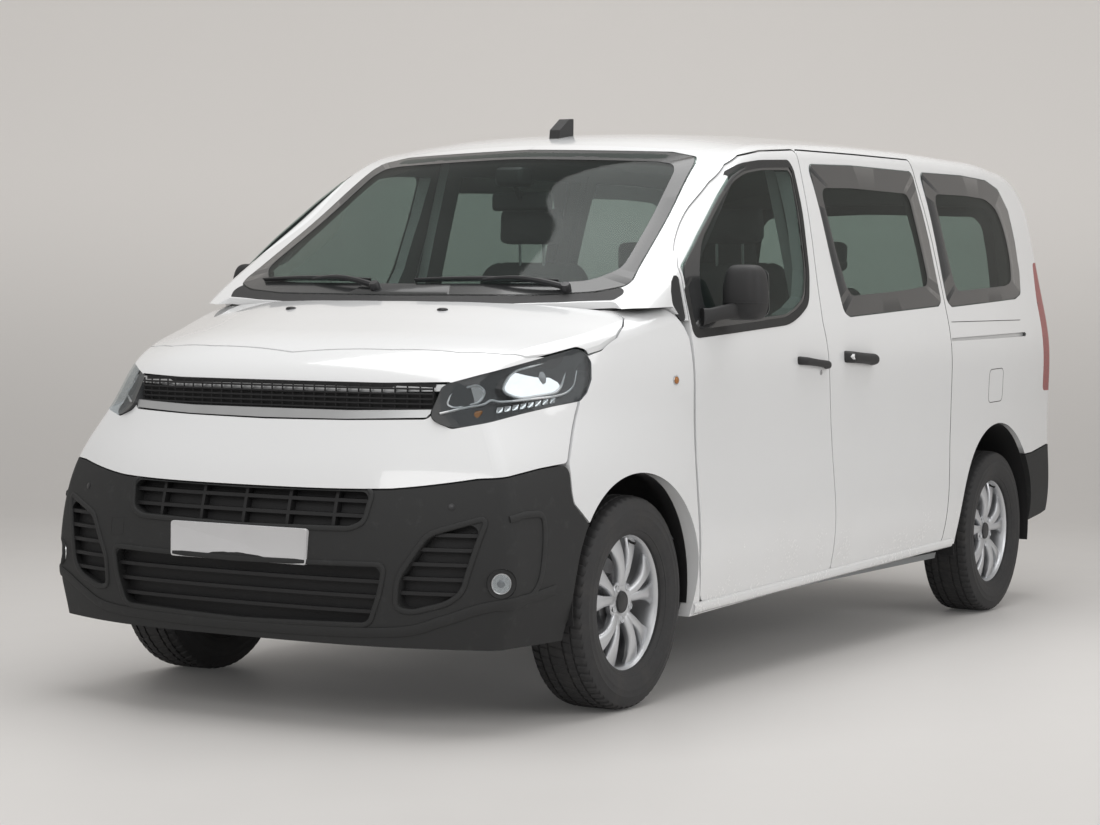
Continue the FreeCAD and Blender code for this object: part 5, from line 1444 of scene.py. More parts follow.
@dataclass
class Windscreen:
    """Border, wipers, inside mirror and sensor housing of the windscreen."""

    half: Sequence[Point2] = (
        (0.0, 1.322), (0.52, 1.326), (0.70, 1.338), (0.796, 1.362), (0.776, 1.42), (0.684, 1.80),
        (0.664, 1.826),
        (0.56, 1.846), (0.0, 1.862),
    )
    clear: Sequence[Point2] = (
        (0.0, 1.362), (0.50, 1.364), (0.66, 1.378), (0.722, 1.42), (0.712, 1.47), (0.636, 1.770),
        (0.610, 1.796),
        (0.55, 1.806), (0.0, 1.822),
    )
    rear_half: Sequence[Point2] = (
        (0.0, 1.18), (0.60, 1.19), (0.69, 1.24), (0.676, 1.48), (0.64, 1.72), (0.60, 1.79), (0.0, 1.81),
    )
    rear_clear: Sequence[Point2] = (
        (0.0, 1.25), (0.56, 1.26), (0.60, 1.30), (0.588, 1.48), (0.556, 1.68), (0.52, 1.725), (0.0, 1.74),
    )
    pivots: Sequence[Point2] = ((0.60, 0.02), (-0.10, -0.68))
    CAP = ((0.0, 0.014), (0.014, 0.013), (0.018, 0.006), (0.019, -0.012), (0.0, -0.012))
    ARM_HEIGHT = 1.345
    BLADE_HEIGHT = 1.367
    BLADE_END = 0.72
    ARM_STEPS = 12
    BLADE_STEPS = 20

    def _wiper(self, name: str, pivot: float, tip: float) -> None:
        """One wiper: spindle cap, arm, and blade with its rubber, along the foot of the glass.

        Args:
            name: The piece's name.
            pivot: The width at which its spindle stands.
            tip: The width towards which it points.
        """
        skin = Skin("windscreen_glass", "exterior_trim", "bonnet")
        parts = []
        foot = skin.front(pivot, self.ARM_HEIGHT)
        if foot is None:
            return
        base = foot[0] + foot[1] * 0.012
        parts.append(Maker.lathe("cap", self.CAP, base, foot[1], 20))
        run = 1 if tip > pivot else -1
        mid = pivot + (tip - pivot) * 0.52
        arm = []
        for k in range(self.ARM_STEPS + 1):
            t = k / self.ARM_STEPS
            y = pivot + (mid - pivot) * t
            found = skin.front(y, self.ARM_HEIGHT + 0.022 * math.sin(math.pi * t * 0.5))
            if found is not None:
                arm.append(found[0] + found[1] * (0.012 + 0.014 * math.sin(math.pi * t)))
        widths = [0.011 - 0.005 * k / max(1, len(arm) - 1) for k in range(len(arm))]
        parts.append(Maker.tube("arm", arm, widths, 8))
        blade = []
        for k in range(self.BLADE_STEPS + 1):
            t = k / self.BLADE_STEPS
            y = mid - run * 0.26 + run * (0.56 if run > 0 else 0.52) * t
            if abs(y) > self.BLADE_END:
                continue
            found = skin.front(y, self.BLADE_HEIGHT + 0.004 * math.sin(math.pi * t))
            if found is not None:
                blade.append((found[0], found[1]))
        spine = [p + n * 0.013 for p, n in blade]
        parts.append(
            Maker.tube(
                "spine", spine,
                [
                    0.0035 + 0.0045 * math.sin(math.pi * k / max(1, len(spine) - 1))
                    for k in range(len(spine))
                ],
                8,
            )
        )
        lips = [
            [p + n * 0.0125 + Vector((0, 0, 0.002)), p + n * 0.0125 - Vector((0, 0, 0.002)), p + n * 0.0012]
            for p, n in blade
        ]
        parts.append(Maker.rings("rubber", lips))
        Maker.settle(Maker.join(name, parts), Body.ROOT, Finishes.TRIM)

    def build(self) -> None:
        """Makes the pieces on the windscreen and the rear window."""
        screen = Skin("windscreen_glass")
        out, inner = Outline.matched(
            Maker.rounded(Outline.both(self.half), 0.03), Maker.rounded(Outline.both(self.clear), 0.06, 8),
            260,
        )
        out = [(y * 0.994, 1.59 + (z - 1.59) * 0.99) for y, z in out]
        border = screen.band("windscreen_border", out, inner, screen.front, -0.0005, 0.0012)
        Maker.settle(border, Body.ROOT, Finishes.FRIT, 50)
        rear = Skin("tailgate_glass")
        out, inner = Outline.matched(
            Maker.rounded(Outline.both(self.rear_half), 0.05),
            Maker.rounded(Outline.both(self.rear_clear), 0.06, 8), 220,
        )
        out = [(y * 0.99, 1.495 + (z - 1.495) * 0.985) for y, z in out]
        Maker.settle(
            rear.band("tailgate_glass_border", out, inner, rear.back, -0.0005, 0.0012), Body.TAILGATE,
            Finishes.FRIT, 50,
        )
        for i, (pivot, tip) in enumerate(self.pivots):
            self._wiper(f"wiper_{i + 1}", pivot, tip)
        self._mirror(screen)

    def _mirror(self, screen: Skin) -> None:
        """The inside mirror on its stem, below the sensor housing.

        Args:
            screen: The windscreen's skin.
        """
        found = screen.front(0.0, 1.775)
        if found is None:
            return
        point, normal = found
        inside = point - normal * 0.010

        def box(name: str, x: Point2, half: float, z: Point2, edge: float, steps: int) -> bpy.types.Object:
            """A rounded block between two lengths and two heights from the foot of the stem."""
            low, high = (inside.x - x[0], -half, inside.z + z[0]), (inside.x - x[1], half, inside.z + z[1])
            return Maker.block(name, low, high, edge, steps)

        pod = box("pod", (0.105, 0.012), 0.060, (-0.045, 0.025), 0.020, 4)
        bend = ((-0.06, 0, -0.03), (-0.085, 0, -0.07), (-0.10, 0, -0.085))
        stem = Maker.tube("stem", [inside + Vector(step) for step in bend], 0.009, 12)
        head = box("head", (0.135, 0.100), 0.125, (-0.130, -0.062), 0.016, 4)
        Maker.joined("inside_mirror", [pod, stem, head], Body.ROOT, Finishes.TRIM)
        pane = box("inside_mirror_glass", (0.1368, 0.1335), 0.115, (-0.122, -0.070), 0.0012, 2)
        Maker.settle(pane, Body.ROOT, Finishes.MIRROR)


class WheelEnd(Enum):
    """The four wheels: body, side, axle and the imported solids' words."""

    FRONT_LEFT = (Body.FRONT_WHEEL_LEFT, Side.LEFT, AXLE_X, "front", "left")
    FRONT_RIGHT = (Body.FRONT_WHEEL_RIGHT, Side.RIGHT, AXLE_X, "front", "right")
    REAR_LEFT = (Body.REAR_WHEEL_LEFT, Side.LEFT, REAR_AXLE_X, "rear", "left")
    REAR_RIGHT = (Body.REAR_WHEEL_RIGHT, Side.RIGHT, REAR_AXLE_X, "rear", "right")


@dataclass
class Wheel:
    """One road wheel: sculpted rim with five pairs of spokes, brake disc and treaded tyre."""

    HUB = (
        (0.0, 0.030), (0.060, 0.030), (0.069, 0.040), (0.071, 0.052), (0.066, 0.0580), (0.056, 0.0600),
        (0.040, 0.0590), (0.036, 0.0560), (0.0, 0.0560),
    )
    CAP = (
        (0.0, 0.046), (0.0345, 0.046), (0.0352, 0.0600), (0.0335, 0.0625), (0.0300, 0.0635),
        (0.0285, 0.0625), (0.0200, 0.0640), (0.0, 0.0648),
    )
    DISC = (
        (0.142, -0.0440), (0.142, -0.0360), (0.139, -0.0360), (0.139, -0.0290), (0.142, -0.0290),
        (0.142, -0.0210), (0.095, -0.0205), (0.090, -0.0160), (0.088, 0.0220), (0.070, 0.0240),
        (0.0, 0.0240), (0.0, -0.0440),
    )
    BOLT_CIRCLE = 0.0560
    POCKET = ((0.0108, 0.0), (0.0120, 0.0150), (0.0105, 0.0165), (0.0088, 0.0150), (0.0085, 0.0))
    BOLT = ((0.0082, 0.0), (0.0082, 0.016), (0.0070, 0.0185), (0.0045, 0.0185), (0.0040, 0.0160))
    SPOKE_FOOT = 0.046
    SPOKE_END = 0.2115
    CROWN = 0.3438
    CROWN_RISE = 0.0012
    GROOVE = 0.0062
    GROOVE_LEAN = 0.0010
    end: WheelEnd
    rim: float = 0.2175
    lip: float = 0.2325
    pairs: int = 5
    pitches: int = 64

    def __post_init__(self) -> None:
        """Works out the wheel's middle and its outward direction."""
        self.body, self.side, x, self.axle, self.word = self.end.value
        self.middle = Vector((x, self.side.value * WHEEL_Y, WHEEL_Z))
        self.out = Vector((0, self.side.value, 0))

    def _at(self, radius: float, angle: float, along: float) -> Vector:
        """A point at a radius, an angle and a distance outwards."""
        return self.middle + Vector(
            (math.cos(angle) * radius, 0, math.sin(angle) * radius)
        ) + self.out * along

    def _angle(self, spoke: float) -> float:
        """The angle of a pair of spokes, or between two pairs, from its number."""
        return math.tau * spoke / self.pairs + math.pi / 2

    def _circle(self, foot: Vector, radius: float, along: float, steps: int) -> list[Vector]:
        """A ring of points about a line that runs outwards from a foot."""
        turn = [math.tau * k / steps for k in range(steps)]
        return [
            foot + self.out * along + Vector((math.cos(t) * radius, 0, math.sin(t) * radius)) for t in turn
        ]

    def _crown(self, along: float, tread: float) -> float:
        """The tread's radius at a distance from the tyre's middle."""
        return self.CROWN + self.CROWN_RISE * (1 - (along / tread) ** 2)

    def _turned(
        self, name: str, outline: Sequence[Point2], steps: int, closed: bool = True
    ) -> bpy.types.Object:
        """A ring or disc turned about the wheel's axis."""
        rings = [[self._at(max(r, 1e-4), math.tau * k / steps, w) for k in range(steps)] for r, w in outline]
        return Maker.rings(name, rings, closed)

    def _spoke(self, middle: float, turn: float) -> bpy.types.Object:
        """One crowned spoke that flares towards the rim, leaning away from its twin.

        Args:
            middle: The angle of its pair.
            turn: 1 or -1, for the way that it leans.

        Returns:
            The spoke.
        """
        stations = 12
        rings = []
        for k in range(stations + 1):
            t = k / stations
            radius = self.SPOKE_FOOT + (self.SPOKE_END - self.SPOKE_FOOT) * t
            lean = turn * (0.118 + 0.155 * t**0.8)
            half = 0.0150 + 0.0040 * t + 0.0205 * max(0.0, t - 0.45) ** 1.5 / 0.55**1.5
            face = 0.056 + 0.016 * math.sin(math.pi * min(1.0, t * 1.05)) ** 0.8 + 0.004 * t
            deep = 0.020 + 0.010 * (1 - t)
            angle = middle + lean
            axis = Vector((math.cos(angle), 0, math.sin(angle)))
            side = Vector((-axis.z, 0, axis.x)) * turn
            centre = self.middle + axis * radius
            section = [
                (-1.0, -deep), (-1.0, -0.006), (-0.86, -0.0005), (-0.35, 0.0016), (0.30, 0.0004),
                (0.80, -0.0030), (1.0, -0.009), (1.0, -deep)
            ]
            rings.append([centre + side * (a * half) + self.out * (face + w) for a, w in section])
        return Maker.rings("spoke", rings)

    def _rim(self) -> None:
        """The rim with its spokes, hub and lug pockets."""
        barrel = [
            (self.lip, 0.0870), (0.2300, 0.0885), (0.2262, 0.0880), (0.2225, 0.0840), (0.2200, 0.0770),
            (0.2130, 0.0715), (0.2085, 0.0640), (0.2060, 0.0300), (0.2000, -0.0600), (0.2100, -0.0770),
            (0.2270, -0.0860), (self.lip, -0.0885), (self.lip, -0.0840), (0.2185, -0.0760),
            (self.rim, -0.0600),
            (self.rim, 0.0560), (0.2230, 0.0740), (0.2290, 0.0800),
        ]
        parts = [self._turned("barrel", barrel, 96)]
        for i in range(self.pairs):
            parts += [self._spoke(self._angle(i), 1.0), self._spoke(self._angle(i), -1.0)]
        parts.append(self._turned("hub", self.HUB, 60, False))
        for i in range(self.pairs):
            foot = self._at(self.BOLT_CIRCLE, self._angle(i + 0.5), 0.046)
            parts.append(Maker.rings("pocket", [self._circle(foot, r, w, 20) for r, w in self.POCKET], True))
        made = Maker.join(f"{self.axle}_rim_{self.word}", parts)
        Maker.bevelled(made, 0.0012, 2, 40)
        Maker.settle(made, self.body, Finishes.WHEEL, 42)
        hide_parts(f"{self.axle}_wheel_{self.word}")

    def _fittings(self) -> None:
        """Wheel bolts, plain cap, valve, and the brake disc behind the spokes."""
        bolts = []
        for i in range(self.pairs):
            foot = self._at(self.BOLT_CIRCLE, self._angle(i + 0.5), 0.040)
            bolts.append(Maker.rings("bolt", [self._circle(foot, r, w, 6) for r, w in self.BOLT]))
        made = Maker.join(f"{self.axle}_wheel_bolts_{self.word}", bolts)
        Maker.settle(Maker.bevelled(made, 0.0006, 2), self.body, Finishes.STEEL)
        Maker.settle(
            self._turned(f"{self.axle}_wheel_cap_{self.word}", self.CAP, 48, False), self.body,
            Finishes.TRIM,
        )
        Maker.settle(
            self._turned(f"{self.axle}_brake_disc_{self.word}", self.DISC, 72, False), self.body,
            Finishes.STEEL,
        )
        angle = math.pi / 2 + 0.16
        valve = [self._at(0.200, angle, 0.060), self._at(0.193, angle, 0.074), self._at(0.190, angle, 0.088)]
        Maker.settle(
            Maker.tube(f"{self.axle}_valve_{self.word}", valve, [0.0042, 0.0040, 0.0046], 12), self.body,
            Finishes.SEAL,
        )

    def _tyre(self) -> None:
        """The tyre: ribbed side walls, four grooves round it and cross grooves in its blocks."""
        tread = 0.0880
        side = [
            (0.2185, 0.0840), (0.2240, 0.0905), (0.2330, 0.0940), (0.2345, 0.0965), (0.2400, 0.0972),
            (0.2440, 0.1000),
            (0.2600, 0.1040), (0.2780, 0.1065), (0.2800, 0.1072), (0.2830, 0.1066), (0.2990, 0.1058),
            (0.3010, 0.1064),
            (0.3030, 0.1052), (0.3150, 0.1020), (0.3240, 0.0985), (0.3300, 0.0962),
        ]
        shoulder = [(0.3355, 0.0925, 1), (0.3392, 0.0870, 1), (0.3415, 0.0800, 1), (0.3428, 0.0700, 1)]
        blocks = []
        edges = [0.0640, 0.0560, 0.0310, 0.0230, -0.0230, -0.0310, -0.0560, -0.0640]
        zone = 1
        for k, w in enumerate(edges):
            crown = self._crown(w, tread)
            if k % 2 == 0:
                blocks += [(crown, w, zone), (crown - self.GROOVE, w - self.GROOVE_LEAN, 0)]
                zone += 1
            else:
                blocks += [(crown - self.GROOVE, w + self.GROOVE_LEAN, 0), (crown, w, zone)]
                if k < len(edges) - 1:
                    mid = (w + edges[k + 1]) / 2
                    blocks.append((self._crown(mid, tread), mid, zone))
        outline = [(r, w, 0) for r, w in side] + shoulder + blocks
        outline += [(r, -w, 5) for r, w, _ in reversed(shoulder)] + [(r, -w, 0) for r, w in reversed(side)]
        outline += [(0.2165, -0.0700, 0), (0.2165, 0.0700, 0)]
        shares = (0.0, 0.10, 0.50, 0.90)
        rings_by_angle: list[list[Vector]] = []
        for p in range(self.pitches):
            for q, share in enumerate(shares):
                ring = []
                for r, w, zone in outline:
                    deep = 0.0
                    shift = {1: 0.0, 2: 0.35, 3: 0.5, 4: 0.15, 5: 0.5}.get(zone, 0.0)
                    angle = math.tau * (p + share + shift) / self.pitches
                    if zone and q in (0, 1):
                        deep = 0.0052 if zone in (1, 5) else 0.0030
                    ring.append(self._at(r - deep, angle - (0.05 * w / tread if zone else 0.0), w))
                rings_by_angle.append(ring)
        made = Maker.rings(f"{self.axle}_treaded_tyre_{self.word}", rings_by_angle, True)
        Maker.settle(made, self.body, Finishes.TYRE, 32)
        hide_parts(f"{self.axle}_tyre_{self.word}")

    def build(self) -> None:
        """Makes the wheel and its tyre."""
        self._rim()
        self._fittings()
        self._tyre()


@dataclass
class Headlamp:
    """One headlamp behind its clear cover: dark bowl, two reflectors, light strip and indicator."""

    side: Side
    facing: float = math.radians(40.0)
    outline: Sequence[Point2] = (
        (-0.0060, 0.9470), (0.0620, 0.9171), (0.1670, 0.9369), (0.2830, 0.9609), (0.3960, 0.9820),
        (0.4940, 0.9961),
        (0.5200, 1.0221), (0.5370, 1.0620), (0.5380, 1.1170), (0.5160, 1.1521), (0.4860, 1.1600),
        (0.3920, 1.1380),
        (0.2880, 1.1120), (0.1570, 1.0800), (0.0570, 1.0521), (0.0400, 1.0399),
    )
    outer: Sequence[Point2] = (
        (0.222, 1.030), (0.262, 1.090), (0.420, 1.126), (0.452, 1.108), (0.424, 1.024), (0.280, 1.006)
    )
    inner: Sequence[Point2] = (
        (0.052, 0.988), (0.072, 1.028), (0.152, 1.050), (0.176, 1.030), (0.156, 0.996), (0.078, 0.978)
    )
    strip: Sequence[Point2] = (
        (0.030, 0.962), (0.100, 0.978), (0.164, 0.990), (0.190, 1.002), (0.228, 0.998), (0.330, 1.006),
        (0.425, 1.016), (0.470, 1.040), (0.486, 1.090),
    )
    bowl_stages: Sequence[Point2] = (
        (0.995, 0.0100), (0.985, 0.0260), (0.955, 0.0460), (0.80, 0.0560), (0.40, 0.0600), (0.02, 0.0600),
        (0.02, 0.0700), (0.97, 0.0700), (0.998, 0.0120),
    )
    reflector_stages: Sequence[Point2] = (
        (1.0, 0.0200), (0.97, 0.0200), (0.90, 0.0330), (0.72, 0.0450), (0.45, 0.0520), (0.20, 0.0545),
        (0.20, 0.0560), (0.98, 0.0500),
    )
    amber_stages: Sequence[Point2] = (
        (1.0, 0.0240), (0.9, 0.0190), (0.5, 0.0170), (0.05, 0.0165), (0.05, 0.030), (1.0, 0.0320),
    )
    amber: Sequence[Point2] = ((0.080, 0.950), (0.116, 0.968), (0.168, 0.974), (0.150, 0.948), (0.094, 0.936))

    def __post_init__(self) -> None:
        """Fits the depth of the cover's inner face over the lamp."""
        skin = Skin("headlamp_lenses")
        rows, depths = [], []
        run = self._place(0, 0, 1) - self._place(0, 0, 0)
        for i in range(30):
            for j in range(16):
                a, z = 0.018 * i, 0.93 + 0.014 * j
                found = skin.hit(self._place(a, z, 1.6), -run)
                if found is not None:
                    rows.append([1.0, a, z, a * a, a * z])
                    depths.append((found[0] - self._place(a, z, 0)).dot(run))
        self.fit = np.linalg.lstsq(np.array(rows), np.array(depths), rcond=None)[0]

    def _place(self, across: float, up: float, depth: float) -> Vector:
        """A point from its place across the lamp, its height and its depth."""
        s, c = math.sin(self.facing), math.cos(self.facing)
        return Vector((AXLE_X - across * s + depth * c, self.side.value * (across * c + depth * s), up))

    def at(self, across: float, up: float, behind: float) -> Vector:
        """A point that far behind the cover's outer face."""
        depth = float(self.fit @ np.array([1.0, across, up, across * across, across * up]))
        return self._place(across, up, depth - behind)

    def _bowl(
        self, name: str, outline: Sequence[Point2], stages: Sequence[tuple[float, float]]
    ) -> bpy.types.Object:
        """A bowl of rings, each the outline shrunk by a share and pushed back.

        Args:
            name: The piece's name.
            outline: The outline across the lamp.
            stages: The share and the depth of each ring.

        Returns:
            The bowl.
        """
        flat = Maker.dense(Maker.rounded(outline, 0.030, 6), 0.012)
        middle = (sum(p[0] for p in flat) / len(flat), sum(p[1] for p in flat) / len(flat))
        rings = []
        for share, behind in stages:
            rings.append(
                [
                    self.at(
                        middle[0] + (a - middle[0]) * share, middle[1] + (z - middle[1]) * share, behind
                    )
                    for a, z in flat
                ]
            )
        return Maker.rings(name, rings)

    def _line(
        self, name: str, points: Sequence[Point2], behind: float, radius: float, closed: bool = False
    ) -> bpy.types.Object:
        """A bright round edge along a line.

        Args:
            name: The piece's name.
            points: The line across the lamp.
            behind: How far behind the cover it lies.
            radius: Its radius.
            closed: Whether it is a loop.

        Returns:
            The edge.
        """
        flat = Maker.dense(Maker.rounded(points, 0.03, 6), 0.008) if closed else [
            (p.x, p.y) for p in Maker.curve([(a, z, 0) for a, z in points], 10)
        ]
        return Maker.tube(name, [self.at(a, z, behind) for a, z in flat], radius, 8, closed)

    def build(self) -> None:
        """Makes the lamp's pieces."""
        word = self.side.word
        bowl = self._bowl(f"headlamp_bowl_{word}", self.outline, self.bowl_stages)
        Maker.settle(bowl, Body.ROOT, Finishes.LAMP_BODY, 50)
        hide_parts("headlamp_housings")
        bright = [
            self._bowl("reflector", outline, self.reflector_stages) for outline in (self.outer, self.inner)
        ]
        Maker.joined(f"headlamp_reflectors_{word}", bright, Body.ROOT, Finishes.REFLECTOR, 60)
        rims = [
            self._line("rim", self.outer, 0.0185, 0.0046, True),
            self._line("rim", self.inner, 0.0185, 0.0038, True),
            self._line("guide", self.strip, 0.0150, 0.0042)
        ]
        Maker.joined(f"headlamp_rims_{word}", rims, Body.ROOT, Finishes.CHROME, 60)
        lens = []
        for outline, share in ((self.outer, 0.30), (self.inner, 0.34)):
            a = sum(p[0] for p in outline) / len(outline)
            z = sum(p[1] for p in outline) / len(outline)
            run = self.at(a, z, 0) - self.at(a, z, 1)
            size = 0.115 * share
            lens.append(
                Maker.lathe(
                    "shade",
                    [
                        (0.0, 0.0), (size, 0.0), (size, 0.012), (size * 0.8, 0.0175), (size * 0.3, 0.0200),
                        (0.0, 0.0205)
                    ],
                    self.at(a, z, 0.052), run, 28,
                )
            )
        Maker.joined(f"headlamp_shades_{word}", lens, Body.ROOT, Finishes.STEEL, 40)
        cells = []
        for i in range(8):
            t = i / 7
            a, z = 0.216 + 0.180 * t, 0.972 + 0.026 * t
            corners = [
                (a - 0.010, z - 0.009), (a + 0.010, z - 0.006), (a + 0.013, z + 0.011),
                (a - 0.007, z + 0.008)
            ]
            front = [self.at(p, q, 0.018 + 0.006 * (k % 2)) for k, (p, q) in enumerate(corners)]
            back = [self.at(p, q, 0.040) for p, q in corners]
            cells.append(Maker.bevelled(Maker.rings("cell", [front, back]), 0.0014, 2))
        Maker.joined(f"headlamp_light_cells_{word}", cells, Body.ROOT, Finishes.REFLECTOR, 30)
        amber = self._bowl(f"headlamp_indicator_{word}", self.amber, self.amber_stages)
        Maker.settle(amber, Body.ROOT, Finishes.AMBER, 40)


@dataclass(frozen=True)
class BlankPlate:
    """A blank number plate with round corners and a pressed edge, in place of its plain solid."""

    name: str
    node: str
    body: Body
    out: int
    face: float
    corners: Sequence[Point2]
    radius: float = 0.012
    steps: Sequence[Point2] = ((0.0, 0.0028), (-0.0012, 0.0012), (-0.005, 0.0012), (-0.0075, 0.0022))

    def build(self) -> None:
        """Makes the plate from the back of its solid out to its face."""
        flat = Maker.rounded(self.corners, self.radius)
        foot = min(v.co.x * self.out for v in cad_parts[self.node].data.vertices) * self.out
        rings = [[Vector((foot, y, z)) for y, z in flat]]
        for grow, below in self.steps:
            ring = Outline.grown(flat, grow) if grow else flat
            rings.append([Vector((self.face - self.out * below, y, z)) for y, z in ring])
        made = Maker.rings(self.name, rings)
        Maker.settle(made, self.body, Finishes.PLATE, 50)
        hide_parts(self.node)


@dataclass
class Nose:
    """Lattice, lips, fog lamps, plate and small covers of the front."""

    upper: Sequence[Point2] = ((0.0, 0.722), (0.452, 0.727), (0.438, 0.640), (0.400, 0.622), (0.0, 0.614))
    lower: Sequence[Point2] = ((0.0, 0.498), (0.512, 0.506), (0.500, 0.430), (0.464, 0.334), (0.0, 0.322))
    side_intake: Sequence[Point2] = (
        (0.560, 0.388), (0.566, 0.470), (0.640, 0.590), (0.662, 0.606), (0.795, 0.650), (0.740, 0.440),
        (0.700, 0.408), (0.600, 0.380),
    )
    fog: tuple[float, float, float] = (2.309, 0.851, 0.464)
    fog_facing: float = math.radians(48.0)
    PLATE_FACE = 2.4828
    PLATE_CORNERS = ((-0.260, 0.4985), (0.260, 0.4985), (0.260, 0.6095), (-0.260, 0.6095))

    def _around(self, skin: Skin) -> Look:
        """Finds the skin by an angle about a post inside the nose, and a height.

        Args:
            skin: The skin.

        Returns:
            The search.
        """

        def look(angle: float, z: float) -> Optional[Spot]:
            """The skin at an angle and a height."""
            run = Vector((math.cos(angle), math.sin(angle), 0))
            return skin.hit(Vector((1.2, 0, z)) + run * 3.0, -run)

        return look

    def _lattice(self) -> None:
        """Thin bars that cross behind the two bright bars of the grille."""
        skin = Skin("grille_bars")
        parts = []
        spine: list[tuple[float, float]] = []
        for k in range(-28, 29):
            y = k * 0.02
            found = skin.front(y, 0.945) or skin.front(y, 0.955)
            spine.append((y, (found[0].x if found else 2.337 - 0.5 * y * y) - 0.030))
        for k in range(6):
            z = 0.958 + 0.0155 * k
            line = [Vector((x, y, z)) for y, x in spine]
            parts.append(Maker.tube("bar", line, 0.0032, 6))
        for y, x in spine[::2]:
            parts.append(
                Maker.tube("rib", [Vector((x - 0.004, y, 0.944)), Vector((x - 0.004, y, 1.046))], 0.0028, 6)
            )
        rings = [
            [
                Vector((x - 0.016, y, 0.936)), Vector((x - 0.016, y, 1.052)), Vector((x - 0.020, y, 1.052)),
                Vector((x - 0.020, y, 0.936))
            ]
            for y, x in spine
        ]
        parts.append(Maker.rings("back", rings))
        Maker.joined("grille_lattice", parts, Body.ROOT, Finishes.MESH)

    def _lips(self) -> None:
        """Rounded lips round the intakes and the low crease of the bumper."""
        skin = Skin("front_bumper")
        parts = []
        for half in (self.upper, self.lower):
            line = Maker.dense(Maker.rounded(Outline.grown(Outline.both(half), 0.007), 0.03), 0.02)
            parts.append(skin.strip("lip", line, skin.front, 0.016, 0.0045, -0.003, True))
        for sign in (1, -1):
            line = [
                (y * sign, z)
                for y, z in Maker.dense(Maker.rounded(Outline.grown(self.side_intake, 0.008), 0.03), 0.016)
            ]
            parts.append(skin.strip("lip", line, skin.front, 0.017, 0.0050, -0.003, True))
        look = self._around(skin)
        crease = [
            (-0.80, 0.430), (-0.63, 0.395), (-0.53, 0.350), (-0.43, 0.312), (-0.20, 0.300), (0.0, 0.298),
            (0.20, 0.300), (0.43, 0.312), (0.53, 0.350), (0.63, 0.395), (0.80, 0.430)
        ]
        smooth = [(p.x, p.y) for p in Maker.curve([(a, z, 0) for a, z in crease], 14)]
        parts.append(skin.strip("crease", smooth, look, 0.030, 0.0055, -0.004))
        for sign in (1, -1):
            pocket = [
                (0.672, 0.655), (0.725, 0.665), (0.765, 0.640), (0.752, 0.470), (0.700, 0.402),
                (0.610, 0.392)
            ]
            line = [(p.x * sign, p.y) for p in Maker.curve([(a, z, 0) for a, z in pocket], 12)]
            parts.append(skin.strip("pocket", line, look, 0.020, 0.0050, -0.004))
        Maker.joined("bumper_lips", parts, Body.ROOT, Finishes.BUMPER, 60)
        square = [(-0.540, 0.545), (-0.540, 0.602), (-0.480, 0.606), (-0.480, 0.549)]
        line = Maker.dense(Maker.rounded(square, 0.008), 0.01)
        Maker.settle(
            skin.strip("tow_eye_cover_joint", line, skin.front, 0.0022, 0.0006, -0.001, True), Body.ROOT,
            Finishes.SEAL,
        )
        sensors = []
        for y, z in ((0.70, 0.690), (-0.70, 0.690)):
            found = skin.front(y, z)
            if found is not None:
                sensors.append(
                    Maker.lathe(
                        "eye",
                        [(0.0, -0.003), (0.0105, -0.003), (0.0105, 0.0012), (0.009, 0.0020), (0.0, 0.0024)],
                        found[0], found[1], 24,
                    )
                )
        if sensors:
            Maker.joined("parking_sensors", sensors, Body.ROOT, Finishes.TRIM)

    def _fogs(self) -> None:
        """Fog lamps: funnel, reflector, shade and ribbed glass."""
        for side in Side:
            place = Vector((self.fog[0], self.fog[1] * side.value, self.fog[2]))
            run = Vector((math.cos(self.fog_facing), math.sin(self.fog_facing) * side.value, 0))
            found = Skin("fog_lamps").hit(place + run * 1.0, -run)
            face = found[0] if found is not None else place
            up = Vector((0, 0, 1))
            across = run.cross(up)

            def turned(name: str, outline: Sequence[Point2], steps: int = 48) -> bpy.types.Object:
                """A ring about the lamp's own axis.

                Args:
                    name: The piece's name.
                    outline: Its section, as radii and places along the axis.
                    steps: The number of its sides.

                Returns:
                    The ring.
                """
                turns = [math.tau * k / steps for k in range(steps)]
                spokes = [across * math.cos(turn) + up * math.sin(turn) for turn in turns]
                rings = [[face + run * w + spoke * max(r, 1e-4) for spoke in spokes] for r, w in outline]
                return Maker.rings(name, rings, True)

            funnel = turned(
                "fog_funnel_" + side.word,
                [
                    (0.0448, 0.0085), (0.0440, 0.0100), (0.0400, 0.0080), (0.0345, 0.0040),
                    (0.0315, 0.0035), (0.0310, 0.0005), (0.0448, 0.0005)
                ],
            )
            Maker.settle(funnel, Body.ROOT, Finishes.BUMPER, 50)
            ring = turned(
                "fog_ring_" + side.word,
                [(0.0318, 0.0035), (0.0308, 0.0055), (0.0290, 0.0050), (0.0288, 0.0005), (0.0318, 0.0005)],
            )
            Maker.settle(ring, Body.ROOT, Finishes.CHROME, 50)
            bulb = Maker.lathe(
                "fog_shade_" + side.word,
                [(0.0, 0.0), (0.012, 0.0), (0.012, 0.0018), (0.008, 0.0034), (0.0, 0.0040)], face, run, 24,
            )
            Maker.settle(bulb, Body.ROOT, Finishes.STEEL, 40)
            glass = Maker.lathe(
                "fog_glass_" + side.word,
                [
                    (0.0, 0.0046), (0.0286, 0.0044), (0.0286, 0.0052), (0.024, 0.0068), (0.012, 0.0080),
                    (0.0, 0.0084)
                ],
                face, run, 40,
            )
            Maker.settle(glass, Body.ROOT, Finishes.LAMP_COVER, 60)

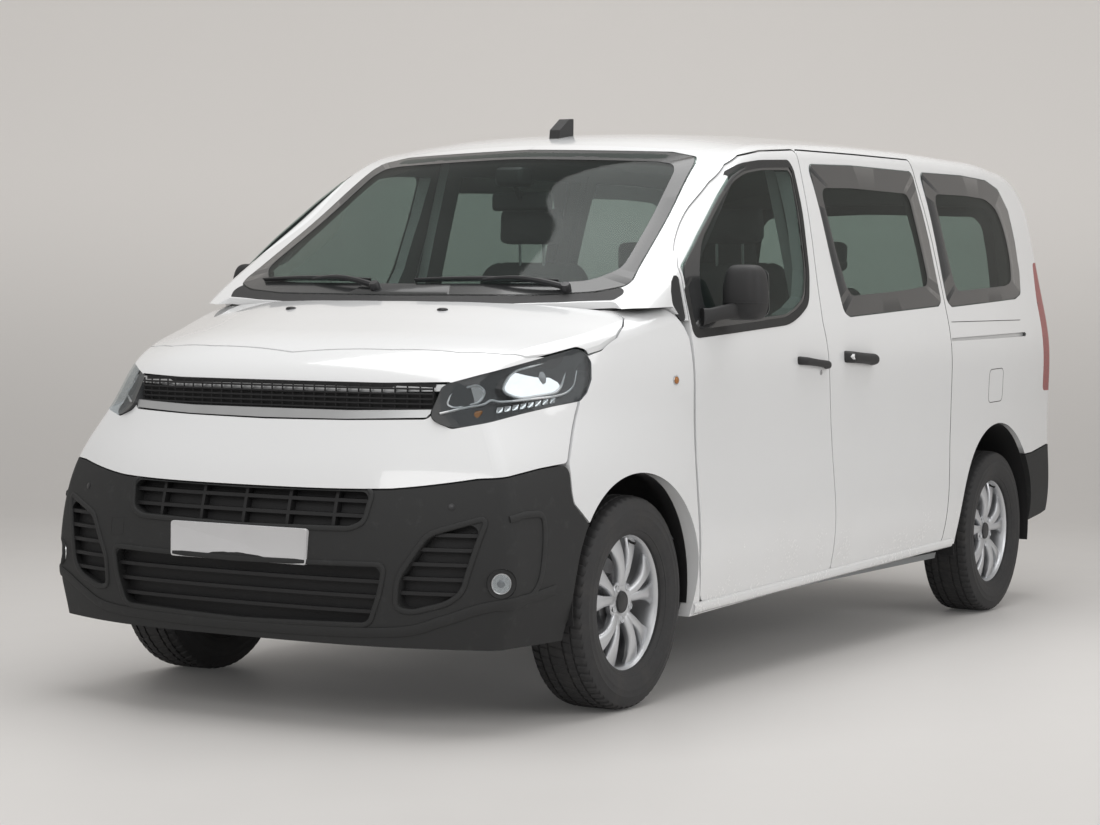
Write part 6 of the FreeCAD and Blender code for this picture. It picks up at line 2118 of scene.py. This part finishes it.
    def build(self) -> None:
        """Makes the pieces of the nose."""
        self._lattice()
        self._lips()
        self._fogs()
        BlankPlate(
            "front_plate", "number_plate_front", Body.ROOT, 1, self.PLATE_FACE, self.PLATE_CORNERS
        ).build()
        jets = []
        bonnet = Skin("bonnet")
        for y in (-0.322, 0.284):
            found = bonnet.top(1.764, y)
            if found is None:
                continue
            point = found[0]
            ring = [(0.020, 0.000), (0.0185, 0.0035), (0.012, 0.0062), (0.004, 0.0070), (0.0, 0.0070)]
            rings = []
            for r, w in [(0.020, -0.003)] + ring:
                rings.append(
                    [
                        point + Vector(
                            (math.cos(math.tau * k / 24) * r * 0.75, math.sin(math.tau * k / 24) * r, w)
                        ) for k in range(24)
                    ]
                )
            jets.append(Maker.rings("jet", rings))
        if jets:
            Maker.joined("washer_jets", jets, Body.BONNET, Finishes.TRIM)


class PlainDoor(Skin):
    """The sliding door's panel, whose height over the middle is read beside its plain handle."""

    BESIDE = 0.055

    def __init__(self) -> None:
        """Gathers the faces of both sliding doors."""
        super().__init__("sliding_doors")

    def side(self, x: float, z: float, side: Side = Side.LEFT) -> Optional[Spot]:
        """The panel's surface at a point, between a reading above and one below.

        Args:
            x: The length.
            z: The height.
            side: The side of the vehicle.

        Returns:
            The point and the surface's direction, or None.
        """
        high = super().side(x, z + self.BESIDE, side)
        low = super().side(x, z - self.BESIDE, side)
        if high is None or low is None:
            return None
        point = (high[0] + low[0]) / 2
        return Vector((x, point.y, z)), (high[1] + low[1]).normalized()


@dataclass
class DoorFurniture:
    """Mirror and handles of one side, sculpted over the plain solids."""

    side: Side
    head: tuple[float, float, float] = (1.0385, 1.026, 1.345)
    half: tuple[float, float, float] = (0.0585, 0.0745, 0.0935)

    def _head(self) -> bpy.types.Object:
        """The mirror's rounded housing, domed ahead and flat behind."""
        centre = Vector(self.head)
        hx, hy, hz = self.half
        rings = []
        stations = 22
        count = 44
        for i in range(stations + 1):
            v = -math.pi / 2 + math.pi * i / stations
            up = Maker.squared(math.sin(v), 0.62)
            wide = max(0.02, abs(math.cos(v)) ** 0.42)
            ring = []
            for k in range(count):
                u = math.tau * k / count
                cx = Maker.squared(math.cos(u), 0.62)
                cy = Maker.squared(math.sin(u), 0.55)
                taper = 1.0 - 0.10 * max(0.0, up)
                x = cx * hx * wide * (0.86 if cx < 0 else 1.0 - 0.10 * abs(up))
                y = cy * hy * wide * taper - 0.010 * up * hy
                ring.append(Vector((centre.x + x, self.side.value * (centre.y + y), centre.z + up * hz)))
            rings.append(ring)
        return Maker.rings("head", rings)

    def _mirror(self) -> None:
        """Housing, band, arm, foot and glass of the door mirror."""
        word = self.side.word
        sign = self.side.value
        parts = [self._head()]
        cx, cy, cz = self.head
        hx, hy, hz = self.half
        band = []
        for k in range(48):
            u = math.tau * k / 48
            x = Maker.squared(math.cos(u), 0.62) * (hx * (0.865 if math.cos(u) < 0 else 1.0) - 0.0008)
            y = Maker.squared(math.sin(u), 0.55) * (hy - 0.0008)
            band.append(Vector((cx + x, sign * (cy + y), cz - hz * 0.36)))
        parts.append(Maker.tube("band", band, 0.0018, 6, True))
        arm = [
            (1.1830, 0.936, 1.262), (1.1640, 0.952, 1.266), (1.1300, 0.978, 1.276), (1.0950, 1.000, 1.283),
            (1.0550, 1.018, 1.286)
        ]
        path = [Vector((p.x, p.y * sign, p.z)) for p in Maker.curve(arm, 6)]
        rings = []
        for i, p in enumerate(path):
            t = i / (len(path) - 1)
            run = (path[min(i + 1, len(path) - 1)] - path[max(i - 1, 0)]).normalized()
            flat = run.cross(Vector((0, 0, 1))).normalized()
            tall = 0.030 - 0.006 * math.sin(math.pi * t)
            wide = 0.021 - 0.003 * math.sin(math.pi * t)
            ring = []
            for k in range(24):
                u = math.tau * k / 24
                a = Maker.squared(math.cos(u), 0.6) * wide
                b = Maker.squared(math.sin(u), 0.6) * tall
                ring.append(p + flat * a + Vector((0, 0, b)))
            rings.append(ring)
        parts.append(Maker.rings("arm", rings))
        made = Maker.join(f"door_mirror_{word}", parts)
        Maker.settle(made, self.side.door, Finishes.TRIM_GRAIN, 55)
        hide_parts(f"front_door_trim_{word}")
        pane = []
        flat = Maker.rounded(
            [
                (-hy * 0.86, -hz * 0.84), (hy * 0.86, -hz * 0.84), (hy * 0.80, hz * 0.86),
                (-hy * 0.82, hz * 0.86)
            ],
            0.030, 8,
        )
        for share, back in ((1.0, -0.4), (1.0, 0.6), (0.97, 1.0)):
            pane.append(
                [
                    Vector((cx - hx * 0.862 - back * 0.001, sign * (cy + a * share), cz + b * share))
                    for a, b in flat
                ]
            )
        Maker.settle(Maker.rings(f"door_mirror_glass_{word}", pane), self.side.door, Finishes.MIRROR, 60)

    def _handle(
        self, name: str, body: Body, ends: Sequence[Point2], skin: Skin, stand: float, cover: float = 0.0
    ) -> bpy.types.Object:
        """A pull handle on two feet between two points of the door, made larger where it covers a plain one.

        Args:
            name: The piece's name.
            body: The body that it rides on.
            ends: The length and height of both ends.
            skin: The door's skin.
            stand: How far it stands out.
            cover: How much larger it is over a plain handle.

        Returns:
            The handle.
        """
        (x0, z0), (x1, z1) = ends
        rings = []
        steps = 20
        for i in range(steps + 1):
            t = i / steps
            x, z = x0 + (x1 - x0) * t, z0 + (z1 - z0) * t
            found = skin.side(x, z, self.side)
            base = found[0] if found is not None else Vector((x, 0.95 * self.side.value, z))
            out = Vector((0, self.side.value, 0))
            end = abs(2 * t - 1)
            rise = stand * (1 - 0.75 * max(0.0, end - 0.86) / 0.14)
            tall = 0.0135 + 0.0025 * end**2 if end < 0.92 else 0.0158 - 0.020 * (end - 0.92)
            thick = 0.0075 + (stand * 0.5 if 0.72 < end < 0.97 else 0.0) * math.sin(
                math.pi * (end - 0.72) / 0.25 if 0.72 < end < 0.97 else 0
            )
            tall += cover * 0.6
            thick += cover
            mid = base + out * (rise - thick)
            ring = []
            for k in range(16):
                u = math.tau * k / 16
                ring.append(
                    mid + out * (math.cos(u) * thick) + Vector(
                        (0, 0, Maker.squared(math.sin(u), 0.75) * tall)
                    )
                )
            rings.append(ring)
        made = Maker.smoothed(Maker.rings(name, rings), 1)
        return Maker.settle(made, body, Finishes.TRIM_GRAIN, 60)

    def build(self) -> None:
        """Makes the mirror and both handles."""
        word = self.side.word
        self._mirror()
        door = Skin(f"front_door_panel_{word}")
        made = self._handle(
            f"front_door_handle_{word}", self.side.door, ((0.4660, 1.1090), (0.2080, 1.0880)), door, 0.031
        )
        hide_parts(f"front_door_trim_{word}")
        self._handle(
            f"sliding_door_handle_{word}", Body.ROOT, ((0.0560, 1.1180), (-0.2230, 1.1030)), PlainDoor(),
            0.0400, 0.012,
        )
        lock = door.side(0.262, 1.062, self.side)
        if lock is not None and self.side is Side.LEFT:
            Maker.settle(
                Maker.lathe(
                    f"door_lock_{word}",
                    [(0.0, -0.002), (0.0095, -0.002), (0.0095, 0.0010), (0.008, 0.0018), (0.0, 0.0020)],
                    lock[0], lock[1], 24,
                ),
                self.side.door, Finishes.STEEL,
            )


@dataclass
class BodySide:
    """Sill strip, arch liners, fuel flap, repeater and joints along one side."""

    LINER_FOOT = 0.2
    side: Side

    def _liner(self, name: str, centre: Point2, radius: float, rows: Sequence[tuple[float, float]]) -> None:
        """A wheel arch liner: an arch swept inwards, wider further in.

        Args:
            name: The piece's name.
            centre: The arch's middle, as length and height.
            radius: Its radius at the panel.
            rows: The width of each row and what its radius gains.
        """
        rings = []
        for y, grow in rows:
            ring = []
            r = radius + grow
            for a in (math.radians(degrees) for degrees in range(-10, 191, 5)):
                up = max(centre[1] + math.sin(a) * r, self.LINER_FOOT)
                ring.append(Vector((centre[0] + math.cos(a) * r, self.side.value * y, up)))
            rings.append(ring)
        points = [p for ring in rings for p in ring]
        made = Maker.mesh(name, points, Maker.sheet(len(rings), len(rings[0])))
        Maker.apply(made, "SOLIDIFY", thickness=0.003, offset=0.0)
        Maker.settle(made, Body.ROOT, Finishes.MESH, 50)

    def build(self) -> None:
        """Makes the pieces of the side."""
        word = self.side.word
        skin = Skin(f"body_side_{word}", f"front_door_panel_{word}", "sliding_doors", "front_fenders")
        look = skin.on(self.side)
        line = [(1.205 - 2.32 * k / 40, 0.288 + 0.0515 * k / 40) for k in range(41)]
        sill = skin.strip(f"sill_strip_{word}", line, look, 0.036, 0.0110, -0.004)
        Maker.settle(sill, Body.ROOT, Finishes.PAINT, 60)
        self._liner(
            f"front_arch_liner_{word}", (1.5905, 0.375), 0.3860,
            ((0.905, 0.0), (0.870, 0.0), (0.830, 0.020), (0.780, 0.046), (0.600, 0.050)),
        )
        self._liner(
            f"rear_arch_liner_{word}", (-1.6165, 0.360), 0.4525,
            ((0.925, 0.0), (0.880, 0.0), (0.700, 0.0), (0.625, 0.0)),
        )
        found = look(1.373, 1.055)
        if found is not None:
            ring = [
                (0.0, -0.002), (0.0160, -0.002), (0.0160, 0.0022), (0.0145, 0.0034), (0.0125, 0.0030),
                (0.0, 0.0030)
            ]
            Maker.settle(
                Maker.lathe(f"repeater_ring_{word}", ring, found[0], found[1], 32), Body.ROOT,
                Finishes.CHROME, 40,
            )
            dome = [(0.0, 0.0028), (0.0120, 0.0028), (0.0115, 0.0050), (0.0070, 0.0068), (0.0, 0.0074)]
            Maker.settle(
                Maker.lathe(f"repeater_{word}", dome, found[0], found[1], 28), Body.ROOT, Finishes.AMBER, 60
            )
        joints = []
        if self.side is Side.LEFT:
            flap = Maker.dense(
                Maker.rounded([(-1.470, 0.905), (-1.470, 1.045), (-1.640, 1.050), (-1.640, 0.910)], 0.03),
                0.015,
            )
            joints.append(skin.strip("flap", flap, look, 0.0030, 0.0005, -0.001, True))
        groove = [(-1.065 - 0.84 * k / 20, 1.246 + 0.009 * k / 20) for k in range(21)]
        joints.append(skin.strip("groove", groove, look, 0.0030, 0.0005, -0.001))
        Maker.joined(f"side_joints_{word}", joints, Body.ROOT, Finishes.SEAL)


@dataclass
class Rear:
    """Tail lamp details, handle, wiper, high lamp and plate of the back."""

    PLATE_CORNERS = ((-0.2595, 0.8005), (0.2595, 0.8005), (0.2595, 0.9115), (-0.2595, 0.9115))
    GRIP_SECTION = (
        (0.004, -0.020), (-0.004, -0.022), (-0.0055, -0.014), (-0.0055, 0.016), (-0.003, 0.024),
        (0.004, 0.026),
    )
    LAMP_SECTION = ((0.004, -0.009), (-0.004, -0.009), (-0.0055, 0.0), (-0.004, 0.009), (0.004, 0.009))
    PANE_HEIGHTS = (1.085, 1.165)
    PANE_ROWS = 8

    @staticmethod
    def _bar(
        name: str, skin: Skin, up: float, half: float, steps: int, section: Sequence[Point2]
    ) -> bpy.types.Object:
        """A bar across the back that follows its skin.

        Args:
            name: The piece's name.
            skin: The skin that it lies on.
            up: Its height.
            half: Half its width.
            steps: How many steps it has.
            section: Its section, as (x, z) from the skin.

        Returns:
            The bar.
        """
        spots = [skin.back(-half + 2 * half * k / steps, up) for k in range(steps + 1)]
        rings = [[point + Vector((a, 0, b)) for a, b in section] for point, _ in filter(None, spots)]
        return Maker.rings(name, rings)

    def build(self) -> None:
        """Makes the pieces of the back."""
        skin = Skin("tailgate_panel", "tailgate_glass", "body_side_left", "body_side_right")
        plate = Skin("number_plate_rear")
        found = plate.back(0.0, 0.856)
        x = found[0].x if found is not None else -2.466
        BlankPlate("rear_plate", "number_plate_rear", Body.TAILGATE, -1, x, self.PLATE_CORNERS).build()
        grip = self._bar("tailgate_grip", skin, 0.950, 0.34, 24, self.GRIP_SECTION)
        Maker.settle(Maker.bevelled(grip, 0.0015, 2), Body.TAILGATE, Finishes.TRIM_GRAIN)
        lamp = self._bar("high_brake_lamp", skin, 1.838, 0.17, 16, self.LAMP_SECTION)
        Maker.settle(lamp, Body.TAILGATE, Finishes.LAMP_RED, 60)
        glass = Skin("tailgate_glass", "tailgate_panel")
        arm, blade = [], []
        for k in range(15):
            t = k / 14
            hit = glass.back(0.02 + 0.34 * t, 1.225 + 0.035 * t)
            if hit is not None:
                arm.append(hit[0] + hit[1] * (0.008 + 0.005 * math.sin(math.pi * t)))
        for k in range(15):
            t = k / 14
            hit = glass.back(0.06 + 0.40 * t, 1.262 + 0.012 * t)
            if hit is not None:
                blade.append(hit[0] + hit[1] * 0.0065)
        parts = [
            Maker.tube("arm", arm, [0.009 - 0.004 * i / 14 for i in range(len(arm))], 8),
            Maker.tube("blade", blade, 0.0048, 8)
        ]
        hit = glass.back(0.02, 1.222)
        if hit is not None:
            parts.append(
                Maker.lathe(
                    "cap", [(0.0, 0.0), (0.022, 0.0), (0.020, 0.012), (0.012, 0.0145), (0.0, 0.0150)],
                    hit[0], hit[1], 28,
                )
            )
        Maker.joined("rear_wiper", parts, Body.TAILGATE, Finishes.TRIM)
        self._lamps()

    def _lamps(self) -> None:
        """Clear reversing panes and dark joints on the tail lamps."""
        skin = Skin("tail_lamps")
        low, high = self.PANE_HEIGHTS
        count = 7
        for side in Side:
            panes, joints = [], []
            rows = []
            for i in range(self.PANE_ROWS + 1):
                z = low + (high - low) * i / self.PANE_ROWS
                spots = [skin.back(side.value * (0.845 + 0.070 * k / 6), z) for k in range(count)]
                row = [point + normal * 0.0012 for point, normal in filter(None, spots)]
                if len(row) == count:
                    rows.append(row)
            if len(rows) > 2:
                made = Maker.mesh("pane", [p for row in rows for p in row], Maker.sheet(len(rows), count))
                panes.append(Maker.apply(made, "SOLIDIFY", thickness=0.0016, offset=0.0))
            for z in (1.075, 1.175, 1.330):
                line = [(side.value * (0.835 + 0.088 * k / 8), z) for k in range(9)]
                spots = [p for p in line if skin.back(*p) is not None]
                if len(spots) > 2:
                    joints.append(skin.strip("joint", spots, skin.back, 0.0045, 0.0010, -0.001))
            if panes:
                Maker.joined(f"reversing_lamp_{side.word}", panes, Body.ROOT, Finishes.LAMP_COVER, 60)
            if joints:
                Maker.joined(f"tail_lamp_joints_{side.word}", joints, Body.ROOT, Finishes.LAMP_BODY, 60)


class SeatShape(Enum):
    """Side outlines of the two kinds of seat: cushion, back, headrest and base."""

    FRONT = (
        (
            (0.530, 0.580), (0.556, 0.710), (0.520, 0.735), (0.330, 0.722), (0.165, 0.715), (0.085, 0.695),
            (0.070, 0.610), (0.110, 0.572),
        ),
        (
            (0.090, 0.735), (0.128, 0.800), (0.062, 1.080), (-0.008, 1.300), (-0.016, 1.455),
            (-0.046, 1.482), (-0.088, 1.458), (-0.080, 1.300), (-0.040, 1.05), (-0.012, 0.800),
            (0.022, 0.705),
        ),
        ((0.018, 1.545), (0.014, 1.662), (-0.010, 1.684), (-0.050, 1.676), (-0.062, 1.550), (-0.022, 1.532)),
        ((0.045, 0.402), (0.525, 0.402), (0.515, 0.585), (0.060, 0.600)),
        "front_seats",
    )
    BENCH = (
        (
            (-0.415, 0.580), (-0.390, 0.700), (-0.412, 0.742), (-0.560, 0.732), (-0.725, 0.728),
            (-0.795, 0.700), (-0.812, 0.610), (-0.770, 0.572),
        ),
        (
            (-0.790, 0.748), (-0.772, 0.820), (-0.828, 1.050), (-0.886, 1.250), (-0.905, 1.378),
            (-0.936, 1.398), (-0.985, 1.378), (-0.968, 1.250), (-0.925, 1.00), (-0.888, 0.780),
            (-0.855, 0.715),
        ),
        (
            (-0.886, 1.455), (-0.892, 1.556), (-0.914, 1.574), (-0.952, 1.566), (-0.960, 1.456),
            (-0.922, 1.442),
        ),
        ((-0.862, 0.402), (-0.420, 0.402), (-0.430, 0.585), (-0.850, 0.600)),
        "rear_seats",
    )


@dataclass
class Padding:
    """Padded covers: a crowned shell that cloth pressure plumps, with sewn channels."""

    PRESSURE = 4.0
    STIFFNESS = 15.0
    voxel: float = 0.008
    cap: float = 0.010
    frames: int = 20

    def plumped(self, made: bpy.types.Object) -> bpy.types.Object:
        """Args:
            made: The shell.

        Returns:
            The same object.
        """
        Maker.apply(made, "REMESH", mode="VOXEL", voxel_size=self.voxel, adaptivity=0.0)
        rest = [v.co.copy() for v in made.data.vertices]
        cloth = made.modifiers.new("cloth", "CLOTH")
        cloth.settings.quality = 5
        cloth.settings.use_pressure = True
        cloth.settings.uniform_pressure_force = self.PRESSURE
        cloth.settings.tension_stiffness = self.STIFFNESS
        cloth.settings.effector_weights.gravity = 0.0
        cloth.point_cache.frame_start = 1
        cloth.point_cache.frame_end = self.frames
        scene = bpy.context.scene
        for frame_number in range(1, self.frames + 1):
            scene.frame_set(frame_number)
        graph = bpy.context.evaluated_depsgraph_get()
        swollen = [v.co.copy() for v in made.evaluated_get(graph).data.vertices]
        made.modifiers.clear()
        scene.frame_set(1)
        for vertex, old, new in zip(made.data.vertices, rest, swollen):
            move = new - old
            vertex.co = old + (move * (self.cap / move.length) if move.length > self.cap else move)
        return made

    @staticmethod
    def sewn(
        made: bpy.types.Object, lines: Sequence[tuple[int, float]], depth: float, width: float
    ) -> bpy.types.Object:
        """Presses sewn channels into a pad where an axis has a value.

        Args:
            made: The pad.
            lines: The axis and the value of each channel.
            depth: How deep it is.
            width: How wide it is.

        Returns:
            The same object.
        """
        for vertex, normal in [(v, v.normal.copy()) for v in made.data.vertices]:
            press = sum(math.exp(-(((vertex.co[axis] - at) / width) ** 2)) for axis, at in lines)
            vertex.co -= normal * depth * min(1.0, press)
        made.data.update()
        return made


@dataclass
class Seat:
    """One seating place with cushion, back, headrest, posts and base."""

    SIDE_GAP = 0.014
    SEAM_SHARE = 0.62
    SEAM_DEPTH = 0.006
    SEAM_WIDTH = 0.006
    POST_PLACE = 0.055
    POST_RADIUS = 0.0055
    FILL = 0.75

    shape: SeatShape
    name: str
    middle: float
    half: float
    head: float = 0.135

    def _pad(
        self, name: str, outline: Sequence[Point2], half: float, bolster: float, facing: Point2
    ) -> bpy.types.Object:
        """A pad under a side outline, drawn in at its ends and higher near its sides.

        Args:
            name: The piece's name.
            outline: The side outline, as (x, z).
            half: Half its width.
            bolster: How far its sides stand up.
            facing: The direction of the side that carries the body.

        Returns:
            The pad.
        """
        flat = Maker.dense(Maker.rounded(outline, 0.035, 5), 0.03)
        cx = sum(p[0] for p in flat) / len(flat)
        cz = sum(p[1] for p in flat) / len(flat)
        rings = []
        steps = 22
        for k in range(steps + 1):
            u = math.sin(math.pi * (k / steps - 0.5))
            pull = 1.0 - 0.16 * abs(u) ** 9
            lift = bolster * math.exp(-(((abs(u) - 0.80) / 0.16) ** 2)) - 0.012
            ring = []
            for x, z in flat:
                toward = max(0.0, ((x - cx) * facing[0] + (z - cz) * facing[1]) / 0.07)
                share = min(1.0, toward)
                ring.append(
                    Vector(
                        (
                            cx + (x - cx) * pull + facing[0] * lift * share, self.middle + u * half,
                            cz + (z - cz) * pull + facing[1] * lift * share,
                        )
                    )
                )
            rings.append(ring)
        return Maker.rings(name, rings)

    def build(self) -> None:
        """Makes the place's pieces."""
        cushion, back, headrest, base, node = self.shape.value
        padding = Padding()
        half = self.half - self.SIDE_GAP
        seams = [(1, self.middle - half * self.SEAM_SHARE), (1, self.middle + half * self.SEAM_SHARE)]
        low = sum(p[0] for p in cushion) / len(cushion)
        pads = [
            (f"{self.name}_cushion", cushion, half, 0.016, (0.0, 1.0), seams + [(0, low + 0.08)]),
            (
                f"{self.name}_back", back, half, 0.018, (1.0, 0.0),
                seams + [(2, back[2][1] + 0.02), (2, back[2][1] - 0.12)],
            ),
            (f"{self.name}_headrest", headrest, self.head, 0.0, (1.0, 0.0), []),
        ]
        for name, outline, wide, bolster, facing, lines in pads:
            made = padding.plumped(self._pad(name, outline, wide, bolster, facing))
            if lines:
                Padding.sewn(made, lines, self.SEAM_DEPTH, self.SEAM_WIDTH)
            Maker.smoothed(made, 1)
            Maker.settle(made, Body.ROOT, Finishes.CLOTH, 80)
            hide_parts(node)
        posts = []
        foot = headrest[-1]
        for side in (-1, 1):
            y = self.middle + side * self.POST_PLACE
            ends = [Vector((foot[0] - 0.008, y, foot[1] - 0.09)), Vector((foot[0], y, foot[1] + 0.03))]
            posts.append(Maker.tube("post", ends, self.POST_RADIUS, 14))
        Maker.joined(f"{self.name}_headrest_posts", posts, Body.ROOT, Finishes.CHROME, 50)
        flat = Maker.rounded(base, 0.02, 4)
        rings = [
            [Vector((x, self.middle + u * (half - 0.02), z)) for x, z in flat]
            for u in (-1.0, -0.96, 0.96, 1.0)
        ]
        stand = Maker.bevelled(Maker.rings(f"{self.name}_base", rings), 0.006, 2)
        Maker.settle(stand, Body.ROOT, Finishes.CABIN_TRIM, 50)


@dataclass
class Cabin:
    """The seats and the dashboard's vents."""

    def build(self) -> None:
        """Makes the cabin's pieces."""
        Seat(SeatShape.FRONT, "driver_seat", 0.440, 0.260).build()
        Seat(SeatShape.FRONT, "passenger_seat", -0.440, 0.260).build()
        for i, middle in enumerate((-0.413, 0.0, 0.413)):
            Seat(SeatShape.BENCH, f"bench_place_{i + 1}", middle, 0.2065, 0.115).build()
        dash = Skin("dashboard")
        vents = []
        for y in (-0.66, -0.16, 0.16, 0.68):
            if dash.back(y, 1.09) is None:
                continue
            for k in range(4):
                z = 1.075 + 0.012 * k
                hit = dash.back(y, z)
                if hit is not None:
                    p = hit[0]
                    vents.append(
                        Maker.block(
                            "vane", (p.x - 0.004, y - 0.045, z - 0.003),
                            (p.x + 0.004, y + 0.045, z + 0.003), 0.0012, 2,
                        )
                    )
        if vents:
            Maker.joined("dashboard_vents", vents, Body.ROOT, Finishes.TRIM)


def main() -> None:
    """Builds the studio and every part of the minibus, in order."""
    logging.basicConfig(level=logging.INFO, format="%(name)s %(message)s")
    Studio().build()
    Dressing().build()
    for side in Side:
        SideWindows(side).build()
        Headlamp(side).build()
        DoorFurniture(side).build()
        BodySide(side).build()
    Windscreen().build()
    Nose().build()
    Rear().build()
    Cabin().build()
    for end in WheelEnd:
        Wheel(end).build()


if __name__ == "__main__":
    main()
